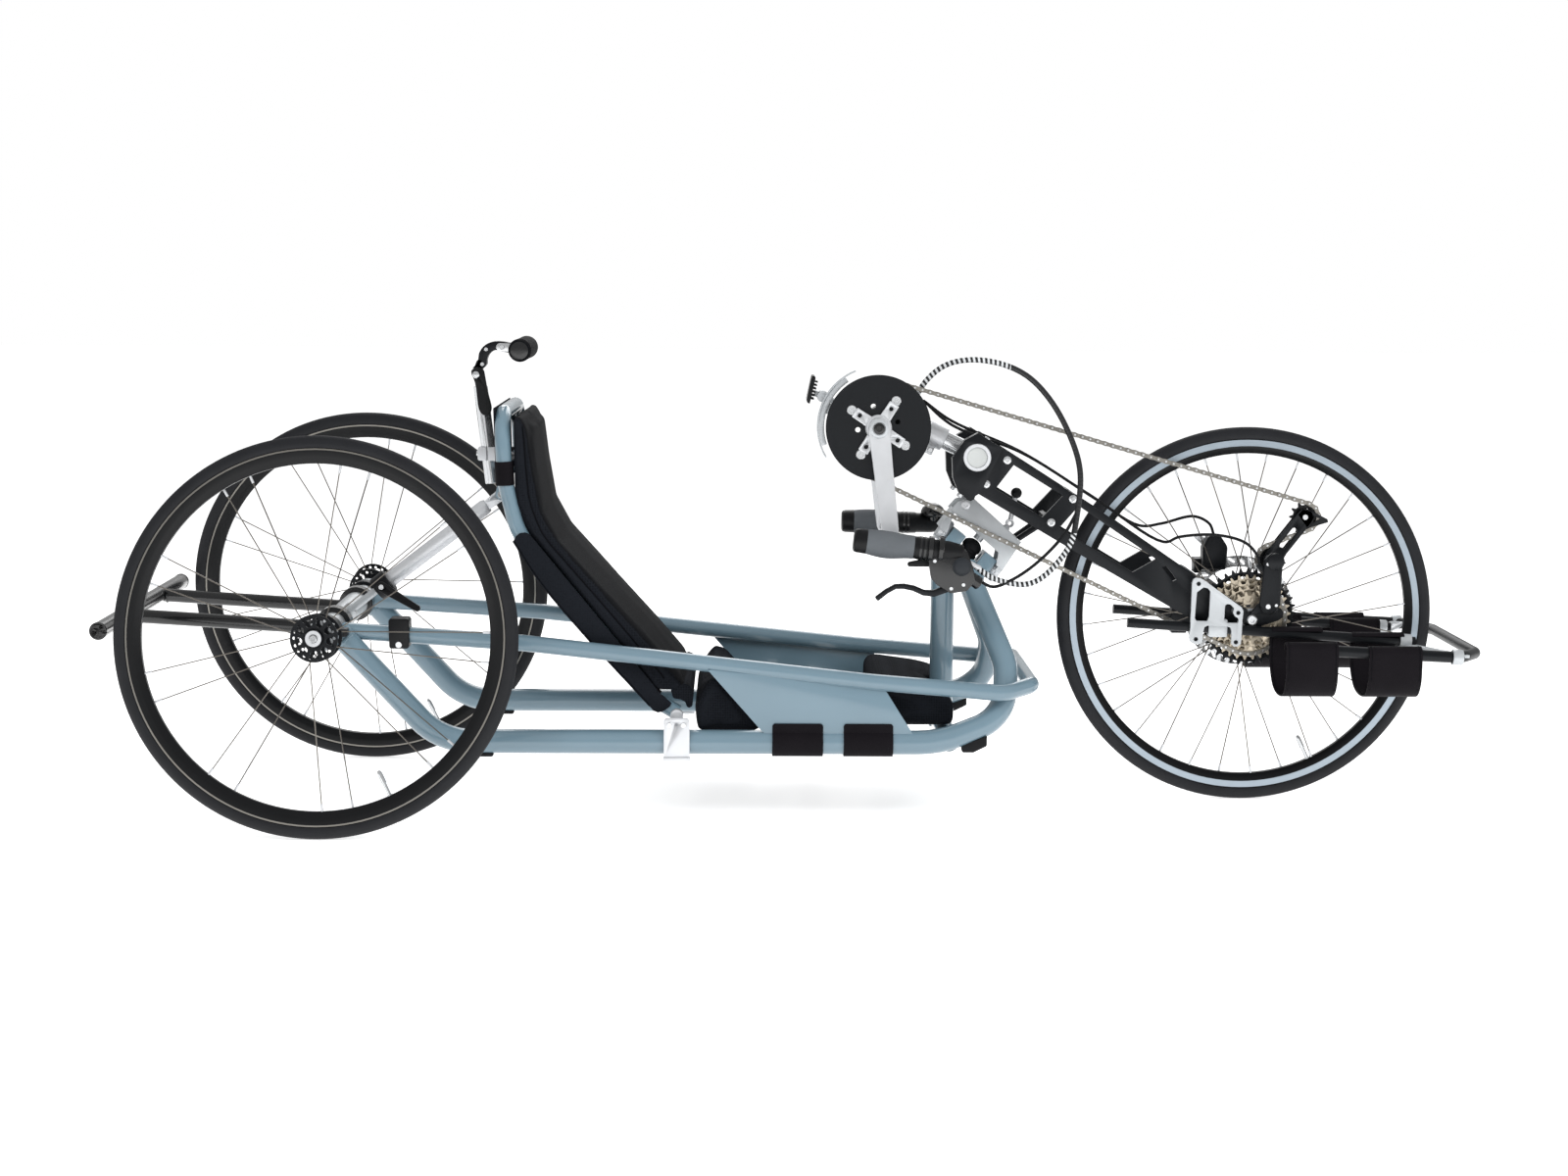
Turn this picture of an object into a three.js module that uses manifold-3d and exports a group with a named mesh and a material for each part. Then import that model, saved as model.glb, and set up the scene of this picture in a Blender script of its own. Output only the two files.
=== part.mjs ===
// Recumbent handcycle: two cambered rear wheels, a driven and steered front wheel,
// a hand crank in front of the rider's chest, a reclining seat and a foot rest.
// Millimetres. +X is forward, +Y the rider's left, +Z up. The origin is on the
// ground, halfway along the machine.
import * as THREE from 'three';
import { mergeVertices } from 'three/addons/utils/BufferGeometryUtils.js';
import Module from 'manifold-3d';

const wasm = await Module();
wasm.setup();

// Driving dimensions
const gap = 0.3; // left between pieces that touch
const overrun = 2; // how far a cutting tool passes a face
const vertexTolerance = 0.001;
const wheelbase = 1457;
const rearTrack = 640; // between the rear hubs
const camber = 5; // degrees, rear wheels lean in at the top
const reach = { rear: -341, front: 1811 }; // ends of the machine, measured from the rear axle
const tyre = { radius: 304.5, width: 25, seatWidth: 15, segments: 32 };
const rim = { outer: 285.5, inner: 262, width: 21.8, base: 11, nipple: 1 };
const mainTube = { radius: 19, track: 400, height: 126, sides: 12 };
const railTube = { radius: 13, sides: 8 };
const materials = {};

function finish(name, color, roughness, metalness) {
  materials[name] = new THREE.MeshStandardMaterial({ name, color, roughness, metalness });
}
finish('frame_paint', 0x84a0b1, 0.25, 0.3);
finish('black_anodised', 0x14161a, 0.45, 0.6);
finish('silver', 0xc9ccce, 0.3, 0.9);
finish('light_grey', 0xbccacf, 0.45, 0.5);
finish('rubber', 0x1b1b1d, 0.85, 0);
finish('rim_black', 0x0f1013, 0.3, 0.5);
finish('seat_fabric', 0x17181c, 0.9, 0);
finish('webbing', 0x1a1a1d, 0.8, 0);
finish('steel', 0x8d8a84, 0.35, 0.9);
finish('champagne', 0xb09a84, 0.35, 0.9);
finish('plastic', 0x151619, 0.5, 0);

const model = new THREE.Group();

// Small geometry helpers
const degree = Math.PI / 180;
const vec = (x, y, z) => new THREE.Vector3(x, y, z);
const mirrorSides = [['right', -1], ['left', 1]];

function solidOf(geometry) {
  const bare = geometry.clone();
  bare.deleteAttribute('normal');
  bare.deleteAttribute('uv');
  const merged = mergeVertices(bare, vertexTolerance);
  const source = merged.index.array;
  const corners = [];
  for (let i = 0; i < source.length; i += 3) {
    const [a, b, c] = source.slice(i, i + 3);
    if (a !== b && b !== c && c !== a) corners.push(a, b, c);
  }
  const build = (list) => new wasm.Manifold(new wasm.Mesh({
    numProp: 3,
    vertProperties: merged.attributes.position.array,
    triVerts: Uint32Array.from(list),
  }));
  const solid = build(corners);
  if (solid.volume() > 0) return solid;
  const turned = [];
  for (let i = 0; i < corners.length; i += 3) turned.push(corners[i], corners[i + 2], corners[i + 1]);
  return build(turned);
}

function geometryOf(solid) {
  const mesh = solid.getMesh();
  const geometry = new THREE.BufferGeometry();
  geometry.setAttribute('position', new THREE.BufferAttribute(Float32Array.from(mesh.vertProperties), 3));
  geometry.setIndex(new THREE.BufferAttribute(Uint32Array.from(mesh.triVerts), 1));
  geometry.computeVertexNormals();
  return geometry;
}

function join(...geometries) {
  const [first, ...rest] = geometries.map(solidOf);
  return geometryOf(rest.reduce((whole, piece) => whole.add(piece), first));
}

function common(a, b) {
  return geometryOf(solidOf(a).intersect(solidOf(b)));
}

function cut(geometry, ...tools) {
  return geometryOf(tools.map(solidOf).reduce((whole, tool) => whole.subtract(tool), solidOf(geometry)));
}

// A bore's corner radius, so that its flat sides clear the pin that turns in it
function boreRadius(pin, sides) {
  return (pin + gap) / Math.cos(Math.PI / sides);
}

function add(name, geometry, material) {
  const mesh = new THREE.Mesh(geometryOf(solidOf(geometry)), materials[material]);
  mesh.name = name;
  model.add(mesh);
}

// A frame in the machine's side plane, from which outlines are drawn
class SideFrame {
  constructor(x, z, angle) {
    this.u = vec(Math.cos(angle), 0, Math.sin(angle));
    this.w = vec(-Math.sin(angle), 0, Math.cos(angle));
    this.origin = vec(x, 0, z);
  }

  at(u, w, y = 0) {
    return this.origin.clone().addScaledVector(this.u, u).addScaledVector(this.w, w).setY(y);
  }

  // Extrudes a shape drawn in the frame between two places across the machine
  plate(shape, yFrom, yTo, curveSegments = 4) {
    const options = { depth: Math.abs(yTo - yFrom), bevelEnabled: false, curveSegments };
    const geometry = new THREE.ExtrudeGeometry(shape, options);
    const across = this.u.clone().cross(this.w);
    const start = this.origin.clone().setY(Math.max(yFrom, yTo));
    geometry.applyMatrix4(new THREE.Matrix4().makeBasis(this.u, this.w, across).setPosition(start));
    return geometry;
  }
}
const ground = new SideFrame(0, 0, 0);

function polygon(points) {
  const line = points.map(([x, y]) => new THREE.Vector2(x, y));
  return new THREE.Shape(THREE.ShapeUtils.isClockWise(line) ? line.reverse() : line);
}

// An outline from shares of a length and a height
function outline(shares, length, height) {
  return polygon(shares.map(([x, y]) => [x * length, y * height]));
}

function disc(radius, sides, x = 0, y = 0, turn = 0) {
  const points = [];
  for (let i = 0; i < sides; i += 1) {
    const angle = turn + (i / sides) * 2 * Math.PI;
    points.push([x + radius * Math.cos(angle), y + radius * Math.sin(angle)]);
  }
  return polygon(points);
}

function ring(outer, inner, sides) {
  const shape = disc(outer, sides);
  shape.holes.push(disc(inner, sides));
  return shape;
}

// A band of even width along a line of points
function ribbon(points, half) {
  const normals = points.map((_, i) => {
    const [ax, ay] = points[Math.max(i - 1, 0)];
    const [bx, by] = points[Math.min(i + 1, points.length - 1)];
    const length = Math.hypot(bx - ax, by - ay);
    return [(ay - by) / length, (bx - ax) / length];
  });
  const side = (sign) => points.map(([x, y], i) => [x + sign * half * normals[i][0], y + sign * half * normals[i][1]]);
  return polygon([...side(1), ...side(-1).reverse()]);
}

function arc(inner, outer, from, to, steps) {
  const row = (radius) => Array.from({ length: steps + 1 }, (_, i) => {
    const angle = (from + ((to - from) * i) / steps) * degree;
    return [radius * Math.cos(angle), radius * Math.sin(angle)];
  });
  return polygon([...row(outer), ...row(inner).reverse()]);
}

// Extrudes a shape drawn across the machine (y, z) between two places along it
function crossPlate(shape, xFrom, xTo) {
  const geometry = new THREE.ExtrudeGeometry(shape, { depth: xTo - xFrom, bevelEnabled: false });
  const basis = new THREE.Matrix4().makeBasis(vec(0, 1, 0), vec(0, 0, 1), vec(1, 0, 0));
  return geometry.applyMatrix4(basis.setPosition(vec(xFrom, 0, 0)));
}

// A slot or a bar with round ends between two places
function stadium(ax, ay, bx, by, radiusA, radiusB = radiusA, steps = 5) {
  const heading = Math.atan2(by - ay, bx - ax);
  const points = [];
  const end = (x, y, radius, from) => {
    for (let i = 0; i <= steps; i += 1) {
      const angle = from + (i / steps) * Math.PI;
      points.push([x + radius * Math.cos(angle), y + radius * Math.sin(angle)]);
    }
  };
  end(bx, by, radiusB, heading - Math.PI / 2);
  end(ax, ay, radiusA, heading + Math.PI / 2);
  return polygon(points);
}

function tooth(count, root, tip) {
  const points = [];
  for (let i = 0; i < 2 * count; i += 1) {
    const angle = (i / count) * Math.PI;
    const radius = i % 2 ? root : tip;
    points.push([radius * Math.cos(angle), radius * Math.sin(angle)]);
  }
  return polygon(points);
}

function rod(from, to, radius, sides = 10, radiusTo = radius) {
  const axis = to.clone().sub(from);
  const geometry = new THREE.CylinderGeometry(radiusTo, radius, axis.length(), sides);
  const turn = new THREE.Quaternion().setFromUnitVectors(vec(0, 1, 0), axis.clone().normalize());
  geometry.applyQuaternion(turn);
  const middle = from.clone().add(to).divideScalar(2);
  return geometry.translate(middle.x, middle.y, middle.z);
}

// A solid turned about a line: profile rows are [distance along the line, radius]
function turned(profile, from, to, segments = 16, phase = 0) {
  const points = profile.map(([along, radius]) => new THREE.Vector2(radius, along));
  const geometry = new THREE.LatheGeometry(points, segments, phase);
  const axis = to.clone().sub(from).normalize();
  geometry.applyQuaternion(new THREE.Quaternion().setFromUnitVectors(vec(0, 1, 0), axis));
  return geometry.translate(from.x, from.y, from.z);
}

function box(from, to) {
  const size = to.clone().sub(from);
  const geometry = new THREE.BoxGeometry(Math.abs(size.x), Math.abs(size.y), Math.abs(size.z));
  const middle = from.clone().add(to).divideScalar(2);
  return geometry.translate(middle.x, middle.y, middle.z);
}

// A curve that is only read at its stations, so a straight run takes one step
class StationPath extends THREE.Curve {
  constructor(stations) {
    super();
    this.stations = stations;
  }

  nearest(share) {
    return this.stations[Math.round(share * (this.stations.length - 1))];
  }

  getPoint(share, target = vec(0, 0, 0)) {
    return target.copy(this.nearest(share).place);
  }

  getPointAt(share, target) {
    return this.getPoint(share, target);
  }

  getTangentAt(share, target = vec(0, 0, 0)) {
    return target.copy(this.nearest(share).heading);
  }
}

// Stations of a tube bent at each inner corner, radii given per corner
function bent(corners, radii, stepAngle = 18) {
  const stations = [];
  const last = corners.length - 1;
  const heading = (i) => corners[i + 1].clone().sub(corners[i]).normalize();
  stations.push({ place: corners[0].clone(), heading: heading(0) });
  for (let i = 1; i < last; i += 1) {
    const into = heading(i - 1);
    const out = heading(i);
    const angle = into.angleTo(out);
    const radius = radii[Math.min(i - 1, radii.length - 1)];
    const inward = out.clone().addScaledVector(into, -out.dot(into)).normalize();
    const start = corners[i].clone().addScaledVector(into, -radius * Math.tan(angle / 2));
    const steps = Math.max(1, Math.ceil(angle / (stepAngle * degree)));
    for (let k = 0; k <= steps; k += 1) {
      const turn = (k / steps) * angle;
      const place = start.clone()
        .addScaledVector(into, radius * Math.sin(turn))
        .addScaledVector(inward, radius * (1 - Math.cos(turn)));
      const along = into.clone().multiplyScalar(Math.cos(turn)).addScaledVector(inward, Math.sin(turn));
      stations.push({ place, heading: along });
    }
  }
  stations.push({ place: corners[last].clone(), heading: heading(last - 1) });
  return stations;
}

function sweep(stations, shape) {
  const options = { steps: stations.length - 1, extrudePath: new StationPath(stations), bevelEnabled: false };
  return new THREE.ExtrudeGeometry(shape, options);
}

function bentTube(corners, radii, radius, sides, stepAngle) {
  return sweep(bent(corners, radii, stepAngle), disc(radius, sides, 0, 0, Math.PI / sides));
}

// A thin cord through places chosen by hand
function cord(places, radius, steps, sides = 8) {
  const curve = new THREE.CatmullRomCurve3(places.map((p) => vec(...p)), false, 'centripetal');
  const options = { steps, extrudePath: curve, bevelEnabled: false };
  return new THREE.ExtrudeGeometry(disc(radius, sides), options);
}

// A skin over rings of places: every ring has the same count, the ends are closed flat
function loft(rings) {
  const count = rings[0].length;
  const positions = rings.flat().flatMap((p) => [p.x, p.y, p.z]);
  const index = [];
  for (let k = 0; k + 1 < rings.length; k += 1) {
    for (let i = 0; i < count; i += 1) {
      const a = k * count + i;
      const b = k * count + ((i + 1) % count);
      index.push(a, b, a + count, b, b + count, a + count);
    }
  }
  const end = (ring, first, flip) => {
    const flat = ring.map((p) => new THREE.Vector2(p.x, p.z));
    const over = flip !== THREE.ShapeUtils.isClockWise(flat);
    for (const [a, b, c] of THREE.ShapeUtils.triangulateShape(flat, [])) {
      index.push(first + a, first + (over ? c : b), first + (over ? b : c));
    }
  };
  end(rings[0], 0, true);
  end(rings[rings.length - 1], (rings.length - 1) * count, false);
  const geometry = new THREE.BufferGeometry();
  geometry.setAttribute('position', new THREE.BufferAttribute(Float32Array.from(positions), 3));
  geometry.setIndex(index);
  return geometry;
}

// Wheels
const tyreBeads = 5.2;
const tyreOutline = () => {
  const half = tyre.width / 2;
  const crown = tyre.radius;
  const bulge = crown - half;
  const seat = rim.outer + gap;
  return [
    [-tyre.seatWidth / 2, seat], [-half, bulge], [-tyreBeads, crown], [tyreBeads, crown],
    [half, bulge], [tyre.seatWidth / 2, seat],
  ];
};

// How far below its centre a wheel that leans reaches
function reachBelow(lean) {
  const drops = tyreOutline().map(([across, out]) => out * Math.cos(lean) + Math.abs(across) * Math.sin(lean));
  return Math.max(...drops);
}

const hubSizes = {
  rear: { spokes: 18, flange: 36, shell: 14, spread: 22, half: 30, hole: 7, holes: 9, ring: 24 },
  front: { spokes: 32, flange: 27, shell: 17, spread: 26, half: 33, leftHalf: 55, hole: 3, holes: 0, ring: 20 },
};
const flangeWidth = 4;
const hubFacets = 12;
const spokeRadius = 1.3;
const pairGap = 10; // degrees between the two spokes of a pair

function spokeAngles(kind) {
  const { spokes } = hubSizes[kind];
  const angles = [];
  for (let i = 0; i < spokes; i += 1) {
    const even = (i / spokes) * 360;
    const paired = Math.floor(i / 2) * (720 / spokes) + (i % 2) * pairGap;
    angles.push(kind === 'rear' ? paired - 8 : even + 4);
  }
  return angles;
}

function closedProfile(points) {
  return [...points, points[0]];
}

function addWheel(name, kind, x, y, lean) {
  const height = reachBelow(Math.abs(lean));
  const hub = hubSizes[kind];
  const phase = Math.PI / tyre.segments;
  const outward = 1 / Math.cos(phase); // facets touch the ground at their middles
  const scaled = (rows) => rows.map(([y0, out]) => [y0, out * outward]);
  const rubber = turned(closedProfile(scaled(tyreOutline())), vec(0, 0, 0), vec(0, 1, 0), tyre.segments, phase);
  const half = rim.width / 2;
  const channel = [
    [-half, rim.outer], [half, rim.outer],
    [rim.base / 2, rim.inner], [-rim.base / 2, rim.inner],
  ];
  const hoop = turned(closedProfile(scaled(channel)), vec(0, 0, 0), vec(0, 1, 0), tyre.segments, phase);
  const side = y > 0 ? 1 : -1;
  const flangeAt = hub.spread;
  const shell = turned([
    [-hub.half, 0], [-hub.half, hub.shell], [-flangeAt - flangeWidth / 2, hub.shell],
    [-flangeAt - flangeWidth / 2, hub.flange], [-flangeAt + flangeWidth / 2, hub.flange],
    [-flangeAt + flangeWidth / 2, hub.shell], [flangeAt - flangeWidth / 2, hub.shell],
    [flangeAt - flangeWidth / 2, hub.flange], [flangeAt + flangeWidth / 2, hub.flange],
    [flangeAt + flangeWidth / 2, hub.shell], [hub.leftHalf ?? hub.half, hub.shell], [hub.leftHalf ?? hub.half, 0],
  ], vec(0, 0, 0), vec(0, 1, 0), hubFacets);
  const laces = spokeAngles(kind).map((angle, i) => {
    const outer = rim.inner + rim.nipple;
    const root = hub.flange - flangeWidth;
    const flange = (i % 2 ? 1 : -1) * flangeAt;
    const turn = angle * degree;
    const at = (radius, across) => vec(radius * Math.cos(turn), across, radius * Math.sin(turn));
    return rod(at(root, flange), at(outer, flange * 0.1), spokeRadius, 3);
  });
  let laced = join(hoop, shell, ...laces);
  if (hub.holes) {
    const bores = [];
    for (let i = 0; i < hub.holes; i += 1) {
      const turn = ((i + 0.5) / hub.holes) * 2 * Math.PI + pairGap * degree;
      const at = vec(hub.ring * Math.cos(turn), 0, hub.ring * Math.sin(turn));
      const through = flangeWidth / 2 + overrun;
      bores.push(rod(at.clone().setY(side * flangeAt - through), at.clone().setY(side * flangeAt + through),
        hub.hole, 5));
    }
    laced = cut(laced, ...bores);
  }
  const ends = (hub.leftHalf ?? hub.half) + overrun;
  const bore = rod(vec(0, -ends, 0), vec(0, ends, 0), boreRadius(axleButton.radius, axleButton.sides), axleButton.sides);
  const parts = { rubber, laced: cut(laced, bore) };
  if (kind === 'rear') {
    const face = side * hub.half;
    const stem = rod(vec(0, face - side * axleButton.depth, 0), vec(0, face + side * axleButton.proud, 0),
      axleButton.radius, axleButton.sides);
    parts.button = stem;
  }
  const place = (geometry) => geometry.rotateX(lean).translate(x, y, height);
  add(`tyre_${name}`, place(parts.rubber), 'rubber');
  add(`wheel_${name}`, place(parts.laced), kind === 'rear' ? 'rim_black' : 'silver');
  if (parts.button) add(`axle_button_${name}`, place(parts.button), 'silver');
  return height;
}

const axleButton = { radius: 6, depth: 40, proud: 6, sides: 10 };
const hubHeight = { rear: reachBelow(camber * degree), front: reachBelow(0) };
const frontHub = vec(wheelbase, 0, hubHeight.front);
addWheel('right', 'rear', 0, -rearTrack / 2, -camber * degree);
addWheel('left', 'rear', 0, rearTrack / 2, camber * degree);

// Front wheel: laced rim, brake rotor on the left and sprocket cluster on the right
addWheel('front', 'front', wheelbase, 0, 0);
const hubFrame = new SideFrame(wheelbase, hubHeight.front, 0);
const rotor = { radius: 90, web: 62, bore: 17.3, at: 52, thickness: 2, sides: 20, arms: 6, slotEnd: 4, slotWide: 12 };
const rotorWindows = [];
for (let i = 0; i < rotor.arms; i += 1) {
  const turn = (i / rotor.arms) * 2 * Math.PI;
  const inner = rotor.bore + rotor.slotEnd * 3;
  rotorWindows.push(hubFrame.plate(
    stadium(inner * Math.cos(turn), inner * Math.sin(turn), rotor.web * Math.cos(turn), rotor.web * Math.sin(turn),
      rotor.slotEnd, rotor.slotWide, 3),
    rotor.at + overrun, rotor.at - rotor.thickness - overrun,
  ));
}
const rotorBlank = hubFrame.plate(ring(rotor.radius, rotor.bore, rotor.sides), rotor.at, rotor.at - rotor.thickness);
add('brake_rotor', cut(rotorBlank, ...rotorWindows), 'steel');

// Sprocket cluster: four toothed rings on a stepped core, all one body on the freewheel
const pitch = 12.7;
const pitchRadius = (teeth) => (pitch * teeth) / (2 * Math.PI);
const chainLine = -46; // across the machine
const toothSize = { root: 4, tip: 3.4, thickness: 2.2 };
const cluster = { teeth: [38, 29, 20, 11], at: [10, 0, -8, -15] };
const clusterCore = { outer: 44, inner: 15, collar: 8, from: 10, to: -18, sides: 12 };

function toothed(teeth, at, thickness, frame) {
  const radius = pitchRadius(teeth);
  const shape = tooth(teeth, radius - toothSize.root, radius + toothSize.tip);
  return frame.plate(shape, at + thickness / 2, at - thickness / 2);
}
const hubAxis = (y) => vec(wheelbase, y, hubHeight.front);
const cogs = cluster.teeth.map((teeth, i) => toothed(teeth, chainLine + cluster.at[i], toothSize.thickness, hubFrame));
const coreLength = clusterCore.from - clusterCore.to;
const core = turned([
  [0, 0], [0, clusterCore.inner], [clusterCore.collar, clusterCore.inner],
  [coreLength - clusterCore.collar, clusterCore.outer], [coreLength, clusterCore.outer], [coreLength, 0],
], hubAxis(chainLine + clusterCore.to), hubAxis(chainLine + clusterCore.from), clusterCore.sides);

// Fork: two ladder-like arms with a clamp for the crank carrier at the top
const carrier = { x: 1013, z: 563, radius: 22, half: 83, plug: 16, recess: 2, sides: 20 };
const armDrop = 1.79 * degree; // the arms point a little below the hub
const toHub = { x: wheelbase - carrier.x, z: hubHeight.front - carrier.z };
const armAngle = Math.atan2(toHub.z, toHub.x) - armDrop;
const arm = new SideFrame(carrier.x, carrier.z, armAngle);
const ladder = { inner: 68, thickness: 8, length: 0.9732 * Math.hypot(toHub.x, toHub.z), depth: 80 };
const axleBore = rod(hubAxis(-ladder.inner - ladder.thickness - overrun),
  hubAxis(ladder.inner + ladder.thickness + overrun), boreRadius(axleButton.radius, axleButton.sides), axleButton.sides);
add('cassette', cut(join(core, ...cogs), axleBore), 'champagne');

const hubInArm = {
  u: toHub.x * Math.cos(armAngle) + toHub.z * Math.sin(armAngle),
  w: toHub.z * Math.cos(armAngle) - toHub.x * Math.sin(armAngle),
};
const tip = { radius: 14, steps: 4 };
const ladderShares = [
  [0.05, -0.6], [0.46, -0.53], [0.8, -0.45], [0.9, -0.41], [0.96, -0.15], [1, 0.05],
  [1, 0.33], [0.8, 0.34], [0.5, 0.41], [0.05, 0.425],
];
const windowShares = [
  [[0.112, 0.26], [0.104, -0.33], [0.28, -0.31], [0.298, 0.27]],
  [[0.358, 0.27], [0.344, -0.31], [0.62, -0.27], [0.66, 0.2]],
];
const slotShares = [[0.69, 0.13], [0.745, 0.01], [0.752, 0.08], [0.7, 0.2]];
const crossBars = [[0.087, 0.27], [0.07, -0.35], [0.33, 0.33], [0.312, -0.3], [0.05, -0.72]];
const crossBarRadius = 8;
const clampShares = [
  [0.052, 0.42], [-0.04, 0.42], [-0.064, 0.15], [-0.066, -0.27], [-0.03, -0.6], [0.01, -0.78],
  [0.05, -0.8], [0.07, -0.55],
];
const clampAcross = { inner: 60, outer: 81.5 };
const hangerEnd = { x: 40, z: 10, radius: 11 };

function forkSide(side) {
  const yInner = side * ladder.inner;
  const yOuter = side * (ladder.inner + ladder.thickness);
  const sheet = outline(ladderShares, ladder.length, ladder.depth);
  for (const shares of [...windowShares, slotShares]) sheet.holes.push(outline(shares, ladder.length, ladder.depth));
  const clamp = outline(clampShares, ladder.length, ladder.depth);
  const pieces = [
    arm.plate(sheet, yInner, yOuter),
    arm.plate(disc(tip.radius, 12, hubInArm.u, hubInArm.w), yInner, yOuter),
    arm.plate(clamp, side * clampAcross.inner, side * clampAcross.outer),
  ];
  if (side < 0) {
    const hanger = stadium(0, 0, hangerEnd.x, hangerEnd.z, tip.radius, hangerEnd.radius, tip.steps);
    pieces.push(hubFrame.plate(hanger, yInner, yOuter));
  }
  return pieces;
}
const barEnd = ladder.inner + ladder.thickness / 2;
const bars = crossBars.map(([u, w]) => rod(arm.at(u * ladder.length, w * ladder.depth, -barEnd),
  arm.at(u * ladder.length, w * ladder.depth, barEnd), crossBarRadius, 8));
const wheelAxle = rod(hubAxis(-barEnd), hubAxis(barEnd), axleButton.radius, axleButton.sides);
const carrierBore = rod(arm.at(0, 0, -clampAcross.outer - overrun), arm.at(0, 0, clampAcross.outer + overrun),
  carrier.radius + gap, carrier.sides);

// Steering bracket: it straddles the frame's head on an inclined pivot line
const pivotAngle = -37.7 * degree;
const pivot = { x: 967, z: 440, length: 106, axle: 8, ring: 18, ringWidth: 16, pinReach: 2, sides: 12 };
const steer = new SideFrame(pivot.x, pivot.z, pivotAngle);
const bracket = { inner: 28.5, wall: 4, web: 6, depth: 66, length: 122, leg: 12, legThickness: 4 };
const wallShares = [
  [-0.12, 0.5], [-0.11, 0.76], [0.01, 1.06], [0.88, 0.94], [0.92, 0.12], [0.81, 0.12], [0.73, 0.4], [0.09, 0.48],
];
const knuckle = { first: [9, 33], second: [73, 97], half: 26, pocket: 8, pocketDepth: 6, pocketAt: -22 };
const damper = { radius: 17.5, bottom: -15.1, top: 20, sides: 14 };
const damperAt = (knuckle.first[1] + knuckle.second[0]) / 2;
const bracketAcross = bracket.inner + bracket.wall / 2;
const webTop = bracket.depth - bracket.leg;
const webFront = bracket.length * 0.86;
const pinLength = pivot.ringWidth + knuckle.first[1] - knuckle.first[0] - pivot.pinReach;
const pinProfile = [
  [0, 0], [0, pivot.ring], [pivot.ringWidth, pivot.ring], [pivot.ringWidth, pivot.axle],
  [pinLength, pivot.axle], [pinLength, 0],
];
const legHeight = bracket.depth / 2 + bracket.wall;
const rearLeg = polygon([[-bracket.leg, 0], [-bracket.leg, legHeight],
  [bracket.legThickness - bracket.leg, legHeight], [bracket.legThickness, 0]]);
const frontLeg = polygon([[pivot.length - bracket.legThickness, 0], [pivot.length, legHeight],
  [pivot.length + bracket.legThickness, legHeight], [pivot.length + bracket.legThickness, 0]]);
const web = polygon([[0, webTop - bracket.web], [0, webTop],
  [webFront, webTop - bracket.web], [webFront, webTop - 2 * bracket.web]]);
const lever = { a: 78, n: webTop - 1, base: 7, half: 4, pin: 3, stem: 4, ball: 9, x: 1084, z: 500 };
const bracketPieces = [
  steer.plate(web, -bracketAcross, bracketAcross),
  steer.plate(rearLeg, -bracketAcross, bracketAcross),
  steer.plate(frontLeg, -bracketAcross, bracketAcross),
  rod(steer.at(damperAt, damper.top + gap), steer.at(damperAt, webTop - bracket.web), pivot.axle, 10),
  turned(pinProfile, steer.at(-pivot.ringWidth / 2, 0), steer.at(pivot.length, 0), pivot.sides),
  turned(pinProfile, steer.at(pivot.length + pivot.ringWidth / 2, 0), steer.at(0, 0), pivot.sides),
];
const leverPivot = steer.at(lever.a, lever.n + lever.base + overrun);
for (const [, side] of mirrorSides) {
  bracketPieces.push(
    steer.plate(outline(wallShares, bracket.length, bracket.depth), side * bracket.inner,
      side * (bracket.inner + bracket.wall)),
    steer.plate(stadium(lever.a, lever.n - bracket.web, lever.a, lever.n + lever.base + overrun, lever.base, lever.base, 3),
      side * (lever.half + gap), side * (lever.half + gap + bracket.wall)),
  );
}
bracketPieces.push(rod(leverPivot.clone().setY(-lever.half * 2), leverPivot.clone().setY(lever.half * 2), lever.pin, 8));
add('steering_bracket', join(...bracketPieces), 'light_grey');
const leverBody = join(
  rod(leverPivot.clone().setY(-lever.half), leverPivot.clone().setY(lever.half), lever.base, 10),
  rod(leverPivot, vec(lever.x, 0, lever.z), lever.stem, 8),
  turned([[0, 0], [3, 7], [9, 9], [15, 7], [18, 0]],
    vec(lever.x, 0, lever.z).addScaledVector(leverPivot.clone().sub(vec(lever.x, 0, lever.z)).normalize(), lever.ball),
    vec(lever.x, 0, lever.z).multiplyScalar(2).sub(leverPivot), 8),
);
add('parking_lever', cut(leverBody,
  rod(leverPivot.clone().setY(-lever.half * 2), leverPivot.clone().setY(lever.half * 2), lever.pin + gap, 8)), 'black_anodised');

const strut = { a: 97, n: 50, radius: 5, sides: 6 };
const struts = mirrorSides.map(([, side]) => rod(steer.at(strut.a, strut.n, side * bracket.inner * 0.7),
  arm.at(crossBars[3][0] * ladder.length, crossBars[3][1] * ladder.depth, side * bracket.inner), strut.radius, strut.sides));
const bracketCut = steer.plate(outline(wallShares, bracket.length, bracket.depth + gap),
  -bracket.inner - bracket.wall - gap, bracket.inner + bracket.wall + gap);
add('fork_frame', cut(join(...forkSide(-1), ...forkSide(1), ...bars, wheelAxle, ...struts), carrierBore, bracketCut),
  'black_anodised');

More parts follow.
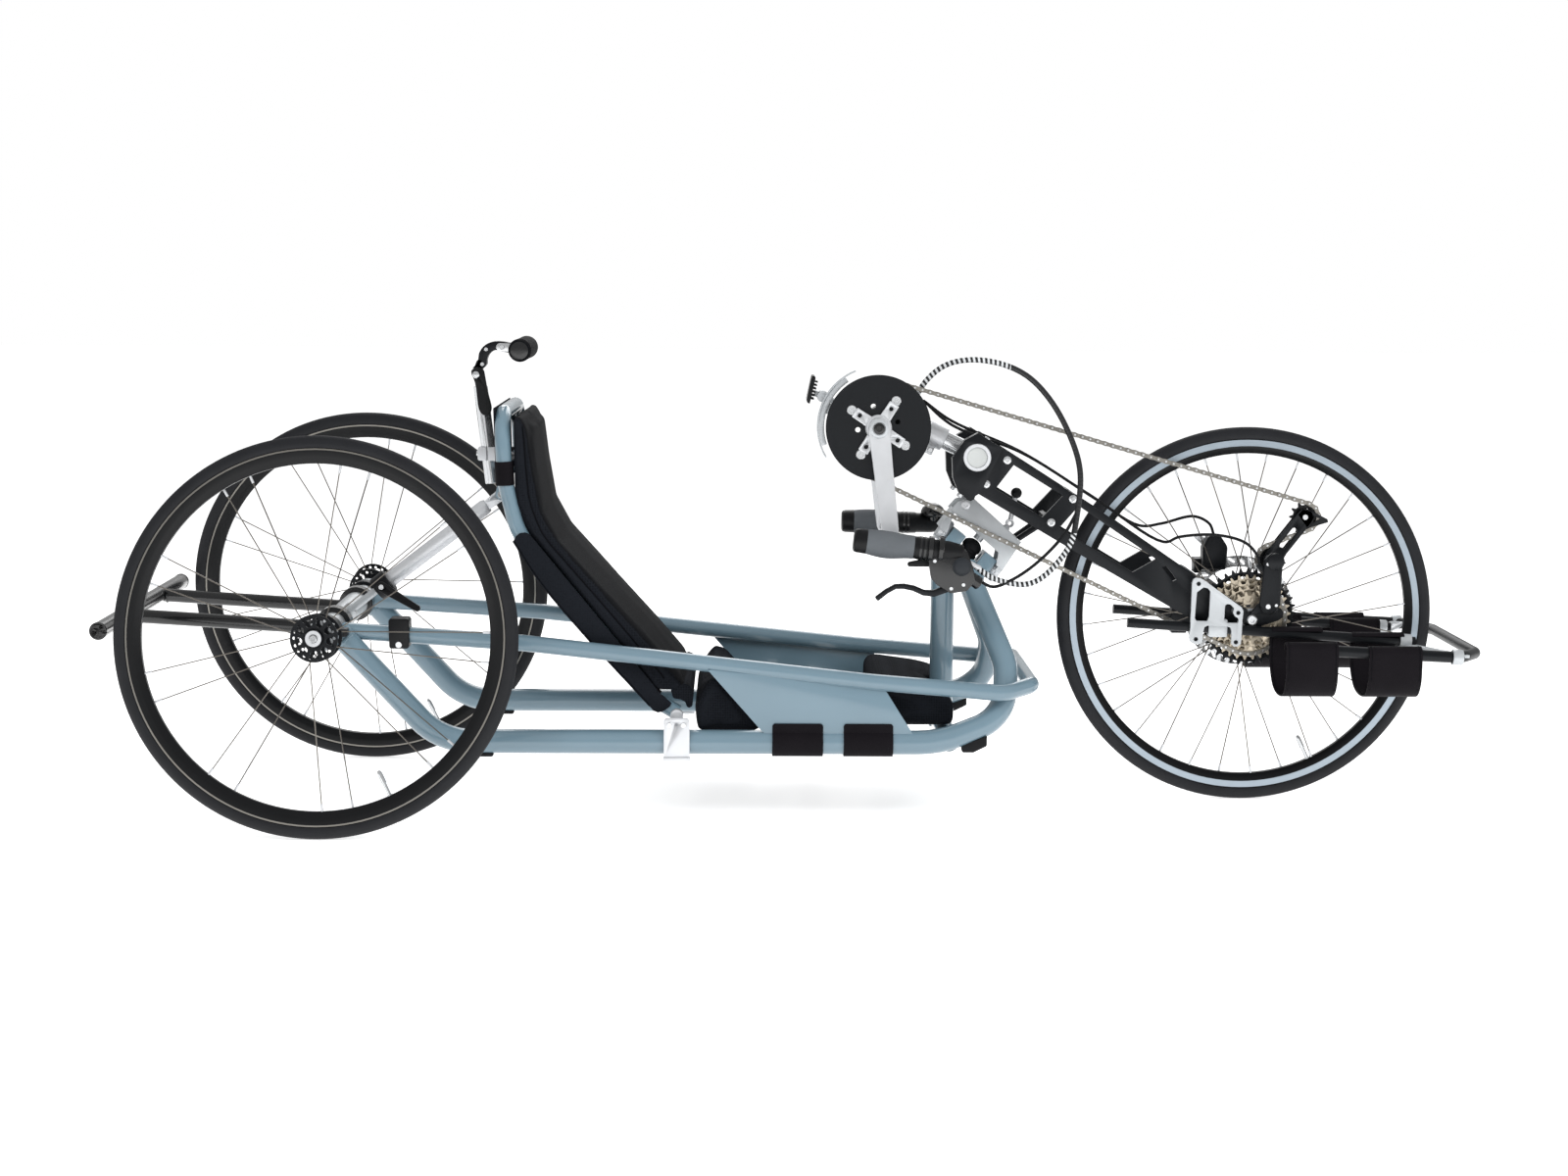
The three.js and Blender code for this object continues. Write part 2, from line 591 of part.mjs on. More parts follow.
// Head on the frame: two knuckles bored for the pivot pins, with a rubber centring block between them
const headSize = { length: 100, depth: 70 };
const headShares = [
  [0.09, 0.2], [0.33, 0.2], [0.33, -0.22], [0.73, -0.22], [0.73, 0.2], [0.97, 0.2],
  [0.97, -0.29], [1, -0.34], [0.97, -0.62], [0.66, -0.95], [0.26, -0.82], [0.03, -0.5], [0.09, -0.29],
];
const headBlock = (extra) => steer.plate(outline(headShares, headSize.length, headSize.depth),
  -knuckle.half - extra, knuckle.half + extra);
const pivotBore = rod(steer.at(0, 0), steer.at(pivot.length, 0), pivot.axle + gap, pivot.sides);
const pockets = [];
for (const [, side] of mirrorSides) {
  for (const [near, far] of [knuckle.first, knuckle.second]) {
    const place = (y) => steer.at((near + far) / 2, knuckle.pocketAt, side * y);
    pockets.push(rod(place(knuckle.half - knuckle.pocketDepth), place(knuckle.half + overrun), knuckle.pocket, 6));
  }
}
add('steering_head', cut(headBlock(0), pivotBore, ...pockets), 'frame_paint');
add('steering_damper', rod(steer.at(damperAt, damper.bottom), steer.at(damperAt, damper.top), damper.radius,
  damper.sides), 'rubber');

// Main frame: two low tubes that sweep up to the head
const tubeY = mainTube.track / 2;
const axleTube = { radius: 20, half: 257, drop: 4, sides: 14 };
const axleHeight = hubHeight.rear - axleTube.drop;
const rearAxleBar = (extra) => rod(vec(0, -axleTube.half, axleHeight), vec(0, axleTube.half, axleHeight),
  axleTube.radius + extra, axleTube.sides);
const lowLine = [
  [12, 200, axleHeight], [172, 200, mainTube.height], [950, 200, mainTube.height], [1052, 186, 164], [1058, 140, 240],
  [1000, 30, 384],
];
const lowBends = [110, 180, 70, 90];
const skidFeet = [
  { from: [233, 191, 102.5], to: [255, 209, 116] },
  { from: [985, 188, 111], to: [1024, 206, 138] },
];

function lowerTube(side, extra) {
  return bentTube(lowLine.map(([x, y, z]) => vec(x, side * y, z)), lowBends, mainTube.radius + extra,
    mainTube.sides, 22);
}
const post = { x: 966, top: 377, crossRadius: 17 };
const wideTubes = mirrorSides.map(([, side]) => lowerTube(side, gap));
for (const [name, side] of mirrorSides) {
  const feet = skidFeet.map(({ from, to }) => box(vec(from[0], side * from[1], from[2]), vec(to[0], side * to[1], to[2])));
  add(`lower_tube_${name}`, cut(join(lowerTube(side, 0), ...feet), rearAxleBar(gap), headBlock(gap)), 'frame_paint');
}
add('steering_post', cut(join(
  rod(vec(post.x, 0, mainTube.height), vec(post.x, 0, post.top), mainTube.radius, mainTube.sides),
  rod(vec(post.x, -tubeY, mainTube.height), vec(post.x, tubeY, mainTube.height), post.crossRadius, mainTube.sides),
), ...wideTubes, headBlock(gap)), 'frame_paint');

// Side rails: one loop of thinner tube that runs round the lower tubes' front
const railLine = [[24, 186, axleHeight - 3], [300, 190, 279], [842, 206, 222], [1050, 206, 205], [1097, 160, 211]];
const railBends = [600, 600, 35, 35];
const sidePlate = { at: 208.5, thickness: 3, corners: [[588, 241], [862, 214], [910, 138], [678, 138]] };
const straps = {
  front: { from: 800, to: 877 }, rear: { from: 689, to: 768 }, thickness: 3,
};
const railCorners = [
  ...railLine.map(([x, y, z]) => vec(x, -y, z)), ...railLine.map(([x, y, z]) => vec(x, y, z)).reverse(),
];
const railPieces = [bentTube(railCorners, [...railBends, ...railBends.slice().reverse()], railTube.radius,
  railTube.sides, 32)];
for (const [, side] of mirrorSides) {
  railPieces.push(ground.plate(polygon(sidePlate.corners), side * sidePlate.at,
    side * (sidePlate.at + sidePlate.thickness)));
}
const strapRoom = Object.values(straps).filter((s) => s.from).map(({ from, to }) => box(
  vec(from - overrun, -mainTube.track, mainTube.height),
  vec(to + overrun, mainTube.track, mainTube.height + mainTube.radius + straps.thickness + gap * 2)));
add('side_rails', cut(join(...railPieces), rearAxleBar(gap), ...wideTubes, ...strapRoom), 'frame_paint');

function strap(name, { from, to }) {
  const y = tubeY;
  const bands = mirrorSides.map(([, side]) => {
    const outer = mainTube.radius + gap + straps.thickness;
    const hoop = ring(outer, mainTube.radius + gap, 18);
    return crossPlate(hoop, from, to).translate(0, side * y, mainTube.height);
  });
  const low = mainTube.height + mainTube.radius + gap;
  bands.push(box(vec(from, -y, low), vec(to, y, low + straps.thickness)));
  add(`strap_${name}`, join(...bands), 'webbing');
}
strap('front', straps.front);
strap('rear', straps.rear);
// Rear axle with tilted sockets for the wheels, and the inner bar of the seat brace
const brace = { y: -60, foot: [0, axleHeight], lug: [259, 500], bar: 6, barEnd: 200, travel: 48, tube: 12.5, from: 74, neck: 30 };
const braceLine = vec(brace.lug[0] - brace.foot[0], 0, brace.lug[1] - brace.foot[1]);
const braceLength = braceLine.length();
braceLine.normalize();
const alongBrace = (distance, y = brace.y) => vec(brace.foot[0], y, brace.foot[1]).addScaledVector(braceLine, distance);
const socket = { radius: 24, inboard: rearTrack / 2 - axleTube.half + 9, clear: hubSizes.rear.half + gap, boss: 15 };
const lean = camber * degree;
const sockets = mirrorSides.flatMap(([, side]) => {
  const onAxis = (inboard) => vec(0, side * (rearTrack / 2 - inboard * Math.cos(lean)),
    hubHeight.rear - inboard * Math.sin(lean));
  return [
    rod(onAxis(socket.inboard), onAxis(socket.clear + 12), socket.radius, 14),
    rod(onAxis(socket.clear + 14), onAxis(socket.clear), socket.boss, 12),
  ];
});
add('rear_axle', join(rearAxleBar(0), ...sockets, rod(alongBrace(0), alongBrace(brace.barEnd), brace.bar, 8),
  rod(alongBrace(0), alongBrace(axleTube.radius + brace.bar), brace.bar * 2, 10)), 'silver');

// Guard behind the rider: two tubes clamped to the axle and a crossbar
const guard = { y: 130, clamp: 28, clampWidth: 30, radius: 11, bar: 13, half: 320, start: [-24, -6], barHeight: 312 };
const barAt = reach.rear + guard.bar;
const guardPieces = [rod(vec(barAt, -guard.half, guard.barHeight), vec(barAt, guard.half, guard.barHeight), guard.bar, 12)];
const axleFrame = new SideFrame(0, axleHeight, 0);
for (const [, side] of mirrorSides) {
  const y = side * guard.y;
  guardPieces.push(
    axleFrame.plate(disc(guard.clamp, 12), y - guard.clampWidth / 2, y + guard.clampWidth / 2),
    rod(vec(guard.start[0], y, axleHeight + guard.start[1]), vec(barAt, y, guard.barHeight), guard.radius, 10),
  );
}
add('rear_guard', cut(join(...guardPieces), rearAxleBar(gap)), 'black_anodised');

// Seat: a bent tube frame that tilts on two clamps over the lower tubes
const tilt = { x: 540, z: 166, pin: 5, barrel: 10, from: 184, to: 198, pinTo: 197.5 };
const seatTube = { y: 164, radius: 12.5, sides: 8 };
const seatLine = [[tilt.x, tilt.z], [511, 183], [292, 448], [272, 530], [267, 632]];
const seatBends = [20, 110, 160, 55];
const seatCorners = [
  ...seatLine.map(([x, z]) => vec(x, -seatTube.y, z)), ...seatLine.map(([x, z]) => vec(x, seatTube.y, z)).reverse(),
];
const crossbar = { x: 271, z: 548, radius: 10 };
const clampBlock = { x: 233, z: 560, half: 11, width: 15 };
const headPost = { top: [220, 668], foot: [238.5, 512], radius: 11.5, sides: 12, tongue: 4.5, pivot: [215, 687] };
const postPlace = ([x, z]) => vec(x, 0, z);
const postLine = postPlace(headPost.foot).sub(postPlace(headPost.top)).normalize();
const lug = { half: 8, thickness: 4, radius: 10, pin: 3, eye: 6.7, eyeOuter: 9.5 };
const seatPieces = [
  bentTube(seatCorners, [...seatBends, ...seatBends.slice().reverse()], seatTube.radius, seatTube.sides, 30),
  rod(vec(crossbar.x, -seatTube.y, crossbar.z), vec(crossbar.x, seatTube.y, crossbar.z), crossbar.radius, 10),
  ground.plate(polygon([[crossbar.x, crossbar.z + clampBlock.half], [clampBlock.x - 17, clampBlock.z + clampBlock.half],
    [clampBlock.x - 17, clampBlock.z - clampBlock.half], [crossbar.x, crossbar.z - clampBlock.half]]),
  -clampBlock.width, clampBlock.width),
  rod(vec(tilt.x, -tilt.pinTo, tilt.z), vec(tilt.x, -seatTube.y, tilt.z), tilt.pin, 10),
  rod(vec(tilt.x, seatTube.y, tilt.z), vec(tilt.x, tilt.pinTo, tilt.z), tilt.pin, 10),
  rod(vec(brace.lug[0], brace.y - lug.half - lug.thickness, brace.lug[1]),
    vec(brace.lug[0], brace.y + lug.half + lug.thickness, brace.lug[1]), lug.pin, 8),
];
for (const [, side] of mirrorSides) {
  const near = brace.y + side * lug.half;
  seatPieces.push(ground.plate(stadium(...brace.lug, crossbar.x, crossbar.z, lug.radius, lug.radius, 3),
    near, near + side * lug.thickness));
}
const headPostBore = rod(postPlace(headPost.foot).addScaledVector(postLine, 60),
  postPlace(headPost.top).addScaledVector(postLine, -overrun), headPost.radius + gap, headPost.sides);
add('seat_frame', cut(join(...seatPieces), headPostBore), 'frame_paint');

for (const [name, side] of mirrorSides) {
  const shelf = mainTube.height + mainTube.radius + gap;
  const outer = tubeY + mainTube.radius + gap;
  const from = tilt.x - 17;
  const to = tilt.x + 18;
  const plateThickness = 4;
  const pieces = [
    box(vec(from, side * (outer + plateThickness), 106), vec(to, side * outer, shelf + plateThickness)),
    box(vec(from, side * tilt.from, shelf), vec(to, side * (outer + plateThickness), shelf + plateThickness)),
    box(vec(from, side * (outer - 14), 102), vec(to, side * (outer + plateThickness), 106.5)),
    new SideFrame(tilt.x, tilt.z, 0).plate(disc(tilt.barrel, 14), side * tilt.from, side * tilt.to),
    box(vec(tilt.x - tilt.barrel, side * tilt.from, shelf + 1), vec(tilt.x + tilt.barrel, side * tilt.to, tilt.z)),
  ];
  const bore = new SideFrame(tilt.x, tilt.z, 0).plate(disc(tilt.pin + gap, 10), side * (tilt.from - overrun),
    side * (tilt.to + overrun));
  add(`seat_clamp_${name}`, cut(join(...pieces), bore), 'silver');
}

// Brace tube that slides over the bar and holds the seat back
const eye = new SideFrame(brace.lug[0], brace.lug[1], Math.atan2(braceLine.z, braceLine.x));
const braceSolid = join(
  rod(alongBrace(brace.from), alongBrace(braceLength - brace.neck), brace.tube, 12),
  rod(alongBrace(brace.from), alongBrace(brace.from + 26), brace.tube + 7, 12),
  eye.plate(stadium(0, 0, -brace.neck - overrun, 0, lug.eyeOuter, lug.eyeOuter, 4), brace.y - lug.half + gap,
    brace.y + lug.half - gap),
);
const braceBore = rod(alongBrace(brace.from - overrun), alongBrace(brace.barEnd + brace.travel), brace.bar + gap, 8);
const eyeBore = eye.plate(disc(lug.eye, 12), brace.y - lug.half - overrun, brace.y + lug.half + overrun);
const leverPin = { at: brace.from + 13, side: -brace.tube - 13, radius: 3 };
const flip = { from: leverPin.at, thickness: 7 };
const flipFrame = new SideFrame(alongBrace(flip.from).x, alongBrace(flip.from).z, -0.55);
const flipY = brace.y - brace.tube - 8;
add('brace_tube', cut(join(braceSolid, rod(alongBrace(flip.from), alongBrace(flip.from, flipY - flip.thickness - 1),
  leverPin.radius, 8)), braceBore, eyeBore), 'silver');
add('brace_lever', cut(flipFrame.plate(stadium(0, 0, 66, 0, 8, 5, 4), flipY, flipY - flip.thickness),
  flipFrame.plate(disc(leverPin.radius + gap, 8), flipY + overrun, flipY - flip.thickness - overrun)), 'black_anodised');

// Headrest: a post in the frame's clamp, a curved arm and a padded roll
const postAxisAt = postPlace(headPost.pivot);
const headPivotFrame = new SideFrame(...headPost.pivot, 0);
add('headrest_post', join(
  rod(postPlace(headPost.foot), postPlace(headPost.top), headPost.radius, headPost.sides),
  headPivotFrame.plate(stadium(0, 0, 5, -22, 7, 7, 3), -headPost.tongue, headPost.tongue),
  rod(postAxisAt.clone().setY(-23), postAxisAt.clone().setY(16), 3, 8),
), 'silver');
const armWidth = { half: 12, ear: 5 };
const armRibbon = polygon([[208, 697], [214, 703], [217.5, 711], [219, 721], [225.5, 731], [234, 737], [246, 740],
  [261, 739], [275, 736], [272, 721], [254.5, 724], [246, 726], [239, 723], [234, 717], [231.5, 710], [231, 703], [226, 697]]);
const armSolid = join(ground.plate(armRibbon, -armWidth.half, armWidth.half),
  ...mirrorSides.map(([, side]) => headPivotFrame.plate(stadium(0, 0, 5, 18, 7.5, 6, 4), side * armWidth.ear,
    side * armWidth.half)));
add('headrest_arm', cut(armSolid, headPivotFrame.plate(disc(3 + gap, 8), -30, 30)), 'black_anodised');
const roll = { x: 289, z: 728, radius: 18, half: 88 };
add('headrest_roll', cut(turned([
  [0, 0], [2, 10], [7, 15], [14, roll.radius], [2 * roll.half - 14, roll.radius], [2 * roll.half - 7, 15],
  [2 * roll.half - 2, 10], [2 * roll.half, 0],
], vec(roll.x, -roll.half, roll.z), vec(roll.x, roll.half, roll.z), 16),
ground.plate(armRibbon, -armWidth.half - gap, armWidth.half + gap)), 'seat_fabric');
const leverOutline = polygon([[228, 693], [234, 659], [239.5, 636], [237, 625], [231, 621.5], [223, 625], [218.5, 634],
  [213.5, 674], [207, 692], [213, 698], [223, 698]]);
add('headrest_lever', cut(ground.plate(leverOutline, -17, -22.4),
  headPivotFrame.plate(disc(3 + gap, 8), -30, 0)), 'black_anodised');

// Seat pad on the frame, its sleeve behind, and two cushions on the lower tubes
const padBack = [[285, 634], [286, 564], [287, 503], [308, 446], [399, 334.5], [506, 203]];
const padFront = [[561, 207], [500, 285], [440, 352], [360, 438], [337, 481], [325, 550], [317, 614], [306, 636]];
const padStations = [[-179, 16], [-168, 9], [-142, 8], [-95, 4], [-38, 0], [38, 0], [95, 4], [142, 8], [168, 9], [179, 16]];
const padRings = padStations.map(([y, inset]) => {
  const backs = padBack.map(([x, z], i) => vec(x + inset * 0.3, y, z + (i === 0 ? -inset * 0.4 : 0)));
  const fronts = padFront.map(([x, z], i) => {
    const low = i === 0 ? 0.4 : 1;
    return vec(x - inset * (i > 3 ? 0.95 : 0.7) * low, y, z - (i > 3 ? 0 : inset * 0.6 * low) - (i === 7 ? inset * 0.3 : 0));
  });
  return [...backs, ...fronts];
});
const framePath = bentTube(seatCorners, [...seatBends, ...seatBends.slice().reverse()], seatTube.radius + gap,
  seatTube.sides, 30);
add('seat_pad', cut(loft(padRings), framePath), 'seat_fabric');
const sleeve = {
  half: 179.4, wall: 177, thickness: 3.5,
  front: [[510, 168], [523, 173], [532, 183], [506, 202.3], [399, 333.8], [307.6, 445.5], [304, 449.5], [288, 441]],
  back: [[285, 436], [325, 374], [400, 284], [474, 203], [497, 178]],
};
const sleeveNormal = [0.771, 0.637];
const offsetLine = (line, by) => line.map(([x, z]) => [x + by * sleeveNormal[0], z + by * sleeveNormal[1]]);
const sleeveBand = (depth) => polygon([...sleeve.back, ...offsetLine(sleeve.back, depth).reverse()]);
add('seat_sling', cut(join(
  ground.plate(sleeveBand(sleeve.thickness), -sleeve.half, sleeve.half),
  ...mirrorSides.map(([, side]) => ground.plate(polygon([...sleeve.back, ...sleeve.front]), side * sleeve.wall,
    side * sleeve.half)),
), framePath), 'seat_fabric');

// A cushion across the machine: the drop rounds its ends, the profile is its side view
function cushion(profile, stations, topFrom, topTo) {
  return loft(stations.map(([y, drop]) => profile.map(([x, z], i) => (
    vec(x, y, i >= topFrom && i <= topTo ? z - drop : z)))));
}
const seatBlock = [[572, 141], [571.5, 170], [574, 188], [584, 211], [595, 227], [604, 226], [640, 187], [674, 141]];
const seatBlockEnds = [[-190, 18], [-181, 6], [-150, 1], [0, 0], [150, 1], [181, 6], [190, 18]];
add('seat_cushion', cut(cushion(seatBlock, seatBlockEnds, 2, 6), ...wideTubes), 'seat_fabric');
const legBlock = [[842, 149], [842, 200], [850, 214], [880, 209], [930, 203], [962, 196], [973, 185], [973, 149]];
const legBlockEnds = [[-180, 24], [-170, 10], [-140, 2], [-60, 1], [60, 1], [140, 2], [170, 10], [180, 24]];
const postNotch = rod(vec(post.x, 0, mainTube.height), vec(post.x, 0, post.top), mainTube.radius + 3, mainTube.sides);
add('leg_cushion', cut(cushion(legBlock, legBlockEnds, 1, 6), postNotch, ...wideTubes), 'seat_fabric');

// Crank carrier: a cross tube in the fork's clamps, a stem and the crank's bearing shell
const crank = { x: 857, z: 608, spindle: 11, shell: 20, shellHalf: 34, sides: 14 };
const crankFrame = new SideFrame(crank.x, crank.z, 0);
const stem = { radius: 15, end: [878, 628], half: 17 };
const stemBlock = [[902, 640], [866, 646], [843, 632], [838, 604], [858, 584], [884, 596], [907, 610]];
const guardArc = { inner: 86, outer: 94, from: 123.5, to: 199, near: -40, far: -22 };
const guardHoop = { inner: 93.4, outer: 97.5, from: 112, to: 211, near: -34, far: -30 };
const guardArm = { angle: 160, radius: 9, near: -34, far: -30 };
const display = { from: [745, -30, 642], to: [757, 30, 689], arm: 5 };
const guardArmEnd = [guardArc.inner * Math.cos(guardArm.angle * degree), guardArc.inner * Math.sin(guardArm.angle * degree)];
const carrierTube = (from, to, radius) => rod(arm.at(0, 0, from), arm.at(0, 0, to), radius, carrier.sides);
const crankAxis = (y) => vec(crank.x, y, crank.z);
add('crank_stem', cut(join(
  carrierTube(-carrier.half, carrier.half, carrier.radius),
  rod(arm.at(0, 0, 0), vec(stem.end[0], 0, stem.end[1]), stem.radius, 14),
  ground.plate(polygon(stemBlock), -stem.half, stem.half),
  rod(crankAxis(-crank.shellHalf), crankAxis(crank.shellHalf), crank.shell, crank.sides),
  crankFrame.plate(arc(guardArc.inner, guardArc.outer, guardArc.from, guardArc.to, 6), guardArc.near, guardArc.far),
  crankFrame.plate(arc(guardHoop.inner, guardHoop.outer, guardHoop.from, guardHoop.to, 7), guardHoop.near, guardHoop.far),
  crankFrame.plate(stadium(0, 0, ...guardArmEnd, guardArm.radius, guardArm.radius, 3), guardArm.near, guardArm.far),
  rod(vec(845, 0, 622), vec(752, 0, 662), display.arm, 8),
  box(vec(...display.from), vec(...display.to)),
), rod(crankAxis(-crank.shellHalf * 2), crankAxis(crank.shellHalf * 2), crank.spindle + gap, crank.sides),
...mirrorSides.map(([, side]) => carrierTube(side * (carrier.half - carrier.recess), side * (carrier.half + overrun), carrier.plug)),
), 'silver');

// Cranks, chainring and hand grips
const ringTeeth = 38;
const chainring = { thickness: 3, inner: 44, bolts: 4, boltCircle: 51, bolt: 5, turn: 57 };
const guardDisc = { radius: 84, near: -57, far: -54, sides: 28 };
const spider = { radius: 9, near: guardDisc.far + gap, far: chainLine - chainring.thickness / 2 - gap };
const boltPlaces = Array.from({ length: chainring.bolts }, (_, i) => {
  const angle = (chainring.turn + (i * 360) / chainring.bolts) * degree;
  return [chainring.boltCircle * Math.cos(angle), chainring.boltCircle * Math.sin(angle)];
});
const ringBore = crankFrame.plate(disc(chainring.inner, 24), guardDisc.near - overrun, chainLine + chainring.thickness);
add('chainring', join(cut(join(
  toothed(ringTeeth, chainLine, chainring.thickness, crankFrame),
  crankFrame.plate(disc(guardDisc.radius, guardDisc.sides), guardDisc.near, guardDisc.far),
), ringBore), ...boltPlaces.map(([x, z]) => crankFrame.plate(disc(chainring.bolt, 8, x, z), guardDisc.near, chainLine))),
'black_anodised');

const crankArm = { near: 66, far: 80, flare: 22, top: 17, bottom: 13, end: [19.5, -171] };
const flareLine = [
  [crankArm.near, crankArm.top], [crankArm.far, crankArm.top], [crankArm.far, -60],
  [crankArm.far + crankArm.flare, -146], [crankArm.far + crankArm.flare, -190],
  [crankArm.near + crankArm.flare, -190], [crankArm.near + crankArm.flare, -142], [crankArm.near, -54],
];
const grip = { y: 178, pin: 8, pinFrom: crankArm.near + crankArm.flare + gap };
const spindleEnd = { radius: 8, from: crankArm.near - gap, to: crankArm.far };
const [gripX, gripZ] = [crank.x + crankArm.end[0], crank.z + crankArm.end[1]];
function crankArmSolid(side) {
  const flat = crankFrame.plate(stadium(0, 0, ...crankArm.end, crankArm.top, crankArm.bottom, 5), side * 60, side * 110);
  const flare = crossPlate(polygon(flareLine.map(([y, z]) => [side * y, z])), -60, 60).translate(crank.x, 0, crank.z);
  const pinBore = rod(vec(gripX, side * 60, gripZ), vec(gripX, side * 110, gripZ), grip.pin + gap, 12);
  return cut(common(flat, flare), pinBore);
}
const spiderArms = boltPlaces.map(([x, z]) => crankFrame.plate(stadium(0, 0, x, z, spider.radius * 1.5, spider.radius, 4),
  spider.near, spider.far));
add('crank_right', cut(join(
  crankArmSolid(-1),
  rod(crankAxis(-crankArm.far), crankAxis(spindleEnd.from), crank.spindle, crank.sides),
  rod(crankAxis(0), crankAxis(spindleEnd.to), spindleEnd.radius, 12),
  ...spiderArms,
), ...boltPlaces.map(([x, z]) => crankFrame.plate(disc(chainring.bolt + gap, 8, x, z), guardDisc.near, chainLine))),
'silver');
add('crank_left', cut(crankArmSolid(1), rod(crankAxis(0), crankAxis(crankArm.far + overrun), spindleEnd.radius + gap, 12)),
  'silver');

const handleRight = { from: [814, 441], to: [985, 421] };
const handleRightRows = [[0, 0], [0, 14], [4, 19], [14, 20.5], [58, 20], [100, 18.5], [106, 16.5], [166, 16.5], [172, 13], [172, 0]];
const handleLeftRows = [[0, 0], [0, 14], [4, 19], [14, 20.5], [58, 20], [100, 18.5], [125, 18], [129, 11], [182, 11], [182, 0]];
const cheek = { outline: [[927, 429], [990, 426], [1004, 379], [991, 363], [966, 359], [935, 382]], outer: 12, inner: 5.5 };
const leverPin2 = { x: 985, z: 373, radius: 3 };
const bladeTop = [[993, 377], [975, 372], [936, 362], [905, 374], [882, 374], [851, 351]];
const bladeLow = [[846, 342], [880, 363], [905, 363], [934, 351], [962, 358], [991, 367]];
const right = -grip.y;
add('grip_right', join(
  turned(handleRightRows, vec(handleRight.from[0], right, handleRight.from[1]), vec(handleRight.to[0], right, handleRight.to[1]), 12),
  rod(vec(gripX, -grip.pinFrom, gripZ), vec(gripX, right, gripZ), grip.pin, 12),
  ground.plate(polygon(cheek.outline), right - cheek.outer, right - cheek.inner),
  ground.plate(polygon(cheek.outline), right + cheek.inner, right + cheek.outer),
  rod(vec(leverPin2.x, right - cheek.outer, leverPin2.z), vec(leverPin2.x, right + cheek.outer, leverPin2.z), leverPin2.radius, 8),
  rod(vec(932, right + cheek.inner, 405), vec(932, right + cheek.outer + 6.5, 405), 2.5, 8),
), 'plastic');
add('brake_lever', cut(ground.plate(polygon([...bladeTop, ...bladeLow]), right - 5, right + 5),
  rod(vec(leverPin2.x, right - 9, leverPin2.z), vec(leverPin2.x, right + 9, leverPin2.z), leverPin2.radius + gap, 8)),
'black_anodised');
add('shift_lever', cut(ground.plate(stadium(932, 405, 903, 402, 7, 4, 3), right + cheek.outer + gap, right + cheek.outer + 5),
  rod(vec(932, right, 405), vec(932, right + 30, 405), 2.5 + gap, 8)), 'plastic');
const handleLeft = { from: [808, 436], to: [990, 433] };
const bell = { x: 961, y: grip.y - 6, z: 446 };
const bellLever = { x: 986, y: grip.y - 6, low: 444.5, high: 449, post: 2.5, eye: 4.7, reach: 26 };
add('grip_left', join(
  turned(handleLeftRows, vec(handleLeft.from[0], grip.y, handleLeft.from[1]), vec(handleLeft.to[0], grip.y, handleLeft.to[1]), 12),
  rod(vec(gripX, grip.pinFrom, gripZ), vec(gripX, grip.y, gripZ), grip.pin, 12),
  turned([[-8, 0], [-8, 8], [0, 8], [0, 20], [8, 20], [16, 15], [21, 7], [22, 0]], vec(bell.x, bell.y, bell.z),
    vec(bell.x, bell.y, bell.z + 1), 12),
  rod(vec(bellLever.x, bellLever.y, handleLeft.to[1]), vec(bellLever.x, bellLever.y, bellLever.high + 1), bellLever.post, 8),
), 'plastic');
const flatPlate = (shape, low, high) => new THREE.ExtrudeGeometry(shape, { depth: high - low, bevelEnabled: false })
  .translate(0, 0, low);
add('bell_lever', cut(flatPlate(stadium(bellLever.x, bellLever.y, bellLever.x + 6, bellLever.y - bellLever.reach,
  bellLever.eye, 4, 3), bellLever.low, bellLever.high), flatPlate(disc(bellLever.post + gap, 8, bellLever.x, bellLever.y),
  bellLever.low - overrun, bellLever.high + overrun)), 'silver');

// Plates outside the fork's tips: they hold the foot rest's rails, and on the left both brake calipers
const plateLine = [[1352, 371], [1356, 381], [1365, 384], [1374, 381], [1437, 331], [1442, 321], [1440, 262], [1352, 262]];
const plateWindows = [
  [[1360, 314], [1384, 314], [1384, 358], [1372, 358], [1360, 352]],
  [[1408, 302], [1430, 302], [1430, 318], [1408, 336]],
];
const sidePlateAcross = { inner: 95, outer: 101 };
const bosses = { places: [[1365, 371], [1430, 321]], radius: 7, gap: 0.3 };
const footRail = { y: 86, radius: 8, from: [1256, 301], to: [1718, 272] };
const footRailAt = (side, extra) => rod(vec(footRail.from[0], side * footRail.y, footRail.from[1]),
  vec(footRail.to[0], side * footRail.y, footRail.to[1]), footRail.radius + extra, 10);
const railGrip = { from: [1385, 77, 280], to: [1415, 96, 308] };
const caliper = { near: 36, far: 67, slot: 2.4, disc: 93, link: 97 };
const calipers = [
  { body: [[1340, 286], [1352, 275], [1385, 276], [1385, 318], [1350, 318]], link: [1350, 264, 1375, 281], pin: null },
  { body: [[1395, 372], [1434, 372], [1436, 410], [1424, 428], [1404, 428], [1395, 408]], link: [1386, 364, 1406, 388],
    pin: [1416, 404] },
];
const caliperPin = { radius: 3, to: 74 };
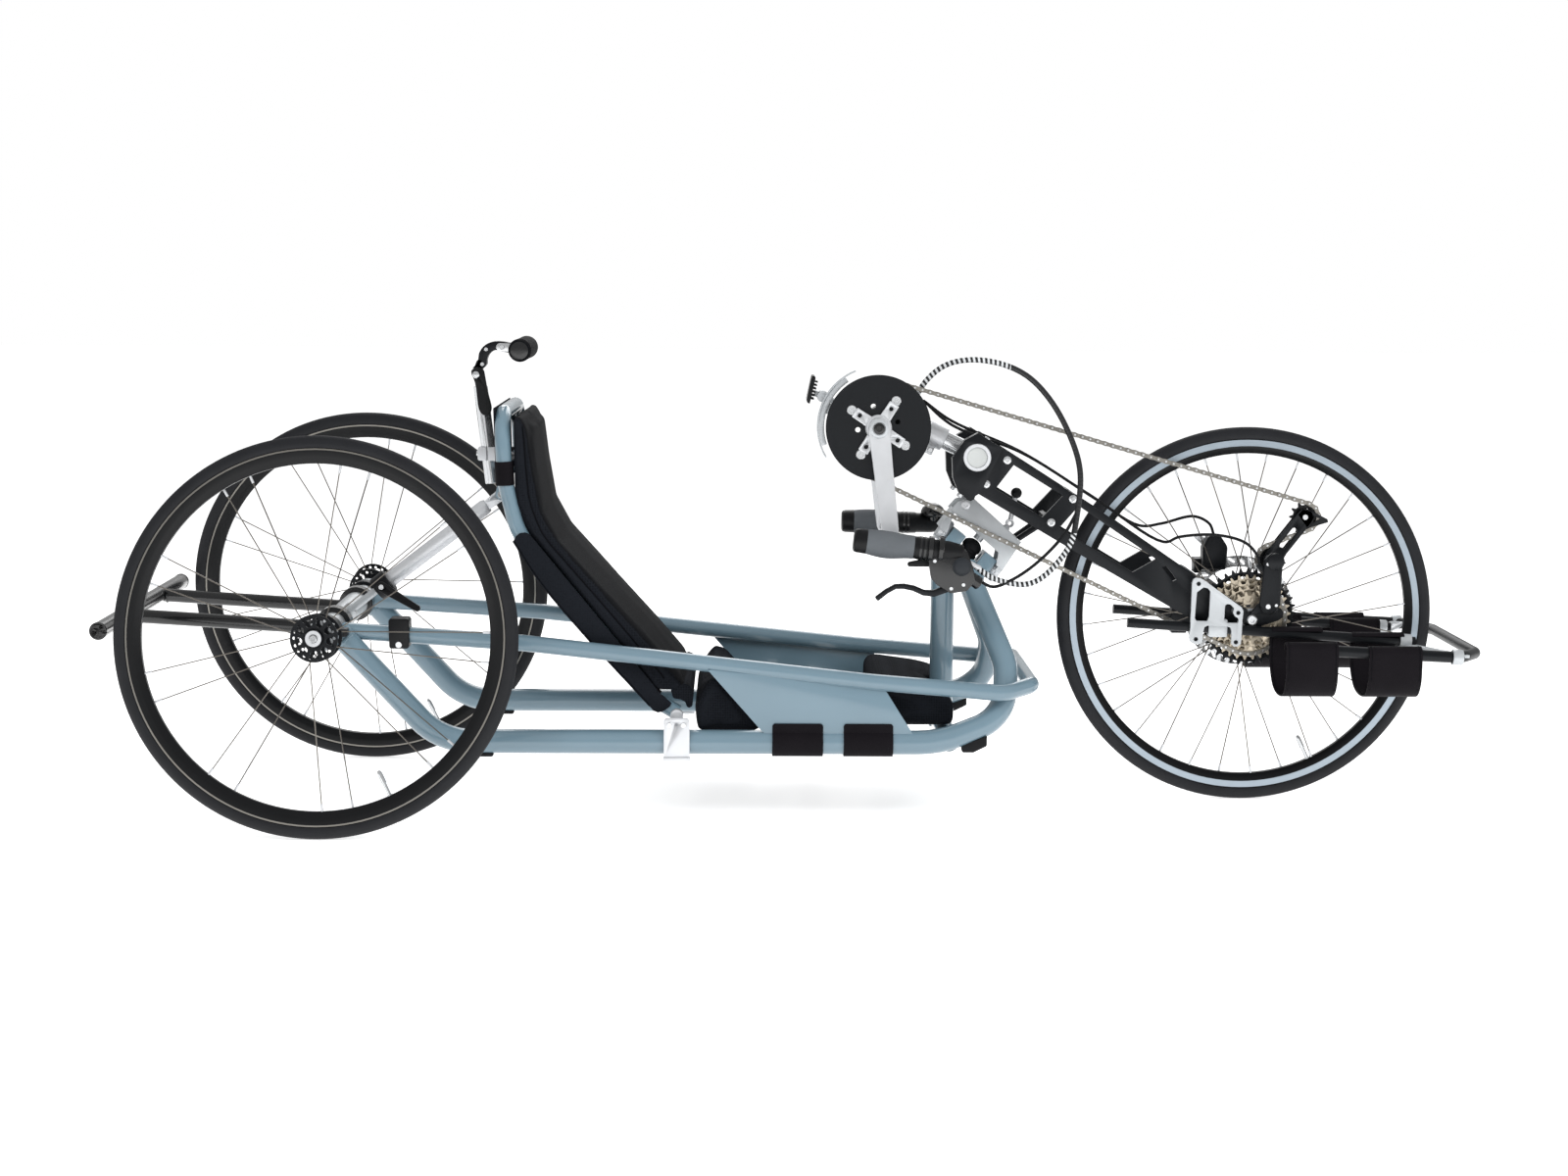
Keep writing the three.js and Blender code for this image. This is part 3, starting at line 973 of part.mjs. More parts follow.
function dropout(side) {
  const sheet = polygon(plateLine);
  for (const window of plateWindows) sheet.holes.push(polygon(window));
  const pieces = [
    ground.plate(sheet, side * sidePlateAcross.inner, side * sidePlateAcross.outer),
    box(vec(railGrip.from[0], side * railGrip.from[1], railGrip.from[2]), vec(railGrip.to[0], side * railGrip.to[1], railGrip.to[2])),
    ...bosses.places.map(([x, z]) => rod(vec(x, side * (ladder.inner + ladder.thickness + gap), z),
      vec(x, side * sidePlateAcross.outer, z), bosses.radius, 10)),
  ];
  if (side < 0) return cut(join(...pieces), footRailAt(side, gap));
  for (const { body, link, pin } of calipers) {
    pieces.push(
      ground.plate(polygon(body), caliper.near, caliper.far),
      box(vec(link[0], caliper.far - 5, link[1]), vec(link[2], caliper.link, link[3])),
    );
    if (pin) pieces.push(rod(vec(pin[0], caliper.far - 3, pin[1]), vec(pin[0], caliperPin.to, pin[1]), caliperPin.radius, 8));
  }
  const slot = hubFrame.plate(disc(caliper.disc, 24), rotor.at - rotor.thickness / 2 - caliper.slot,
    rotor.at - rotor.thickness / 2 + caliper.slot);
  return cut(join(...pieces), footRailAt(side, gap), slot);
}
add('dropout_plate_right', dropout(-1), 'silver');
add('dropout_plate_left', dropout(1), 'silver');
const [pinX, pinZ] = calipers[1].pin;
add('caliper_arm', cut(ground.plate(stadium(pinX, pinZ, pinX - 26, pinZ + 20, 7, 5, 4), caliper.far + gap, caliper.far + 5),
  rod(vec(pinX, caliper.near, pinZ), vec(pinX, caliperPin.to + 5, pinZ), caliperPin.radius + gap, 8)), 'silver');

// Derailleur on the right tip: a body, a sprung cage with two small pulleys, and the chain
const pulleyTeeth = 11;
const guide = { x: 1491, z: 400 };
const tension = { x: 1543, z: 468 };
const cagePlates = { near: -53, far: -39, thickness: 1.8, radius: 14, bolt: 3.2, tail: [1576, 462] };
const changer = { outer: -90, inner: -76.3, radius: 8, outline: [
  [1462, 322], [1484, 312], [1502, 318], [1503, 400], [1492, 416], [1474, 410], [1468, 350]] };
const bodyFrame = new SideFrame(guide.x, guide.z, 0);
add('derailleur', join(
  ground.plate(polygon(changer.outline), changer.outer, changer.inner),
  rod(vec(guide.x, changer.outer - 4, guide.z), vec(guide.x, cagePlates.near - gap, guide.z), changer.radius, 12),
), 'black_anodised');
const heading = [tension.x - guide.x, tension.z - guide.z];
const cageTail = [cagePlates.tail[0] - guide.x, cagePlates.tail[1] - guide.z];
const cageLine = () => {
  const shape = stadium(0, 0, ...heading, cagePlates.radius, cagePlates.radius, 5);
  return shape;
};
const tailLine = () => {
  const shape = polygon([[heading[0] - 14, heading[1]], [heading[0] - 4, heading[1] + 13], [heading[0] + 12, heading[1] + 8],
    [cageTail[0] + 4, cageTail[1] + 2], [cageTail[0] + 2, cageTail[1] - 4], [heading[0] + 2, heading[1] - 18]]);
  shape.holes.push(polygon([[heading[0] + 12, heading[1] + 2], [heading[0] + 24, heading[1] - 4], [heading[0] + 12, heading[1] - 9]]));
  return shape;
};
const cageSheets = [[cagePlates.near, cagePlates.near + cagePlates.thickness], [cagePlates.far - cagePlates.thickness, cagePlates.far]];
add('derailleur_cage', join(
  ...cageSheets.flatMap(([a, b]) => [bodyFrame.plate(cageLine(), a, b), bodyFrame.plate(tailLine(), a, b)]),
  ...[guide, tension].map(({ x, z }) => rod(vec(x, cagePlates.near, z), vec(x, cagePlates.far, z), cagePlates.bolt, 8)),
), 'black_anodised');
for (const [name, { x, z }] of Object.entries({ guide, tension })) {
  const frame = new SideFrame(x, z, 0);
  const bore = frame.plate(disc(cagePlates.bolt + gap, 8), cagePlates.near, cagePlates.far);
  add(`pulley_${name}`, cut(toothed(pulleyTeeth, chainLine, toothSize.thickness, frame), bore), 'plastic');
}

// Chain: a closed belt of links round the chainring, both pulleys and a sprocket
const chainWheels = [
  { x: crank.x, z: crank.z, teeth: ringTeeth, sense: 1, thickness: chainring.thickness },
  { ...tension, teeth: pulleyTeeth, sense: 1, thickness: toothSize.thickness },
  { ...guide, teeth: pulleyTeeth, sense: -1, thickness: toothSize.thickness },
  { x: wheelbase, z: hubHeight.front, teeth: cluster.teeth[1], sense: 1, thickness: toothSize.thickness },
];
const link = { outer: 3.6, inner: 2.7, half: 4.7, clear: 0.3, side: 0.4 };
const straightStep = 3; // links between stations where the chain runs straight
function beltPoints() {
  const legs = chainWheels.map((from, i) => {
    const to = chainWheels[(i + 1) % chainWheels.length];
    const span = new THREE.Vector2(to.x - from.x, to.z - from.z);
    const length = span.length();
    span.divideScalar(length);
    const q = to.sense * pitchRadius(to.teeth) - from.sense * pitchRadius(from.teeth);
    const run = Math.sqrt(length ** 2 - q ** 2);
    const right = new THREE.Vector2(span.y, -span.x);
    const direction = span.clone().multiplyScalar(run / length).addScaledVector(right, -q / length);
    const normal = new THREE.Vector2(direction.y, -direction.x);
    const touch = (wheel) => new THREE.Vector2(wheel.x, wheel.z)
      .addScaledVector(normal, -wheel.sense * pitchRadius(wheel.teeth));
    return { start: touch(from), end: touch(to), direction, run, to };
  });
  const pieces = legs.flatMap((leg, i) => {
    const next = legs[(i + 1) % legs.length];
    const radius = pitchRadius(leg.to.teeth);
    let turn = Math.atan2(leg.direction.y, leg.direction.x) - Math.atan2(next.direction.y, next.direction.x);
    turn *= leg.to.sense;
    while (turn < 0) turn += 2 * Math.PI;
    while (turn > 2 * Math.PI) turn -= 2 * Math.PI;
    return [
      { length: leg.run, at: (s) => ({ place: leg.start.clone().addScaledVector(leg.direction, s), heading: leg.direction }) },
      { length: turn * radius, at: (s) => {
        const angle = (-leg.to.sense * s) / radius;
        const centre = new THREE.Vector2(leg.to.x, leg.to.z);
        return { place: leg.end.clone().rotateAround(centre, angle), heading: leg.direction.clone().rotateAround(new THREE.Vector2(0, 0), angle) };
      } },
    ];
  });
  const total = pieces.reduce((sum, piece) => sum + piece.length, 0);
  const count = 2 * Math.round(total / pitch / 2);
  const points = [];
  for (let k = 0; k < count; k += 1) {
    let s = (k / count) * total;
    let i = 0;
    while (s > pieces[i].length) {
      s -= pieces[i].length;
      i += 1;
    }
    const straight = i % 2 === 0;
    if (!straight || k % straightStep === 0) points.push({ ...pieces[i].at(s), wide: k % 2 === 1 });
  }
  return points;
}
function belt(points) {
  const positions = [];
  const index = [];
  points.forEach(({ place, heading: along, wide }, k) => {
    const half = wide ? link.outer : link.inner;
    for (const [w, h] of [[-1, -1], [1, -1], [1, 1], [-1, 1]]) {
      positions.push(place.x - along.y * h * link.half, chainLine + w * half, place.y + along.x * h * link.half);
    }
    const next = ((k + 1) % points.length) * 4;
    for (let i = 0; i < 4; i += 1) {
      const a = k * 4 + i;
      const b = k * 4 + ((i + 1) % 4);
      index.push(a, b, next + i, b, next + ((i + 1) % 4), next + i);
    }
  });
  const geometry = new THREE.BufferGeometry();
  geometry.setAttribute('position', new THREE.BufferAttribute(Float32Array.from(positions), 3));
  geometry.setIndex(index);
  return geometry;
}
const grooveSides = (teeth) => Math.max(16, Math.round(teeth * 0.8));
const grooves = chainWheels.map(({ x, z, teeth, thickness }) => new SideFrame(x, z, 0).plate(
  disc((pitchRadius(teeth) + toothSize.tip + link.clear) / Math.cos(Math.PI / grooveSides(teeth)), grooveSides(teeth)),
  chainLine - thickness / 2 - link.side, chainLine + thickness / 2 + link.side));
add('chain', cut(belt(beltPoints()), ...grooves), 'steel');

// Foot rest: inner rails, an outer loop and slanted plates between them, with two slings each side
const loopLine = [[1500, 205, 276], [1762, 205, 264], [1802, 140, 262]];
const loopCorners = [
  ...loopLine.map(([x, y, z]) => vec(x, -y, z)), ...loopLine.map(([x, y, z]) => vec(x, y, z)).reverse(),
];
const outerLoop = (extra) => bentTube(loopCorners, [45, 45, 45, 45], 9 + extra, 8, 30);
const bridge = { line: [[1688, 80], [1716, 80], [1776, 204], [1748, 204]], low: 263, high: 268 };
function bridgePlate(side) {
  const geometry = new THREE.ExtrudeGeometry(polygon(bridge.line.map(([x, y]) => [x, side * y])),
    { depth: bridge.high - bridge.low, bevelEnabled: false });
  return geometry.translate(0, 0, bridge.low);
}
add('footrest', join(outerLoop(0), footRailAt(-1, 0), footRailAt(1, 0), bridgePlate(-1), bridgePlate(1)), 'black_anodised');
const slings = { rear: [1487, 1568], front: [1616, 1699], half: 1.5, wrap: 11.2 };
const slingDrop = [[216.5, 250], [213, 225], [195, 204], [150, 197], [105, 206], [78, 235], [74.6, 262]];
const heightOn = (x, [x0, z0], [x1, z1]) => z0 + ((x - x0) * (z1 - z0)) / (x1 - x0);
for (const [name, side] of mirrorSides) {
  for (const [row, [from, to]] of Object.entries({ rear: slings.rear, front: slings.front })) {
    const middle = (from + to) / 2;
    const outerZ = heightOn(middle, [1500, 276], [1762, 264]);
    const innerZ = heightOn(middle, footRail.from, footRail.to);
    const round = (y, z, radius, angle) => [y + radius * Math.cos(angle * degree), z + radius * Math.sin(angle * degree)];
    const line = [
      round(205, outerZ, slings.wrap, 150), round(205, outerZ, slings.wrap, 90), round(205, outerZ, slings.wrap, 40),
      round(205, outerZ, slings.wrap, 0), ...slingDrop,
      round(footRail.y, innerZ, slings.wrap, 180), round(footRail.y, innerZ, slings.wrap, 120),
      round(footRail.y, innerZ, slings.wrap, 60),
    ].map(([y, z]) => [side * y, z]);
    add(`sling_${row}_${name}`, cut(crossPlate(ribbon(line, slings.half), from, to), outerLoop(gap), footRailAt(side, gap)),
      'webbing');
  }
}

// Cables
const housing = [
  [1001.5, -169, 402], [1036, -171, 380], [1095, -168, 374], [1153, -150, 429], [1166, -140, 479], [1171, -130, 543],
  [1160, -120, 589], [1128, -110, 651], [1090, -104, 692], [1048, -98, 712], [1000, -88, 718], [962, -60, 708],
  [935, -36, 684], [916, -28, 655], [894, -28, 630],
];
const hose = [[1005.6, -169, 381], [1032, -172, 368], [1060, -173, 378], [1100, -166, 404], [1143, -152, 446], [1164, -142, 480]];
add('control_cables', join(cord(housing, 3, 22, 6), cord(hose, 2.6, 9, 6)), 'rubber');
const shiftRun = [
  [930, -24, 650], [975, -38, 612], ...[[60, 44, -50], [200, 45, -50], [330, 46, -54]].map(([u, w, y]) => arm.at(u, w, y).toArray()),
  [1340, -60, 436], [1400, -66, 440], [1445, -78, 428], [1464, -83, 405], [1465, -83, 392],
];
const brakeRun = [
  [930, -24, 650], [975, -20, 618], ...[[60, 44, 0], [200, 45, 44], [300, 46, 54]].map(([u, w, y]) => arm.at(u, w, y).toArray()),
  [1330, 60, 446], [1382, 60, 458], [1408, 58, 446], [1415, 56, 429.2],
];
add('fork_cables', join(cord(shiftRun, 2.4, 16, 6), cord(brakeRun, 2.4, 14, 6)), 'rubber');

// The origin goes on the ground, halfway along the machine
const bounds = new THREE.Box3().setFromObject(model);
const middle = (bounds.min.x + bounds.max.x) / 2;
for (const mesh of model.children) mesh.geometry.translate(-middle, 0, -bounds.min.z);
export default model;
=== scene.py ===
"""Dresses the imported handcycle: paint, wheels, drive, seat and straps, seen from its right."""
import logging
import math
from dataclasses import dataclass
from enum import Enum
from typing import Callable, Iterable, Sequence

import bpy
from mathutils import Matrix, Vector
from mathutils.kdtree import KDTree


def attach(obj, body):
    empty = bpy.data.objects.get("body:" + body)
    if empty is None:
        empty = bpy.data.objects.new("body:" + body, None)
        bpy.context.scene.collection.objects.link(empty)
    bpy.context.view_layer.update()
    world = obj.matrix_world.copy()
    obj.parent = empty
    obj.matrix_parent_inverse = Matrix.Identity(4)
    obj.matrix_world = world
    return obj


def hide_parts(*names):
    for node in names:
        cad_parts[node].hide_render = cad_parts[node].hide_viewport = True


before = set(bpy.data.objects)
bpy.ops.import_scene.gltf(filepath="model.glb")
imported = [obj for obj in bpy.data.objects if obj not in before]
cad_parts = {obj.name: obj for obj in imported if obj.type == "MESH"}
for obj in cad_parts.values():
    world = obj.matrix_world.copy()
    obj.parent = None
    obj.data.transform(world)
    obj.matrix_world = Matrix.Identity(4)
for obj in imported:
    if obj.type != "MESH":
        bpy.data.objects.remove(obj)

log = logging.getLogger("handcycle")
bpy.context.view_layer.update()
MILLI = 0.001
MIDDLE = 734.7347  # millimetres from the rear axle forward to the origin
ACROSS = Vector((0, 1, 0))
AHEAD = Vector((1, 0, 0))
BOTH = (-1, 1)
SIDES = (("right", -1), ("left", 1))
AXLE_HEIGHT = 299.794
HUB_HEIGHT = 303.794
HUB = (1457.0, 304.5)  # the front wheel's middle
CARRIER = (1013.0, 563.0)  # the cross tube at the fork's top
SPINDLE = (857.0, 608.0)  # the cranks' middle
ARM_ANGLE = -31.99
LOW_TUBE = (200, 126)  # the low tubes, across and up
POST_TOP = (220, 668)  # the head rest's post in the side plane
POST_FOOT = (238.5, 512)
ROLL = (289, 728)  # the head rest's roll
SMOOTH_ANGLE = 38
Flat = tuple[float, float]
Point = tuple[float, float, float]


def spot(x: float, y: float, z: float) -> Vector:
    """A place in metres, from millimetres measured forward of the rear axle."""
    return Vector(((x - MIDDLE) * MILLI, y * MILLI, z * MILLI))


def turned_about(x: float, z: float, radius: float, angle: float) -> Flat:
    """The place in the side plane at a radius and an angle in degrees about another."""
    return x + radius * math.cos(math.radians(angle)), z + radius * math.sin(math.radians(angle))


class Body(Enum):
    """The moving bodies of the machine."""

    FRAME = "frame"
    WHEEL_RIGHT = "rear_wheel_right"
    WHEEL_LEFT = "rear_wheel_left"
    BUTTON_RIGHT = "release_button_right"
    BUTTON_LEFT = "release_button_left"
    SEAT = "seat"
    BRACE = "seat_brace"
    BRACE_CATCH = "brace_catch"
    STALK = "headrest_stalk"
    HEADREST = "headrest"
    HEAD_CATCH = "headrest_catch"
    STEERING = "steering_unit"
    FRONT_WHEEL = "front_wheel"
    SPROCKETS = "sprockets"
    CRANKS = "crankset"
    GRIP_RIGHT = "hand_grip_right"
    GRIP_LEFT = "hand_grip_left"
    BRAKE = "brake_trigger"
    SHIFT = "shift_trigger"
    BELL = "bell_trigger"
    PARKING = "parking_handle"
    PARKING_ARM = "parking_arm"
    CAGE = "cage"
    GUIDE = "guide_pulley"
    TENSION = "tension_pulley"


# ---------------------------------------------------------------- materials


class Sock:
    """A shader socket that can be added, multiplied and compared in plain expressions."""

    def __init__(self, shader: "Shader", socket: bpy.types.NodeSocket) -> None:
        """Keeps the socket with the shader that owns it."""
        self.shader = shader
        self.socket = socket

    def _math(self, kind: str, *values: object) -> "Sock":
        """Adds one Math node on this socket and others."""
        return self.shader.node("ShaderNodeMath", {"operation": kind}, dict(enumerate(values)))

    def __add__(self, other: object) -> "Sock":
        """The sum."""
        return self._math("ADD", self, other)

    def __mul__(self, other: object) -> "Sock":
        """The product."""
        return self._math("MULTIPLY", self, other)

    def __sub__(self, other: object) -> "Sock":
        """The difference."""
        return self._math("SUBTRACT", self, other)

    def __rsub__(self, other: object) -> "Sock":
        """The difference from a number."""
        return self._math("SUBTRACT", other, self)

    def __truediv__(self, other: object) -> "Sock":
        """The quotient."""
        return self._math("DIVIDE", self, other)

    def __gt__(self, other: object) -> "Sock":
        """One where this is larger."""
        return self._math("GREATER_THAN", self, other)

    def call(self, kind: str, *values: object) -> "Sock":
        """Another Math operation with this socket first.

        Args:
            kind: the Math node's operation.
            values: its other inputs.

        Returns:
            The node's result.
        """
        return self._math(kind, self, *values)


class Shader:
    """One material made of nodes round a single principled shader."""

    def __init__(self, name: str) -> None:
        """Starts an empty material of that name."""
        self.material = bpy.data.materials.new(name)
        self.material.use_nodes = True
        self.tree = self.material.node_tree
        self.tree.nodes.clear()
        self.out = self.tree.nodes.new("ShaderNodeOutputMaterial")
        self.surface = self.tree.nodes.new("ShaderNodeBsdfPrincipled")
        self.tree.links.new(self.surface.outputs[0], self.out.inputs[0])

    def node(self, kind: str, settings: dict[str, object], values: dict[object, object],
             output: object = 0) -> Sock:
        """Adds a node.

        Args:
            kind: the node's type.
            settings: its properties, set first.
            values: its inputs by name or number, each a number, a tuple or a Sock.
            output: which output is returned.

        Returns:
            The chosen output.
        """
        made = self.tree.nodes.new(kind)
        for key, value in settings.items():
            if key == "stops":
                ramp = made.color_ramp.elements
                for spare, (place, shade) in enumerate(value):
                    stop = ramp[spare] if spare < 2 else ramp.new(place)
                    stop.position = place
                    stop.color = shade
            else:
                setattr(made, key, value)
        for key, value in values.items():
            if isinstance(value, Sock):
                self.tree.links.new(value.socket, made.inputs[key])
            else:
                made.inputs[key].default_value = value
        return Sock(self, made.outputs[output])

    def place(self, centre: Vector | None = None, lean: float = 0.0) -> Sock:
        """Object coordinates, moved to a centre and turned by a lean in degrees about X."""
        coords = self.node("ShaderNodeTexCoord", {}, {}, "Object")
        if centre is None:
            return coords
        moved = self.node("ShaderNodeVectorMath", {"operation": "SUBTRACT"}, {0: coords, 1: tuple(centre)})
        return self.node("ShaderNodeMapping", {}, {"Vector": moved, "Rotation": (math.radians(-lean), 0.0, 0.0)})

    def parts(self, vector: Sock) -> tuple[Sock, Sock, Sock]:
        """The three numbers of a vector."""
        split = self.node("ShaderNodeSeparateXYZ", {}, {0: vector})
        outs = split.socket.node.outputs
        return Sock(self, outs[0]), Sock(self, outs[1]), Sock(self, outs[2])

    def noise(self, vector: Sock, scale: float, detail: float = 3.0) -> Sock:
        """Soft noise from 0 to 1."""
        return self.node("ShaderNodeTexNoise", {}, {"Vector": vector, "Scale": scale, "Detail": detail})

    def mix(self, share: object, low: tuple, high: tuple) -> Sock:
        """A colour between two others."""
        return self.node("ShaderNodeMix", {"data_type": "RGBA"},
                         {"Factor": share, 6: low, 7: high}, 2)

    def bump(self, height: Sock, strength: float, distance: float) -> None:
        """Feeds the surface's normal from a height in metres times distance."""
        raised = self.node("ShaderNodeBump", {}, {"Height": height, "Strength": strength, "Distance": distance})
        self.set(Normal=raised)

    def set(self, **values: object) -> None:
        """Sets or links the surface's inputs, with underscores for spaces."""
        for key, value in values.items():
            socket = self.surface.inputs[key.replace("_", " ")]
            if isinstance(value, Sock):
                self.tree.links.new(value.socket, socket)
            else:
                socket.default_value = value


def shade(code: str) -> tuple[float, float, float, float]:
    """A linear colour from a screen colour's six digits."""
    parts = [int(code[i:i + 2], 16) / 255 for i in (0, 2, 4)]
    red, green, blue = (p / 12.92 if p <= 0.04045 else ((p + 0.055) / 1.055) ** 2.4 for p in parts)
    return red, green, blue, 1.0


def darker(colour: tuple, by: float) -> tuple:
    """The same colour at a share of its brightness."""
    return colour[0] * by, colour[1] * by, colour[2] * by, 1.0


@dataclass(frozen=True)
class Paint:
    """Gloss paint under a clear coat."""

    name: str
    colour: str
    rough: float = 0.3
    coat: float = 0.7

    def make(self) -> bpy.types.Material:
        """Builds the material."""
        sh = Shader(self.name)
        where = sh.place()
        cloud = sh.noise(where, 9.0)
        base = shade(self.colour)
        sh.set(Base_Color=sh.mix(cloud, darker(base, 0.93), darker(base, 1.06)),
               Roughness=sh.noise(where, 60.0) * 0.08 + (self.rough - 0.04),
               Metallic=0.0, Coat_Weight=self.coat, Coat_Roughness=0.06)
        sh.bump(sh.noise(where, 420.0, 1.0), 0.05, 0.0006)
        return sh.material


@dataclass(frozen=True)
class Metal:
    """Bare, brushed, cast or anodised metal."""

    name: str
    colour: str
    rough: float = 0.3
    metallic: float = 1.0
    grain: float = 900.0
    depth: float = 0.08
    spread: float = 0.12

    def make(self) -> bpy.types.Material:
        """Builds the material."""
        sh = Shader(self.name)
        where = sh.place()
        fine = sh.noise(where, self.grain, 2.0)
        smear = sh.noise(where, 35.0)
        base = shade(self.colour)
        sh.set(Base_Color=sh.mix(smear, darker(base, 1 - self.spread), darker(base, 1 + self.spread * 0.5)),
               Roughness=fine * 0.1 + smear * 0.1 + (self.rough - 0.1), Metallic=self.metallic)
        sh.bump(fine, self.depth, 0.0004)
        return sh.material


@dataclass(frozen=True)
class Plastic:
    """Moulded plastic or rubber with a fine grain."""

    name: str
    colour: str
    rough: float = 0.5
    grain: float = 700.0
    depth: float = 0.15

    def make(self) -> bpy.types.Material:
        """Builds the material."""
        sh = Shader(self.name)
        where = sh.place()
        fine = sh.noise(where, self.grain, 3.0)
        patch = sh.noise(where, 22.0)
        base = shade(self.colour)
        sh.set(Base_Color=sh.mix(patch, darker(base, 0.85), darker(base, 1.2)),
               Roughness=fine * 0.14 + (self.rough - 0.07), Metallic=0.0, Specular_IOR_Level=0.25)
        sh.bump(fine, self.depth, 0.0005)
        return sh.material


@dataclass(frozen=True)
class Tyre:
    """Tyre rubber: a smooth crown, fine files on the shoulders and a plain wall."""

    name: str
    centre: Point
    lean: float
    crown: float = 0.3035
    shoulder: float = 0.2985

    def make(self) -> bpy.types.Material:
        """Builds the material."""
        sh = Shader(self.name)
        local = sh.place(spot(*self.centre), self.lean)
        x, y, z = sh.parts(local)
        out = (x * x + z * z).call("SQRT")
        angle = z.call("ARCTAN2", x)
        files = (angle * 520.0 + y.call("ABSOLUTE") * 900.0).call("SINE")
        tread = out > self.shoulder
        smooth = out > self.crown
        dust = sh.noise(local, 30.0)
        fine = sh.noise(local, 900.0)
        base = shade("1b1c1f")
        sh.set(Base_Color=sh.mix(dust * 0.8 + tread * 0.15, darker(base, 0.75), darker(base, 1.3)),
               Roughness=fine * 0.15 + 0.52 + tread * 0.1, Metallic=0.0, Specular_IOR_Level=0.25)
        sh.bump(files * tread * (1 - smooth) * 0.5 + fine * 0.4, 0.35, 0.0005)
        return sh.material


@dataclass(frozen=True)
class Cloth:
    """Spacer fabric: small open cells over a dark backing."""

    name: str
    colour: str
    cell: float = 260.0
    depth: float = 0.7
    rough: float = 0.92

    def make(self) -> bpy.types.Material:
        """Builds the material."""
        sh = Shader(self.name)
        where = sh.place()
        cells = sh.node("ShaderNodeTexVoronoi", {"feature": "F1"}, {"Vector": where, "Scale": self.cell,
                                                                    "Randomness": 0.18}, "Distance")
        thread = sh.noise(where, 1400.0)
        wear = sh.noise(where, 7.0)
        base = shade(self.colour)
        hole = 1 - (cells * 1.9).call("MINIMUM", 1.0)
        sh.set(Base_Color=sh.mix((1 - hole) * 0.7 + thread * 0.2 + wear * 0.2 - 0.1, darker(base, 0.3),
                                 darker(base, 1.7)), Roughness=thread * 0.1 + (self.rough - 0.05), Metallic=0.0,
               Specular_IOR_Level=0.05)
        sh.bump(hole * -1.0 + thread * 0.25, self.depth, 0.0008)
        return sh.material


@dataclass(frozen=True)
class Weave:
    """Webbing or tightly woven cloth: crossed ribs."""

    name: str
    colour: str
    ribs: float = 2600.0
    depth: float = 0.5
    rough: float = 0.75

    def make(self) -> bpy.types.Material:
        """Builds the material."""
        sh = Shader(self.name)
        where = sh.place()
        x, y, z = sh.parts(where)
        warp = ((x + z * 0.35) * self.ribs).call("SINE")
        weft = ((y + z) * self.ribs * 0.8).call("SINE")
        rib = warp * weft
        wear = sh.noise(where, 18.0)
        fine = sh.noise(where, 1100.0)
        base = shade(self.colour)
        sh.set(Base_Color=sh.mix(rib * 0.22 + wear * 0.5 + 0.2, darker(base, 0.55), darker(base, 1.6)),
               Roughness=fine * 0.14 + (self.rough - 0.07), Metallic=0.0, Specular_IOR_Level=0.05)
        sh.bump(rib * 0.5 + fine * 0.3, self.depth, 0.0004)
        return sh.material


@dataclass(frozen=True)
class Stripe:
    """A cable housing wound with a light strip over a dark one."""

    name: str
    light: str
    dark: str
    pitch: float = 150.0

    def make(self) -> bpy.types.Material:
        """Builds the material."""
        sh = Shader(self.name)
        where = sh.place()
        x, _, z = sh.parts(where)
        angle = (z - 0.545).call("ARCTAN2", x - 0.305)
        turn = (angle * self.pitch).call("SINE")
        bare = (z > 0.45) * (x > 0.327)
        band = (turn > 0.1) * (1 - bare)
        fine = sh.noise(where, 900.0)
        sh.set(Base_Color=sh.mix(band, shade(self.dark), shade(self.light)),
               Roughness=fine * 0.1 + 0.35, Metallic=0.0)
        sh.bump(turn, 0.3, 0.0005)
        return sh.material


class Finish(Enum):
    """Every finish on the machine; each is built once, on first use."""

    FRAME = Paint("pale_blue_paint", "667e8b")
    BLACK = Metal("anodised_black", "0f1216", 0.4, 0.5, 700.0, 0.06)
    GLOSS = Paint("black_gloss", "07080a", 0.24, 0.4)
    SILVER = Metal("machined_silver", "d9dbde", 0.42, 0.62)
    BRIGHT = Metal("bright_steel", "d4d6d8", 0.2, 0.85, 500.0, 0.03)
    SATIN = Metal("satin_grey", "c1c5c8", 0.42, 0.55, 600.0, 0.06)
    STEEL = Metal("dull_steel", "8f8c86", 0.36)
    GOLD = Metal("champagne_plate", "c6bba8", 0.34, 0.9)
    RIM = Plastic("rim_lacquer", "0a0b0d", 0.36)
    TRACK = Metal("brake_track", "a4b0ba", 0.34, 0.9, 1200.0, 0.1)
    SPOKE = Metal("spoke_steel", "77726c", 0.3)
    RUBBER = Plastic("black_rubber", "0f1012", 0.7)
    PALM = Plastic("grey_grip_rubber", "585c60", 0.68, 450.0, 0.4)
    PLASTIC = Plastic("black_plastic", "0c0d0f", 0.42)
    GREY = Plastic("dark_grey_plastic", "26292d", 0.55)
    MESH = Cloth("spacer_mesh", "15171b")
    SMOOTH = Weave("smooth_seat_cloth", "0c0d10", 3400.0, 0.3)
    WEB = Weave("black_webbing", "151316", 2100.0, 0.55, 0.62)
    SPIRAL = Stripe("spiral_housing", "c9ccce", "1a1b1d")

    def material(self) -> bpy.types.Material:
        """The finish's material."""
        return bpy.data.materials.get(self.value.name) or self.value.make()


# ---------------------------------------------------------------- modelling


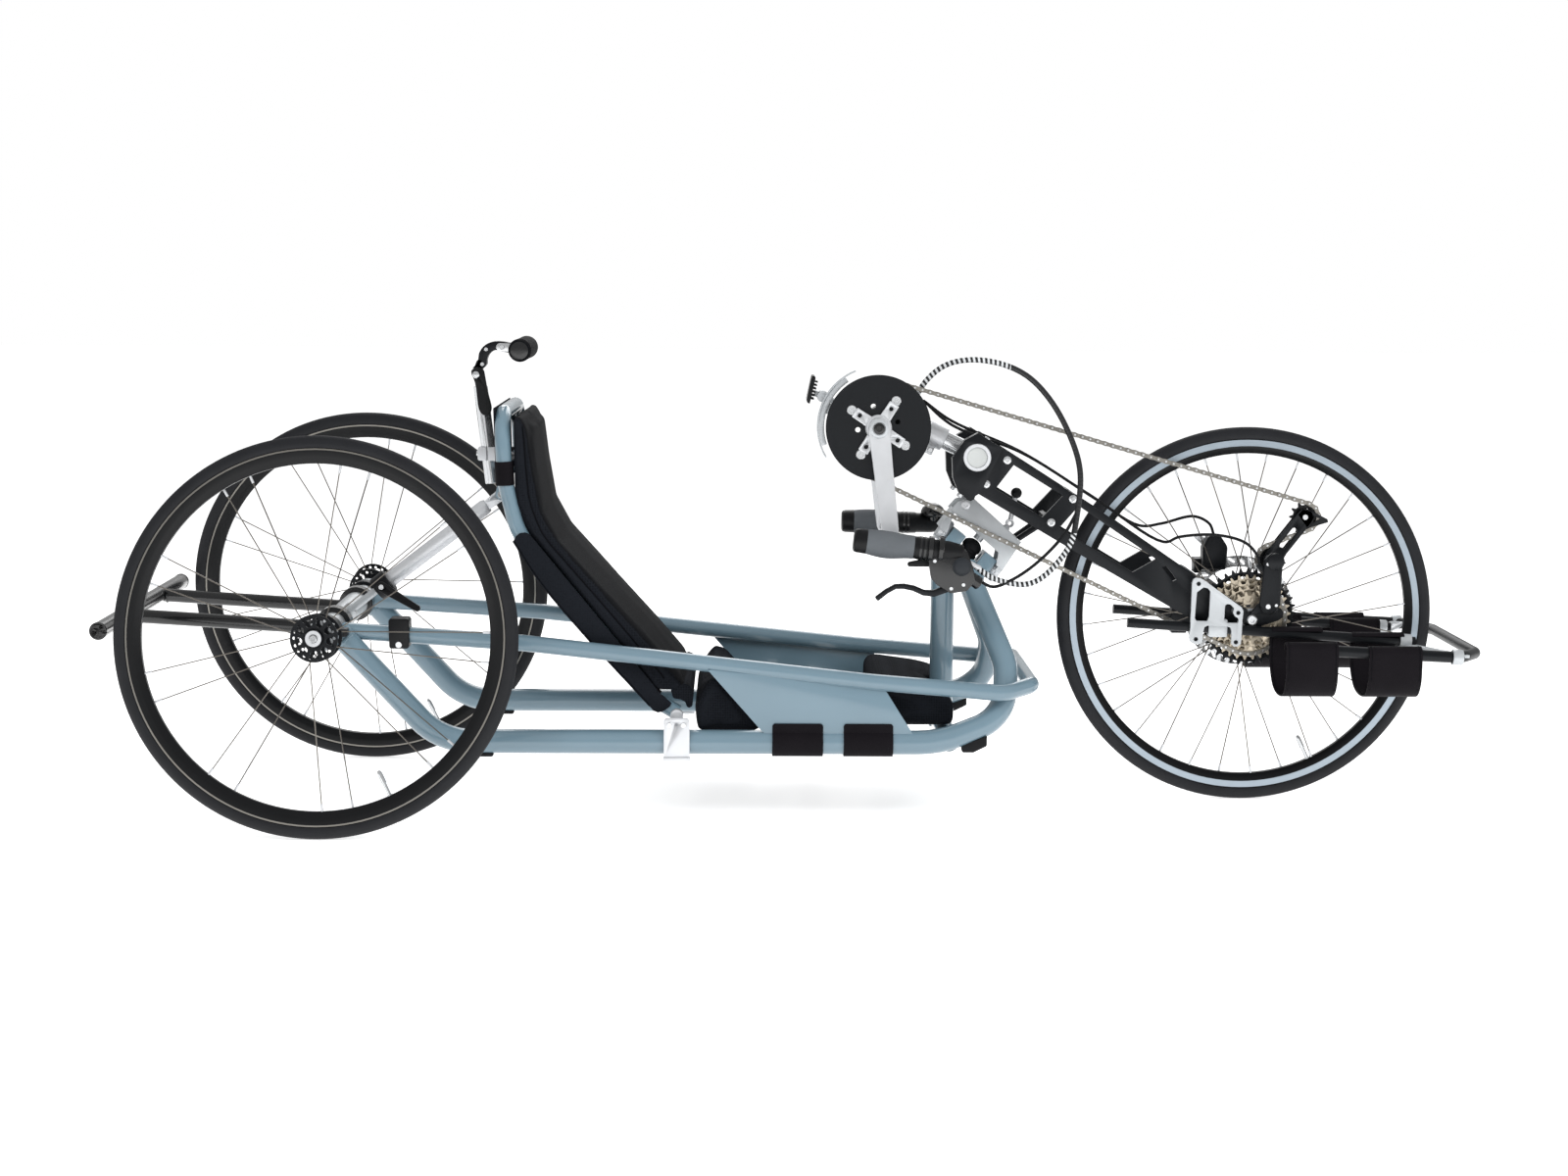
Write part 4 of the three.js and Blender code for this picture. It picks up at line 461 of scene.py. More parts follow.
class Bench:
    """Models pieces with Blender's own operators, in metres."""

    @staticmethod
    def rest() -> None:
        """Leaves edit mode with nothing selected."""
        if bpy.context.object and bpy.context.object.mode != "OBJECT":
            bpy.ops.object.mode_set(mode="OBJECT")
        bpy.ops.object.select_all(action="DESELECT")

    @staticmethod
    def take(obj: bpy.types.Object) -> None:
        """Selects one object alone."""
        Bench.rest()
        obj.select_set(True)
        bpy.context.view_layer.objects.active = obj

    @staticmethod
    def edit(obj: bpy.types.Object, *steps: Callable[[], object]) -> bpy.types.Object:
        """Runs edit-mode steps on everything in the object.

        Args:
            obj: the object.
            steps: calls that run with all of it selected.

        Returns:
            The object.
        """
        Bench.take(obj)
        bpy.ops.object.mode_set(mode="EDIT")
        bpy.ops.mesh.select_all(action="SELECT")
        for step in steps:
            step()
        bpy.ops.object.mode_set(mode="OBJECT")
        return obj

    @staticmethod
    def tidy(obj: bpy.types.Object, reach: float = 2e-6) -> bpy.types.Object:
        """Merges doubles and points every face outwards."""
        return Bench.edit(obj, lambda: bpy.ops.mesh.remove_doubles(threshold=reach),
                          lambda: bpy.ops.mesh.normals_make_consistent(inside=False))

    @staticmethod
    def outline(name: str, places: Sequence[Vector], filled: bool = True) -> bpy.types.Object:
        """A closed line of places, filled or open.

        Args:
            name: the object's name.
            places: the corners in order, in metres.
            filled: whether it holds one face.

        Returns:
            The object.
        """
        Bench.rest()
        bpy.ops.mesh.primitive_circle_add(vertices=len(places), radius=MILLI,
                                          fill_type="NGON" if filled else "NOTHING")
        obj = bpy.context.object
        obj.name = name
        for vertex, place in zip(obj.data.vertices, places):
            vertex.co = place
        return obj

    @staticmethod
    def plate(name: str, corners: Sequence[Flat], near: float, far: float, edge: float = 0.6,
              segments: int = 2) -> bpy.types.Object:
        """A plate drawn in the side plane, with its edges rounded.

        Args:
            name: the object's name.
            corners: its outline in millimetres, x and z.
            near: one face, across the machine.
            far: the other face.
            edge: radius of its edges.
            segments: steps round an edge.

        Returns:
            The object.
        """
        obj = Bench.outline(name, [spot(x, near, z) for x, z in corners])
        step = (0.0, (far - near) * MILLI, 0.0)
        Bench.edit(obj, lambda: bpy.ops.mesh.extrude_region_move(TRANSFORM_OT_translate={"value": step}))
        return Bench.soften(Bench.tidy(obj), edge, segments)

    @staticmethod
    def slab(name: str, corners: Sequence[Point], step: Point, edge: float = 0.5,
             segments: int = 2) -> bpy.types.Object:
        """A flat outline anywhere in space, pushed by a step, in millimetres."""
        obj = Bench.outline(name, [spot(*corner) for corner in corners])
        push = tuple(v * MILLI for v in step)
        Bench.edit(obj, lambda: bpy.ops.mesh.extrude_region_move(TRANSFORM_OT_translate={"value": push}))
        return Bench.soften(Bench.tidy(obj), edge, segments)

    @staticmethod
    def soften(obj: bpy.types.Object, width: float, segments: int = 2, limit: float = 32.0) -> bpy.types.Object:
        """Bevels sharp edges by a width in millimetres and shades the rest smooth."""
        if width > 0:
            Bench.apply(obj, "BEVEL", width=width * MILLI, segments=segments, limit_method="ANGLE",
                        angle_limit=math.radians(limit), use_clamp_overlap=True)
        Bench.take(obj)
        bpy.ops.object.shade_smooth_by_angle(angle=math.radians(SMOOTH_ANGLE))
        return obj

    @staticmethod
    def apply(obj: bpy.types.Object, kind: str, **settings: object) -> bpy.types.Object:
        """Adds one modifier with its settings and applies it."""
        Bench.take(obj)
        modifier = obj.modifiers.new(kind, kind)
        for key, value in settings.items():
            setattr(modifier, key, value)
        bpy.ops.object.modifier_apply(modifier=modifier.name)
        return obj

    @staticmethod
    def lathe(name: str, rows: Sequence[Flat], start: Vector, toward: Vector, steps: int = 32,
              angle: float = 360.0) -> bpy.types.Object:
        """A closed outline spun about a line.

        Args:
            name: the object's name.
            rows: the outline, millimetres along the line and out from it.
            start: a place on the line, in metres.
            toward: the line's direction.
            steps: faces round it.
            angle: degrees of the turn.

        Returns:
            The object.
        """
        axis = toward.normalized()
        side = axis.orthogonal().normalized()
        places = [start + axis * along * MILLI + side * out * MILLI for along, out in rows]
        obj = Bench.outline(name, places, angle < 360)
        Bench.edit(obj, lambda: bpy.ops.mesh.spin(steps=steps, angle=math.radians(angle), center=start,
                                                  axis=axis))
        Bench.tidy(obj)
        Bench.take(obj)
        bpy.ops.object.shade_smooth_by_angle(angle=math.radians(SMOOTH_ANGLE))
        return obj

    @staticmethod
    def rod(name: str, start: Vector, end: Vector, radius: float, sides: int = 20, edge: float = 0.4,
            far_radius: float | None = None) -> bpy.types.Object:
        """A round bar with its end edges broken, between two places in metres."""
        length = (end - start).length / MILLI
        last = radius if far_radius is None else far_radius
        rows = [(0, 0), (0, radius - edge), (edge, radius), (length - edge, last), (length, last - edge), (length, 0)]
        return Bench.lathe(name, rows, start, end - start, sides)

    @staticmethod
    def peg(name: str, x: float, z: float, near: float, far: float, radius: float, sides: int = 20,
            edge: float = 0.4) -> bpy.types.Object:
        """A round bar across the machine, all in millimetres."""
        return Bench.rod(name, spot(x, near, z), spot(x, far, z), radius, sides, edge)

    @staticmethod
    def turned(name: str, rows: Sequence[Flat], x: float, z: float, steps: int) -> bpy.types.Object:
        """A closed outline spun about a line across the machine, all in millimetres."""
        return Bench.lathe(name, rows, spot(x, 0, z), ACROSS, steps)

    @staticmethod
    def ball(name: str, centre: Vector, radius: float, squeeze: Point = (1, 1, 1)) -> bpy.types.Object:
        """A round head pressed to a share of its size along each axis."""
        Bench.rest()
        bpy.ops.mesh.primitive_uv_sphere_add(segments=20, ring_count=12, radius=radius * MILLI)
        obj = bpy.context.object
        obj.name = name
        Bench.edit(obj, lambda: bpy.ops.transform.resize(value=squeeze, center_override=(0, 0, 0)),
                   lambda: bpy.ops.transform.translate(value=centre))
        bpy.ops.object.shade_smooth()
        return obj

    @staticmethod
    def tube(name: str, places: Sequence[Vector], radius: float, sides: int = 20,
             caps: bool = True) -> bpy.types.Object:
        """A round tube through places in metres.

        Args:
            name: the object's name.
            places: the middle line.
            radius: in millimetres.
            sides: faces round it.
            caps: whether its ends are closed.

        Returns:
            The tube as a mesh.
        """
        curve = bpy.data.curves.new(name, "CURVE")
        curve.dimensions = "3D"
        line = curve.splines.new("POLY")
        line.points.add(len(places) - 1)
        for point, place in zip(line.points, places):
            point.co = (*place, 1.0)
        curve.bevel_depth = radius * MILLI
        curve.bevel_resolution = max(1, sides // 4 - 1)
        curve.use_fill_caps = caps
        obj = bpy.data.objects.new(name, curve)
        bpy.context.collection.objects.link(obj)
        Bench.take(obj)
        bpy.ops.object.convert(target="MESH")
        made = bpy.context.object
        Bench.tidy(made)
        Bench.take(made)
        bpy.ops.object.shade_smooth_by_angle(angle=math.radians(45))
        return made

    @staticmethod
    def join(name: str, pieces: Sequence[bpy.types.Object]) -> bpy.types.Object:
        """Joins pieces into one object."""
        Bench.rest()
        for piece in pieces:
            piece.select_set(True)
        bpy.context.view_layer.objects.active = pieces[0]
        if len(pieces) > 1:
            bpy.ops.object.join()
        pieces[0].name = name
        return pieces[0]

    @staticmethod
    def copy(obj: bpy.types.Object, matrix: Matrix) -> bpy.types.Object:
        """A copy with its own mesh, moved by a matrix."""
        twin = obj.copy()
        twin.data = obj.data.copy()
        twin.data.transform(matrix)
        bpy.context.collection.objects.link(twin)
        return twin

    @staticmethod
    def around(obj: bpy.types.Object, centre: Vector, axis: Vector, angles: Iterable[float]) -> list:
        """Copies of an object at other angles in degrees about a line; the first stays."""
        twins = [obj]
        for angle in angles:
            turn = Matrix.Translation(centre) @ Matrix.Rotation(math.radians(angle), 4, axis)
            twins.append(Bench.copy(obj, turn @ Matrix.Translation(-centre)))
        return twins

    @staticmethod
    def mirrored(obj: bpy.types.Object, name: str) -> bpy.types.Object:
        """The same piece on the machine's other side."""
        twin = Bench.copy(obj, Matrix.Scale(-1, 4, ACROSS))
        twin.name = name
        Bench.edit(twin, lambda: bpy.ops.mesh.normals_make_consistent(inside=False))
        return twin

    @staticmethod
    def refined(node: str, name: str, edge: float, segments: int = 2, limit: float = 32.0) -> bpy.types.Object:
        """A copy of a solid with its flat faces made whole and its edges rounded.

        Args:
            node: the solid's name.
            name: the copy's name.
            edge: the rounding in millimetres.
            segments: steps round an edge.
            limit: the smallest angle in degrees that counts as an edge.

        Returns:
            The copy.
        """
        source = bpy.data.objects[node]
        obj = bpy.data.objects.new(name, source.data.copy())
        bpy.context.collection.objects.link(obj)
        Bench.edit(obj, lambda: bpy.ops.mesh.remove_doubles(threshold=5e-6),
                   lambda: bpy.ops.mesh.dissolve_limited(angle_limit=math.radians(1.5)))
        return Bench.soften(obj, edge, segments, limit)

    @staticmethod
    def drill(obj: bpy.types.Object, cutters: Sequence[bpy.types.Object]) -> bpy.types.Object:
        """Takes the cutters' shapes out of an object."""
        tool = Bench.join("cutter", list(cutters))
        Bench.apply(obj, "BOOLEAN", operation="DIFFERENCE", solver="EXACT", object=tool, use_self=True)
        bpy.data.objects.remove(tool)
        return obj


def finish(obj: bpy.types.Object, body: Body, look: Finish | bpy.types.Material, slot: str,
           *nodes: str) -> bpy.types.Object:
    """Gives a piece its finish and its place on the machine.

    Args:
        obj: the piece.
        body: the body that carries it.
        look: its finish.
        slot: not used.
        nodes: the solids that it stands for.

    Returns:
        The piece.
    """
    obj.data.materials.clear()
    obj.data.materials.append(look.material() if isinstance(look, Finish) else look)
    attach(obj, body.value)
    if nodes:
        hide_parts(*nodes)
    log.info("%s on %s", obj.name, body.value)
    return obj


def joined(name: str, pieces: Sequence[bpy.types.Object], body: Body, look: Finish | bpy.types.Material, slot: str,
           *nodes: str) -> bpy.types.Object:
    """Joins pieces into one and gives it its finish and its place on the machine."""
    return finish(Bench.join(name, pieces), body, look, slot, *nodes)


def rounded(corners: Sequence[Vector], radii: Sequence[float], step: float = 6.0) -> list[Vector]:
    """A line through corners with each inner corner bent to a radius.

    Args:
        corners: the corners in metres.
        radii: one radius for each inner corner, in millimetres.
        step: degrees between places on a bend.

    Returns:
        The places in metres.
    """
    places = [corners[0].copy()]
    for i in range(1, len(corners) - 1):
        into = (corners[i] - corners[i - 1]).normalized()
        out = (corners[i + 1] - corners[i]).normalized()
        angle = into.angle(out)
        radius = radii[min(i - 1, len(radii) - 1)] * MILLI
        inward = (out - into * out.dot(into)).normalized()
        start = corners[i] - into * radius * math.tan(angle / 2)
        steps = max(2, math.ceil(math.degrees(angle) / step))
        for k in range(steps + 1):
            turn = angle * k / steps
            places.append(start + into * radius * math.sin(turn) + inward * radius * (1 - math.cos(turn)))
    places.append(corners[-1].copy())
    return places


def stadium(ax: float, az: float, bx: float, bz: float, first: float, last: float | None = None,
            steps: int = 8) -> list[Flat]:
    """A bar with round ends between two places, in millimetres."""
    last = first if last is None else last
    heading = math.degrees(math.atan2(bz - az, bx - ax))
    far = [turned_about(bx, bz, last, heading - 90 + 180 * i / steps) for i in range(steps + 1)]
    near = [turned_about(ax, az, first, heading + 90 + 180 * i / steps) for i in range(steps + 1)]
    return far + near


def both_sides(line: Sequence[Flat], halves: Sequence[float]) -> tuple[list[Flat], list[Flat]]:
    """The two edges of a band along a flat line, from half its width at each place."""
    upper, lower = [], []
    for i, ((x, z), half) in enumerate(zip(line, halves)):
        ax, az = line[max(i - 1, 0)]
        bx, bz = line[min(i + 1, len(line) - 1)]
        length = math.hypot(bx - ax, bz - az)
        nx, nz = (az - bz) / length, (bx - ax) / length
        upper.append((x + nx * half, z + nz * half))
        lower.append((x - nx * half, z - nz * half))
    return upper, lower


def smooth_line(places: Sequence[Point], count: int) -> list[Vector]:
    """A centripetal curve through places in millimetres, in metres."""
    points = [Vector(p) for p in places]
    points = [points[0] * 2 - points[1]] + points + [points[-1] * 2 - points[-2]]
    spans = len(places) - 1
    line: list[Vector] = []
    for k in range(count + 1):
        share = k / count * spans
        i = min(int(share), spans - 1)
        a, b, c, d = points[i:i + 4]
        knots = [0.0]
        for p, q in ((a, b), (b, c), (c, d)):
            knots.append(knots[-1] + max((q - p).length, 1e-6) ** 0.5)
        t = knots[1] + (share - i) * (knots[2] - knots[1])

        def blend(p: Vector, q: Vector, low: float, high: float) -> Vector:
            """The place between two others at this knot."""
            return p * ((high - t) / (high - low)) + q * ((t - low) / (high - low))

        first = blend(a, b, knots[0], knots[1])
        second = blend(b, c, knots[1], knots[2])
        third = blend(c, d, knots[2], knots[3])
        near = blend(first, second, knots[0], knots[2])
        far = blend(second, third, knots[1], knots[3])
        line.append(spot(*blend(near, far, knots[1], knots[2])))
    return line


def smooth_flat(places: Sequence[Flat], count: int) -> list[Flat]:
    """A curve through places of the side plane, all in millimetres."""
    return [(p.x / MILLI + MIDDLE, p.z / MILLI) for p in smooth_line([(x, 0, z) for x, z in places], count)]


# ---------------------------------------------------------------- studio


@dataclass
class Studio:
    """Camera, floor and soft light."""

    eye: Point = (635.4, -4498.3, 892.0)
    pitch: float = 6.95
    yaw: float = -0.94
    roll: float = 0.37
    lens: float = 64.166
    sensor: float = 36.0
    far_clip: float = 60.0
    floor_size: float = 40.0
    floor_glow: float = 0.62
    surround: float = 0.5
    lamp_rows: tuple = (
        ("key_lamp", (-0.9, -2.6, 3.2), (0, 0, 0.3), 2.4, 85.0),
        ("fill_lamp", (2.6, -2.2, 2.0), (0.2, 0, 0.3), 2.2, 50.0),
        ("back_lamp", (0.2, 2.8, 2.6), (0, 0, 0.3), 2.8, 60.0))

    def build(self) -> None:
        """Makes the camera first, then the floor and the lamps."""
        self.camera()
        self.floor()
        self.lamps()

    def camera(self) -> None:
        """The photograph's view."""
        data = bpy.data.cameras.new("camera")
        data.lens = self.lens
        data.sensor_width = self.sensor
        data.clip_end = self.far_clip
        camera = bpy.data.objects.new("camera", data)
        bpy.context.collection.objects.link(camera)
        bpy.context.scene.camera = camera
        cp, sp = math.cos(math.radians(self.pitch)), math.sin(math.radians(self.pitch))
        cy, sy = math.cos(math.radians(self.yaw)), math.sin(math.radians(self.yaw))
        forward = Vector((-sy * cp, cy * cp, -sp))
        right = Vector((cy, sy, 0.0))
        up = right.cross(forward)
        cr, sr = math.cos(math.radians(self.roll)), math.sin(math.radians(self.roll))
        right, up = right * cr + up * sr, up * cr - right * sr
        turn = Matrix((right, up, -forward)).transposed().to_4x4()
        camera.matrix_world = Matrix.Translation(spot(*self.eye)) @ turn

    def floor(self) -> None:
        """A plain pale floor that reads as white behind the machine."""
        Bench.rest()
        bpy.ops.mesh.primitive_plane_add(size=self.floor_size, location=(0.0, 0.0, 0.0))
        floor = bpy.context.object
        floor.name = "studio_floor"
        sh = Shader("studio_floor")
        speckle = sh.noise(sh.place(), 3.0)
        sh.set(Base_Color=sh.mix(speckle, (0.93, 0.93, 0.93, 1), (0.95, 0.95, 0.95, 1)), Roughness=0.9,
               Emission_Color=(1, 1, 1, 1), Emission_Strength=self.floor_glow)
        floor.data.materials.append(sh.material)

    def lamps(self) -> None:
        """An even white surround and three broad soft lamps."""
        scene = bpy.context.scene
        scene.view_settings.view_transform = "Standard"
        world = scene.world or bpy.data.worlds.new("world")
        scene.world = world
        world.use_nodes = True
        tree = world.node_tree
        tree.nodes.clear()
        out = tree.nodes.new("ShaderNodeOutputWorld")
        path = tree.nodes.new("ShaderNodeLightPath")
        mix = tree.nodes.new("ShaderNodeMixShader")
        around = tree.nodes.new("ShaderNodeBackground")
        seen = tree.nodes.new("ShaderNodeBackground")
        for background, strength in ((around, self.surround), (seen, 1.0)):
            background.inputs["Strength"].default_value = strength
            background.inputs["Color"].default_value = (1, 1, 1, 1)
        tree.links.new(path.outputs["Is Camera Ray"], mix.inputs[0])
        tree.links.new(around.outputs[0], mix.inputs[1])
        tree.links.new(seen.outputs[0], mix.inputs[2])
        tree.links.new(mix.outputs[0], out.inputs[0])
        for name, place, aim, size, power in self.lamp_rows:
            data = bpy.data.lights.new(name, "AREA")
            data.size = size
            data.energy = power
            lamp = bpy.data.objects.new(name, data)
            lamp.visible_glossy = name == "back_lamp"
            bpy.context.collection.objects.link(lamp)
            lamp.location = place
            lamp.rotation_euler = (Vector(aim) - Vector(place)).to_track_quat("-Z", "Y").to_euler()


# ---------------------------------------------------------------- cables


@dataclass
class Cables:
    """Housings and hoses from the right grip and from the stem down the fork."""

    loop: tuple = ((1001.5, -169, 402), (1036, -171, 380), (1095, -168, 374), (1153, -150, 429), (1166, -140, 479),
                   (1171, -130, 543), (1160, -120, 589), (1128, -110, 651), (1090, -104, 692), (1048, -98, 712),
                   (1000, -88, 718), (962, -60, 708), (935, -36, 684), (916, -28, 655), (894, -28, 630))
    hose: tuple = ((1005.6, -169, 381), (1032, -172, 368), (1060, -173, 378), (1100, -166, 404), (1143, -152, 446),
                   (1164, -142, 480))
    shift: tuple = ((930, -24, 650), (975, -38, 612), (60, 44, -50), (200, 45, -50), (330, 46, -54), (1340, -60, 436),
                    (1400, -66, 440), (1445, -78, 428), (1464, -83, 405), (1465, -83, 392))
    brake: tuple = ((930, -24, 650), (975, -20, 618), (60, 44, 0), (200, 45, 44), (300, 46, 54), (1330, 60, 446),
                    (1382, 60, 458), (1408, 58, 446), (1415, 56, 429.2))

    def build(self) -> None:
        """Makes the four cords."""
        arm = Fork.arm_place
        runs = {
            "grip_cable_loop": (self.loop, 4.6, 90, Finish.SPIRAL, "control_cables"),
            "grip_hose": (self.hose, 2.6, 40, Finish.RUBBER, "control_cables"),
            "changer_cable": (self.shift, 2.4, 70, Finish.RUBBER, "fork_cables"),
            "brake_hose": (self.brake, 2.4, 64, Finish.RUBBER, "fork_cables"),
        }
        for name, (places, radius, count, look, node) in runs.items():
            line = [arm(p) if p[0] < 400 else p for p in places]
            path = smooth_line(line, count)
            length = sum((b - a).length for a, b in zip(path, path[1:]))
            piece = finish(Bench.tube(name, path, radius, 16), Body.STEERING, look, "rubber", node)
            tuple(path[0])
            [tuple(p) for p in path]


# ---------------------------------------------------------------- wheels


@dataclass
class Wheel:
    """One wheel: tyre, rim, laced spokes, hub and valve."""

    name: str
    body: Body
    centre: Point
    lean: float
    side: int
    front: bool
    crown: float = 304.5
    half: float = 12.5
    rim_in: float = 262.0
    valve: float = -65.0

    def axis(self) -> Vector:
        """The axle's direction, towards the machine's left."""
        lean = math.radians(self.lean)
        return Vector((0, math.cos(lean), math.sin(lean)))

    def at(self, radius: float, angle: float, across: float) -> Vector:
        """A place on the wheel in metres."""
        turn = math.radians(angle)
        up = AHEAD.cross(self.axis())
        out = AHEAD * math.cos(turn) + up * math.sin(turn)
        return spot(*self.centre) + (out * radius + self.axis() * across) * MILLI

    def ring(self, name: str, rows: Sequence[Flat], steps: int = 128) -> bpy.types.Object:
        """A closed outline turned about the axle."""
        return Bench.lathe(name, rows, spot(*self.centre), self.axis(), steps)

    def build(self) -> None:
        """Makes every piece of the wheel."""
        self.tyre()
        self.rim()
        self.spokes()
        self.hub()
        self.stem()

    def tyre(self) -> None:
        """The tyre, round in section, seated in the rim."""
        rows = [(-8.6, 284.6), (-9.6, 287.4)]
        middle = self.crown - self.half - 0.4
        for step in range(15):
            angle = math.radians(205 - step * (230 / 14))
            across, out = self.half * math.cos(angle), (self.half + 0.4) * math.sin(angle)
            rows.append((across, middle + out))
        rows += [(9.6, 287.4), (8.6, 284.6)]
        piece = self.ring(f"tyre_skin_{self.name}", rows, 160)
        finish(piece, self.body, Tyre(f"tyre_{self.name}", self.centre, -self.lean).make(), "tyre_rubber",
               f"tyre_{self.name}")

    def rim(self) -> None:
        """The rim's box section with a brake track or a bright edge line on each side."""
        w = 10.6
        rows = [(-w, 285.2), (-w, 273.5), (-w + 0.7, 271.8), (-7.4, 264.5), (-4.5, 262.2), (4.5, 262.2),
                (7.4, 264.5), (w - 0.7, 271.8), (w, 273.5), (w, 285.2), (w - 1.6, 285.3), (w - 2.2, 283.5),
                (-w + 2.2, 283.5), (-w + 1.6, 285.3)]
        finish(self.ring(f"rim_{self.name}", rows), self.body, Finish.RIM, "rim_black", f"wheel_{self.name}")
        low, high = (274.0, 284.6) if self.front else (282.2, 285.1)
        bands = []
        for edge in BOTH:
            rows = [(edge * (w - 0.3), low), (edge * (w + 0.25), low + 0.3), (edge * (w + 0.25), high - 0.3),
                    (edge * (w - 0.3), high)]
            bands.append(self.ring("band", rows))
        joined(f"rim_track_{self.name}", bands, self.body, Finish.TRACK if self.front else Finish.STEEL, "silver")

    def lacing(self) -> list[tuple[float, float, float, float]]:
        """Each spoke's rim angle, hub angle, flange side and flange radius."""
        rows = []
        if self.front:
            for i in range(32):
                at = 4 + i * 11.25
                pull = 64 if (i // 2) % 2 else -64
                rows.append((at, at + pull, 26 if i % 2 else -26, 24.5))
        else:
            for i in range(18):
                at = (i // 2) * 40 + (i % 2) * 10 - 8
                lean = 13 if i % 2 else -13
                rows.append((at, at + lean, 22 if i % 2 else -22, 33.5))
        return rows

    def spokes(self) -> None:
        """Thin steel spokes with a nipple at the rim."""
        wires, nipples = [], []
        for i, (rim_angle, hub_angle, flange, radius) in enumerate(self.lacing()):
            foot = self.at(radius, hub_angle, flange)
            head = self.at(self.rim_in + 0.4, rim_angle, flange * 0.12)
            wires.append(Bench.tube(f"spoke_{i}", [foot, head], 1.0, 8))
            way = (head - foot).normalized()
            nipples.append(Bench.rod(f"nipple_{i}", head - way * 0.012, head, 1.9, 8, 0.3))
        joined(f"spokes_{self.name}", wires, self.body, Finish.SPOKE, "silver")
        joined(f"nipples_{self.name}", nipples, self.body, Finish.SILVER, "silver")

    def hub(self) -> None:
        """Flanges with oval windows, a waisted shell and the axle's end."""
        spread, flange, half, waist = (26, 27, 33, 13) if self.front else (22, 36, 30, 11)
        left = 55 if self.front else half
        shell = [(-half, 6.6), (-half, 13), (-spread - 2, 15), (-spread + 2, 15), (-10, waist), (10, waist),
                 (spread - 2, 15), (spread + 2, 15), (left, 13.5 if not self.front else 16.5), (left, 6.6)]
        parts = [self.ring("shell", shell, 32)]
        for sign in BOTH:
            mid = sign * spread
            disc = self.ring("flange", [(mid - 1.9, 12), (mid - 1.9, flange - 0.6), (mid - 1.3, flange),
                                        (mid + 1.3, flange), (mid + 1.9, flange - 0.6), (mid + 1.9, 12)], 54)
            count, wide, ring = (8, 2.6, 19.5) if self.front else (9, 5.6, 23.5)
            cutters = []
            for i in range(count):
                angle = 360 / count * (i + 0.5) + 10
                start, end = self.at(ring, angle, mid - 6), self.at(ring, angle, mid + 6)
                cutters.append(Bench.rod("hole", start, end, wide, 14, 0.1))
                if not self.front:
                    outer = 30.0
                    for way in (-9, 9):
                        cutters.append(Bench.rod("hole", self.at(outer, angle + way + 20, mid - 6),
                                                 self.at(outer, angle + way + 20, mid + 6), 2.4, 10, 0.1))
            parts.append(Bench.soften(Bench.drill(disc, cutters), 0.25, 1, 50))
        joined(f"hub_{self.name}", parts, self.body, Finish.BLACK, "black_anodised")
        outer = self.side * half if not self.front else -half
        if not self.front:
            step = self.side
            cap = self.ring("cap", [(outer - step * 1, 6.6), (outer - step * 1, 12.6), (outer + step * 1.2, 12.0),
                                    (outer + step * 1.2, 6.6)], 28)
            joined(f"hub_face_{self.name}", [cap], self.body, Finish.SILVER, "silver")
            button = Body.BUTTON_RIGHT if self.side < 0 else Body.BUTTON_LEFT
            tip = outer + step * 6
            rows = [(outer - step * 39, 0), (outer - step * 39, 5.9), (tip - step * 1.2, 5.9), (tip, 4.8),
                    (tip, 2.6), (tip - step * 0.8, 2.2), (tip - step * 0.8, 0)]
            finish(self.ring(f"axle_end_{self.name}", rows, 28), button, Finish.BRIGHT, "silver",
                   f"axle_button_{self.name}")

    def stem(self) -> None:
        """The valve: a bright stem, its nut and its cap."""
        foot = self.at(self.rim_in + 1, self.valve, 0)
        way = (self.at(200, self.valve, 0) - foot).normalized()
        rows = [(0, 0), (0, 4.6), (1.6, 4.6), (2.0, 2.9), (20, 2.9), (20.5, 4.0), (36, 4.0), (40, 3.2), (42, 1.6),
                (42, 0)]
        finish(Bench.lathe(f"valve_{self.name}", rows, foot, way, 16), self.body, Finish.BRIGHT, "silver")


# ---------------------------------------------------------------- main frame


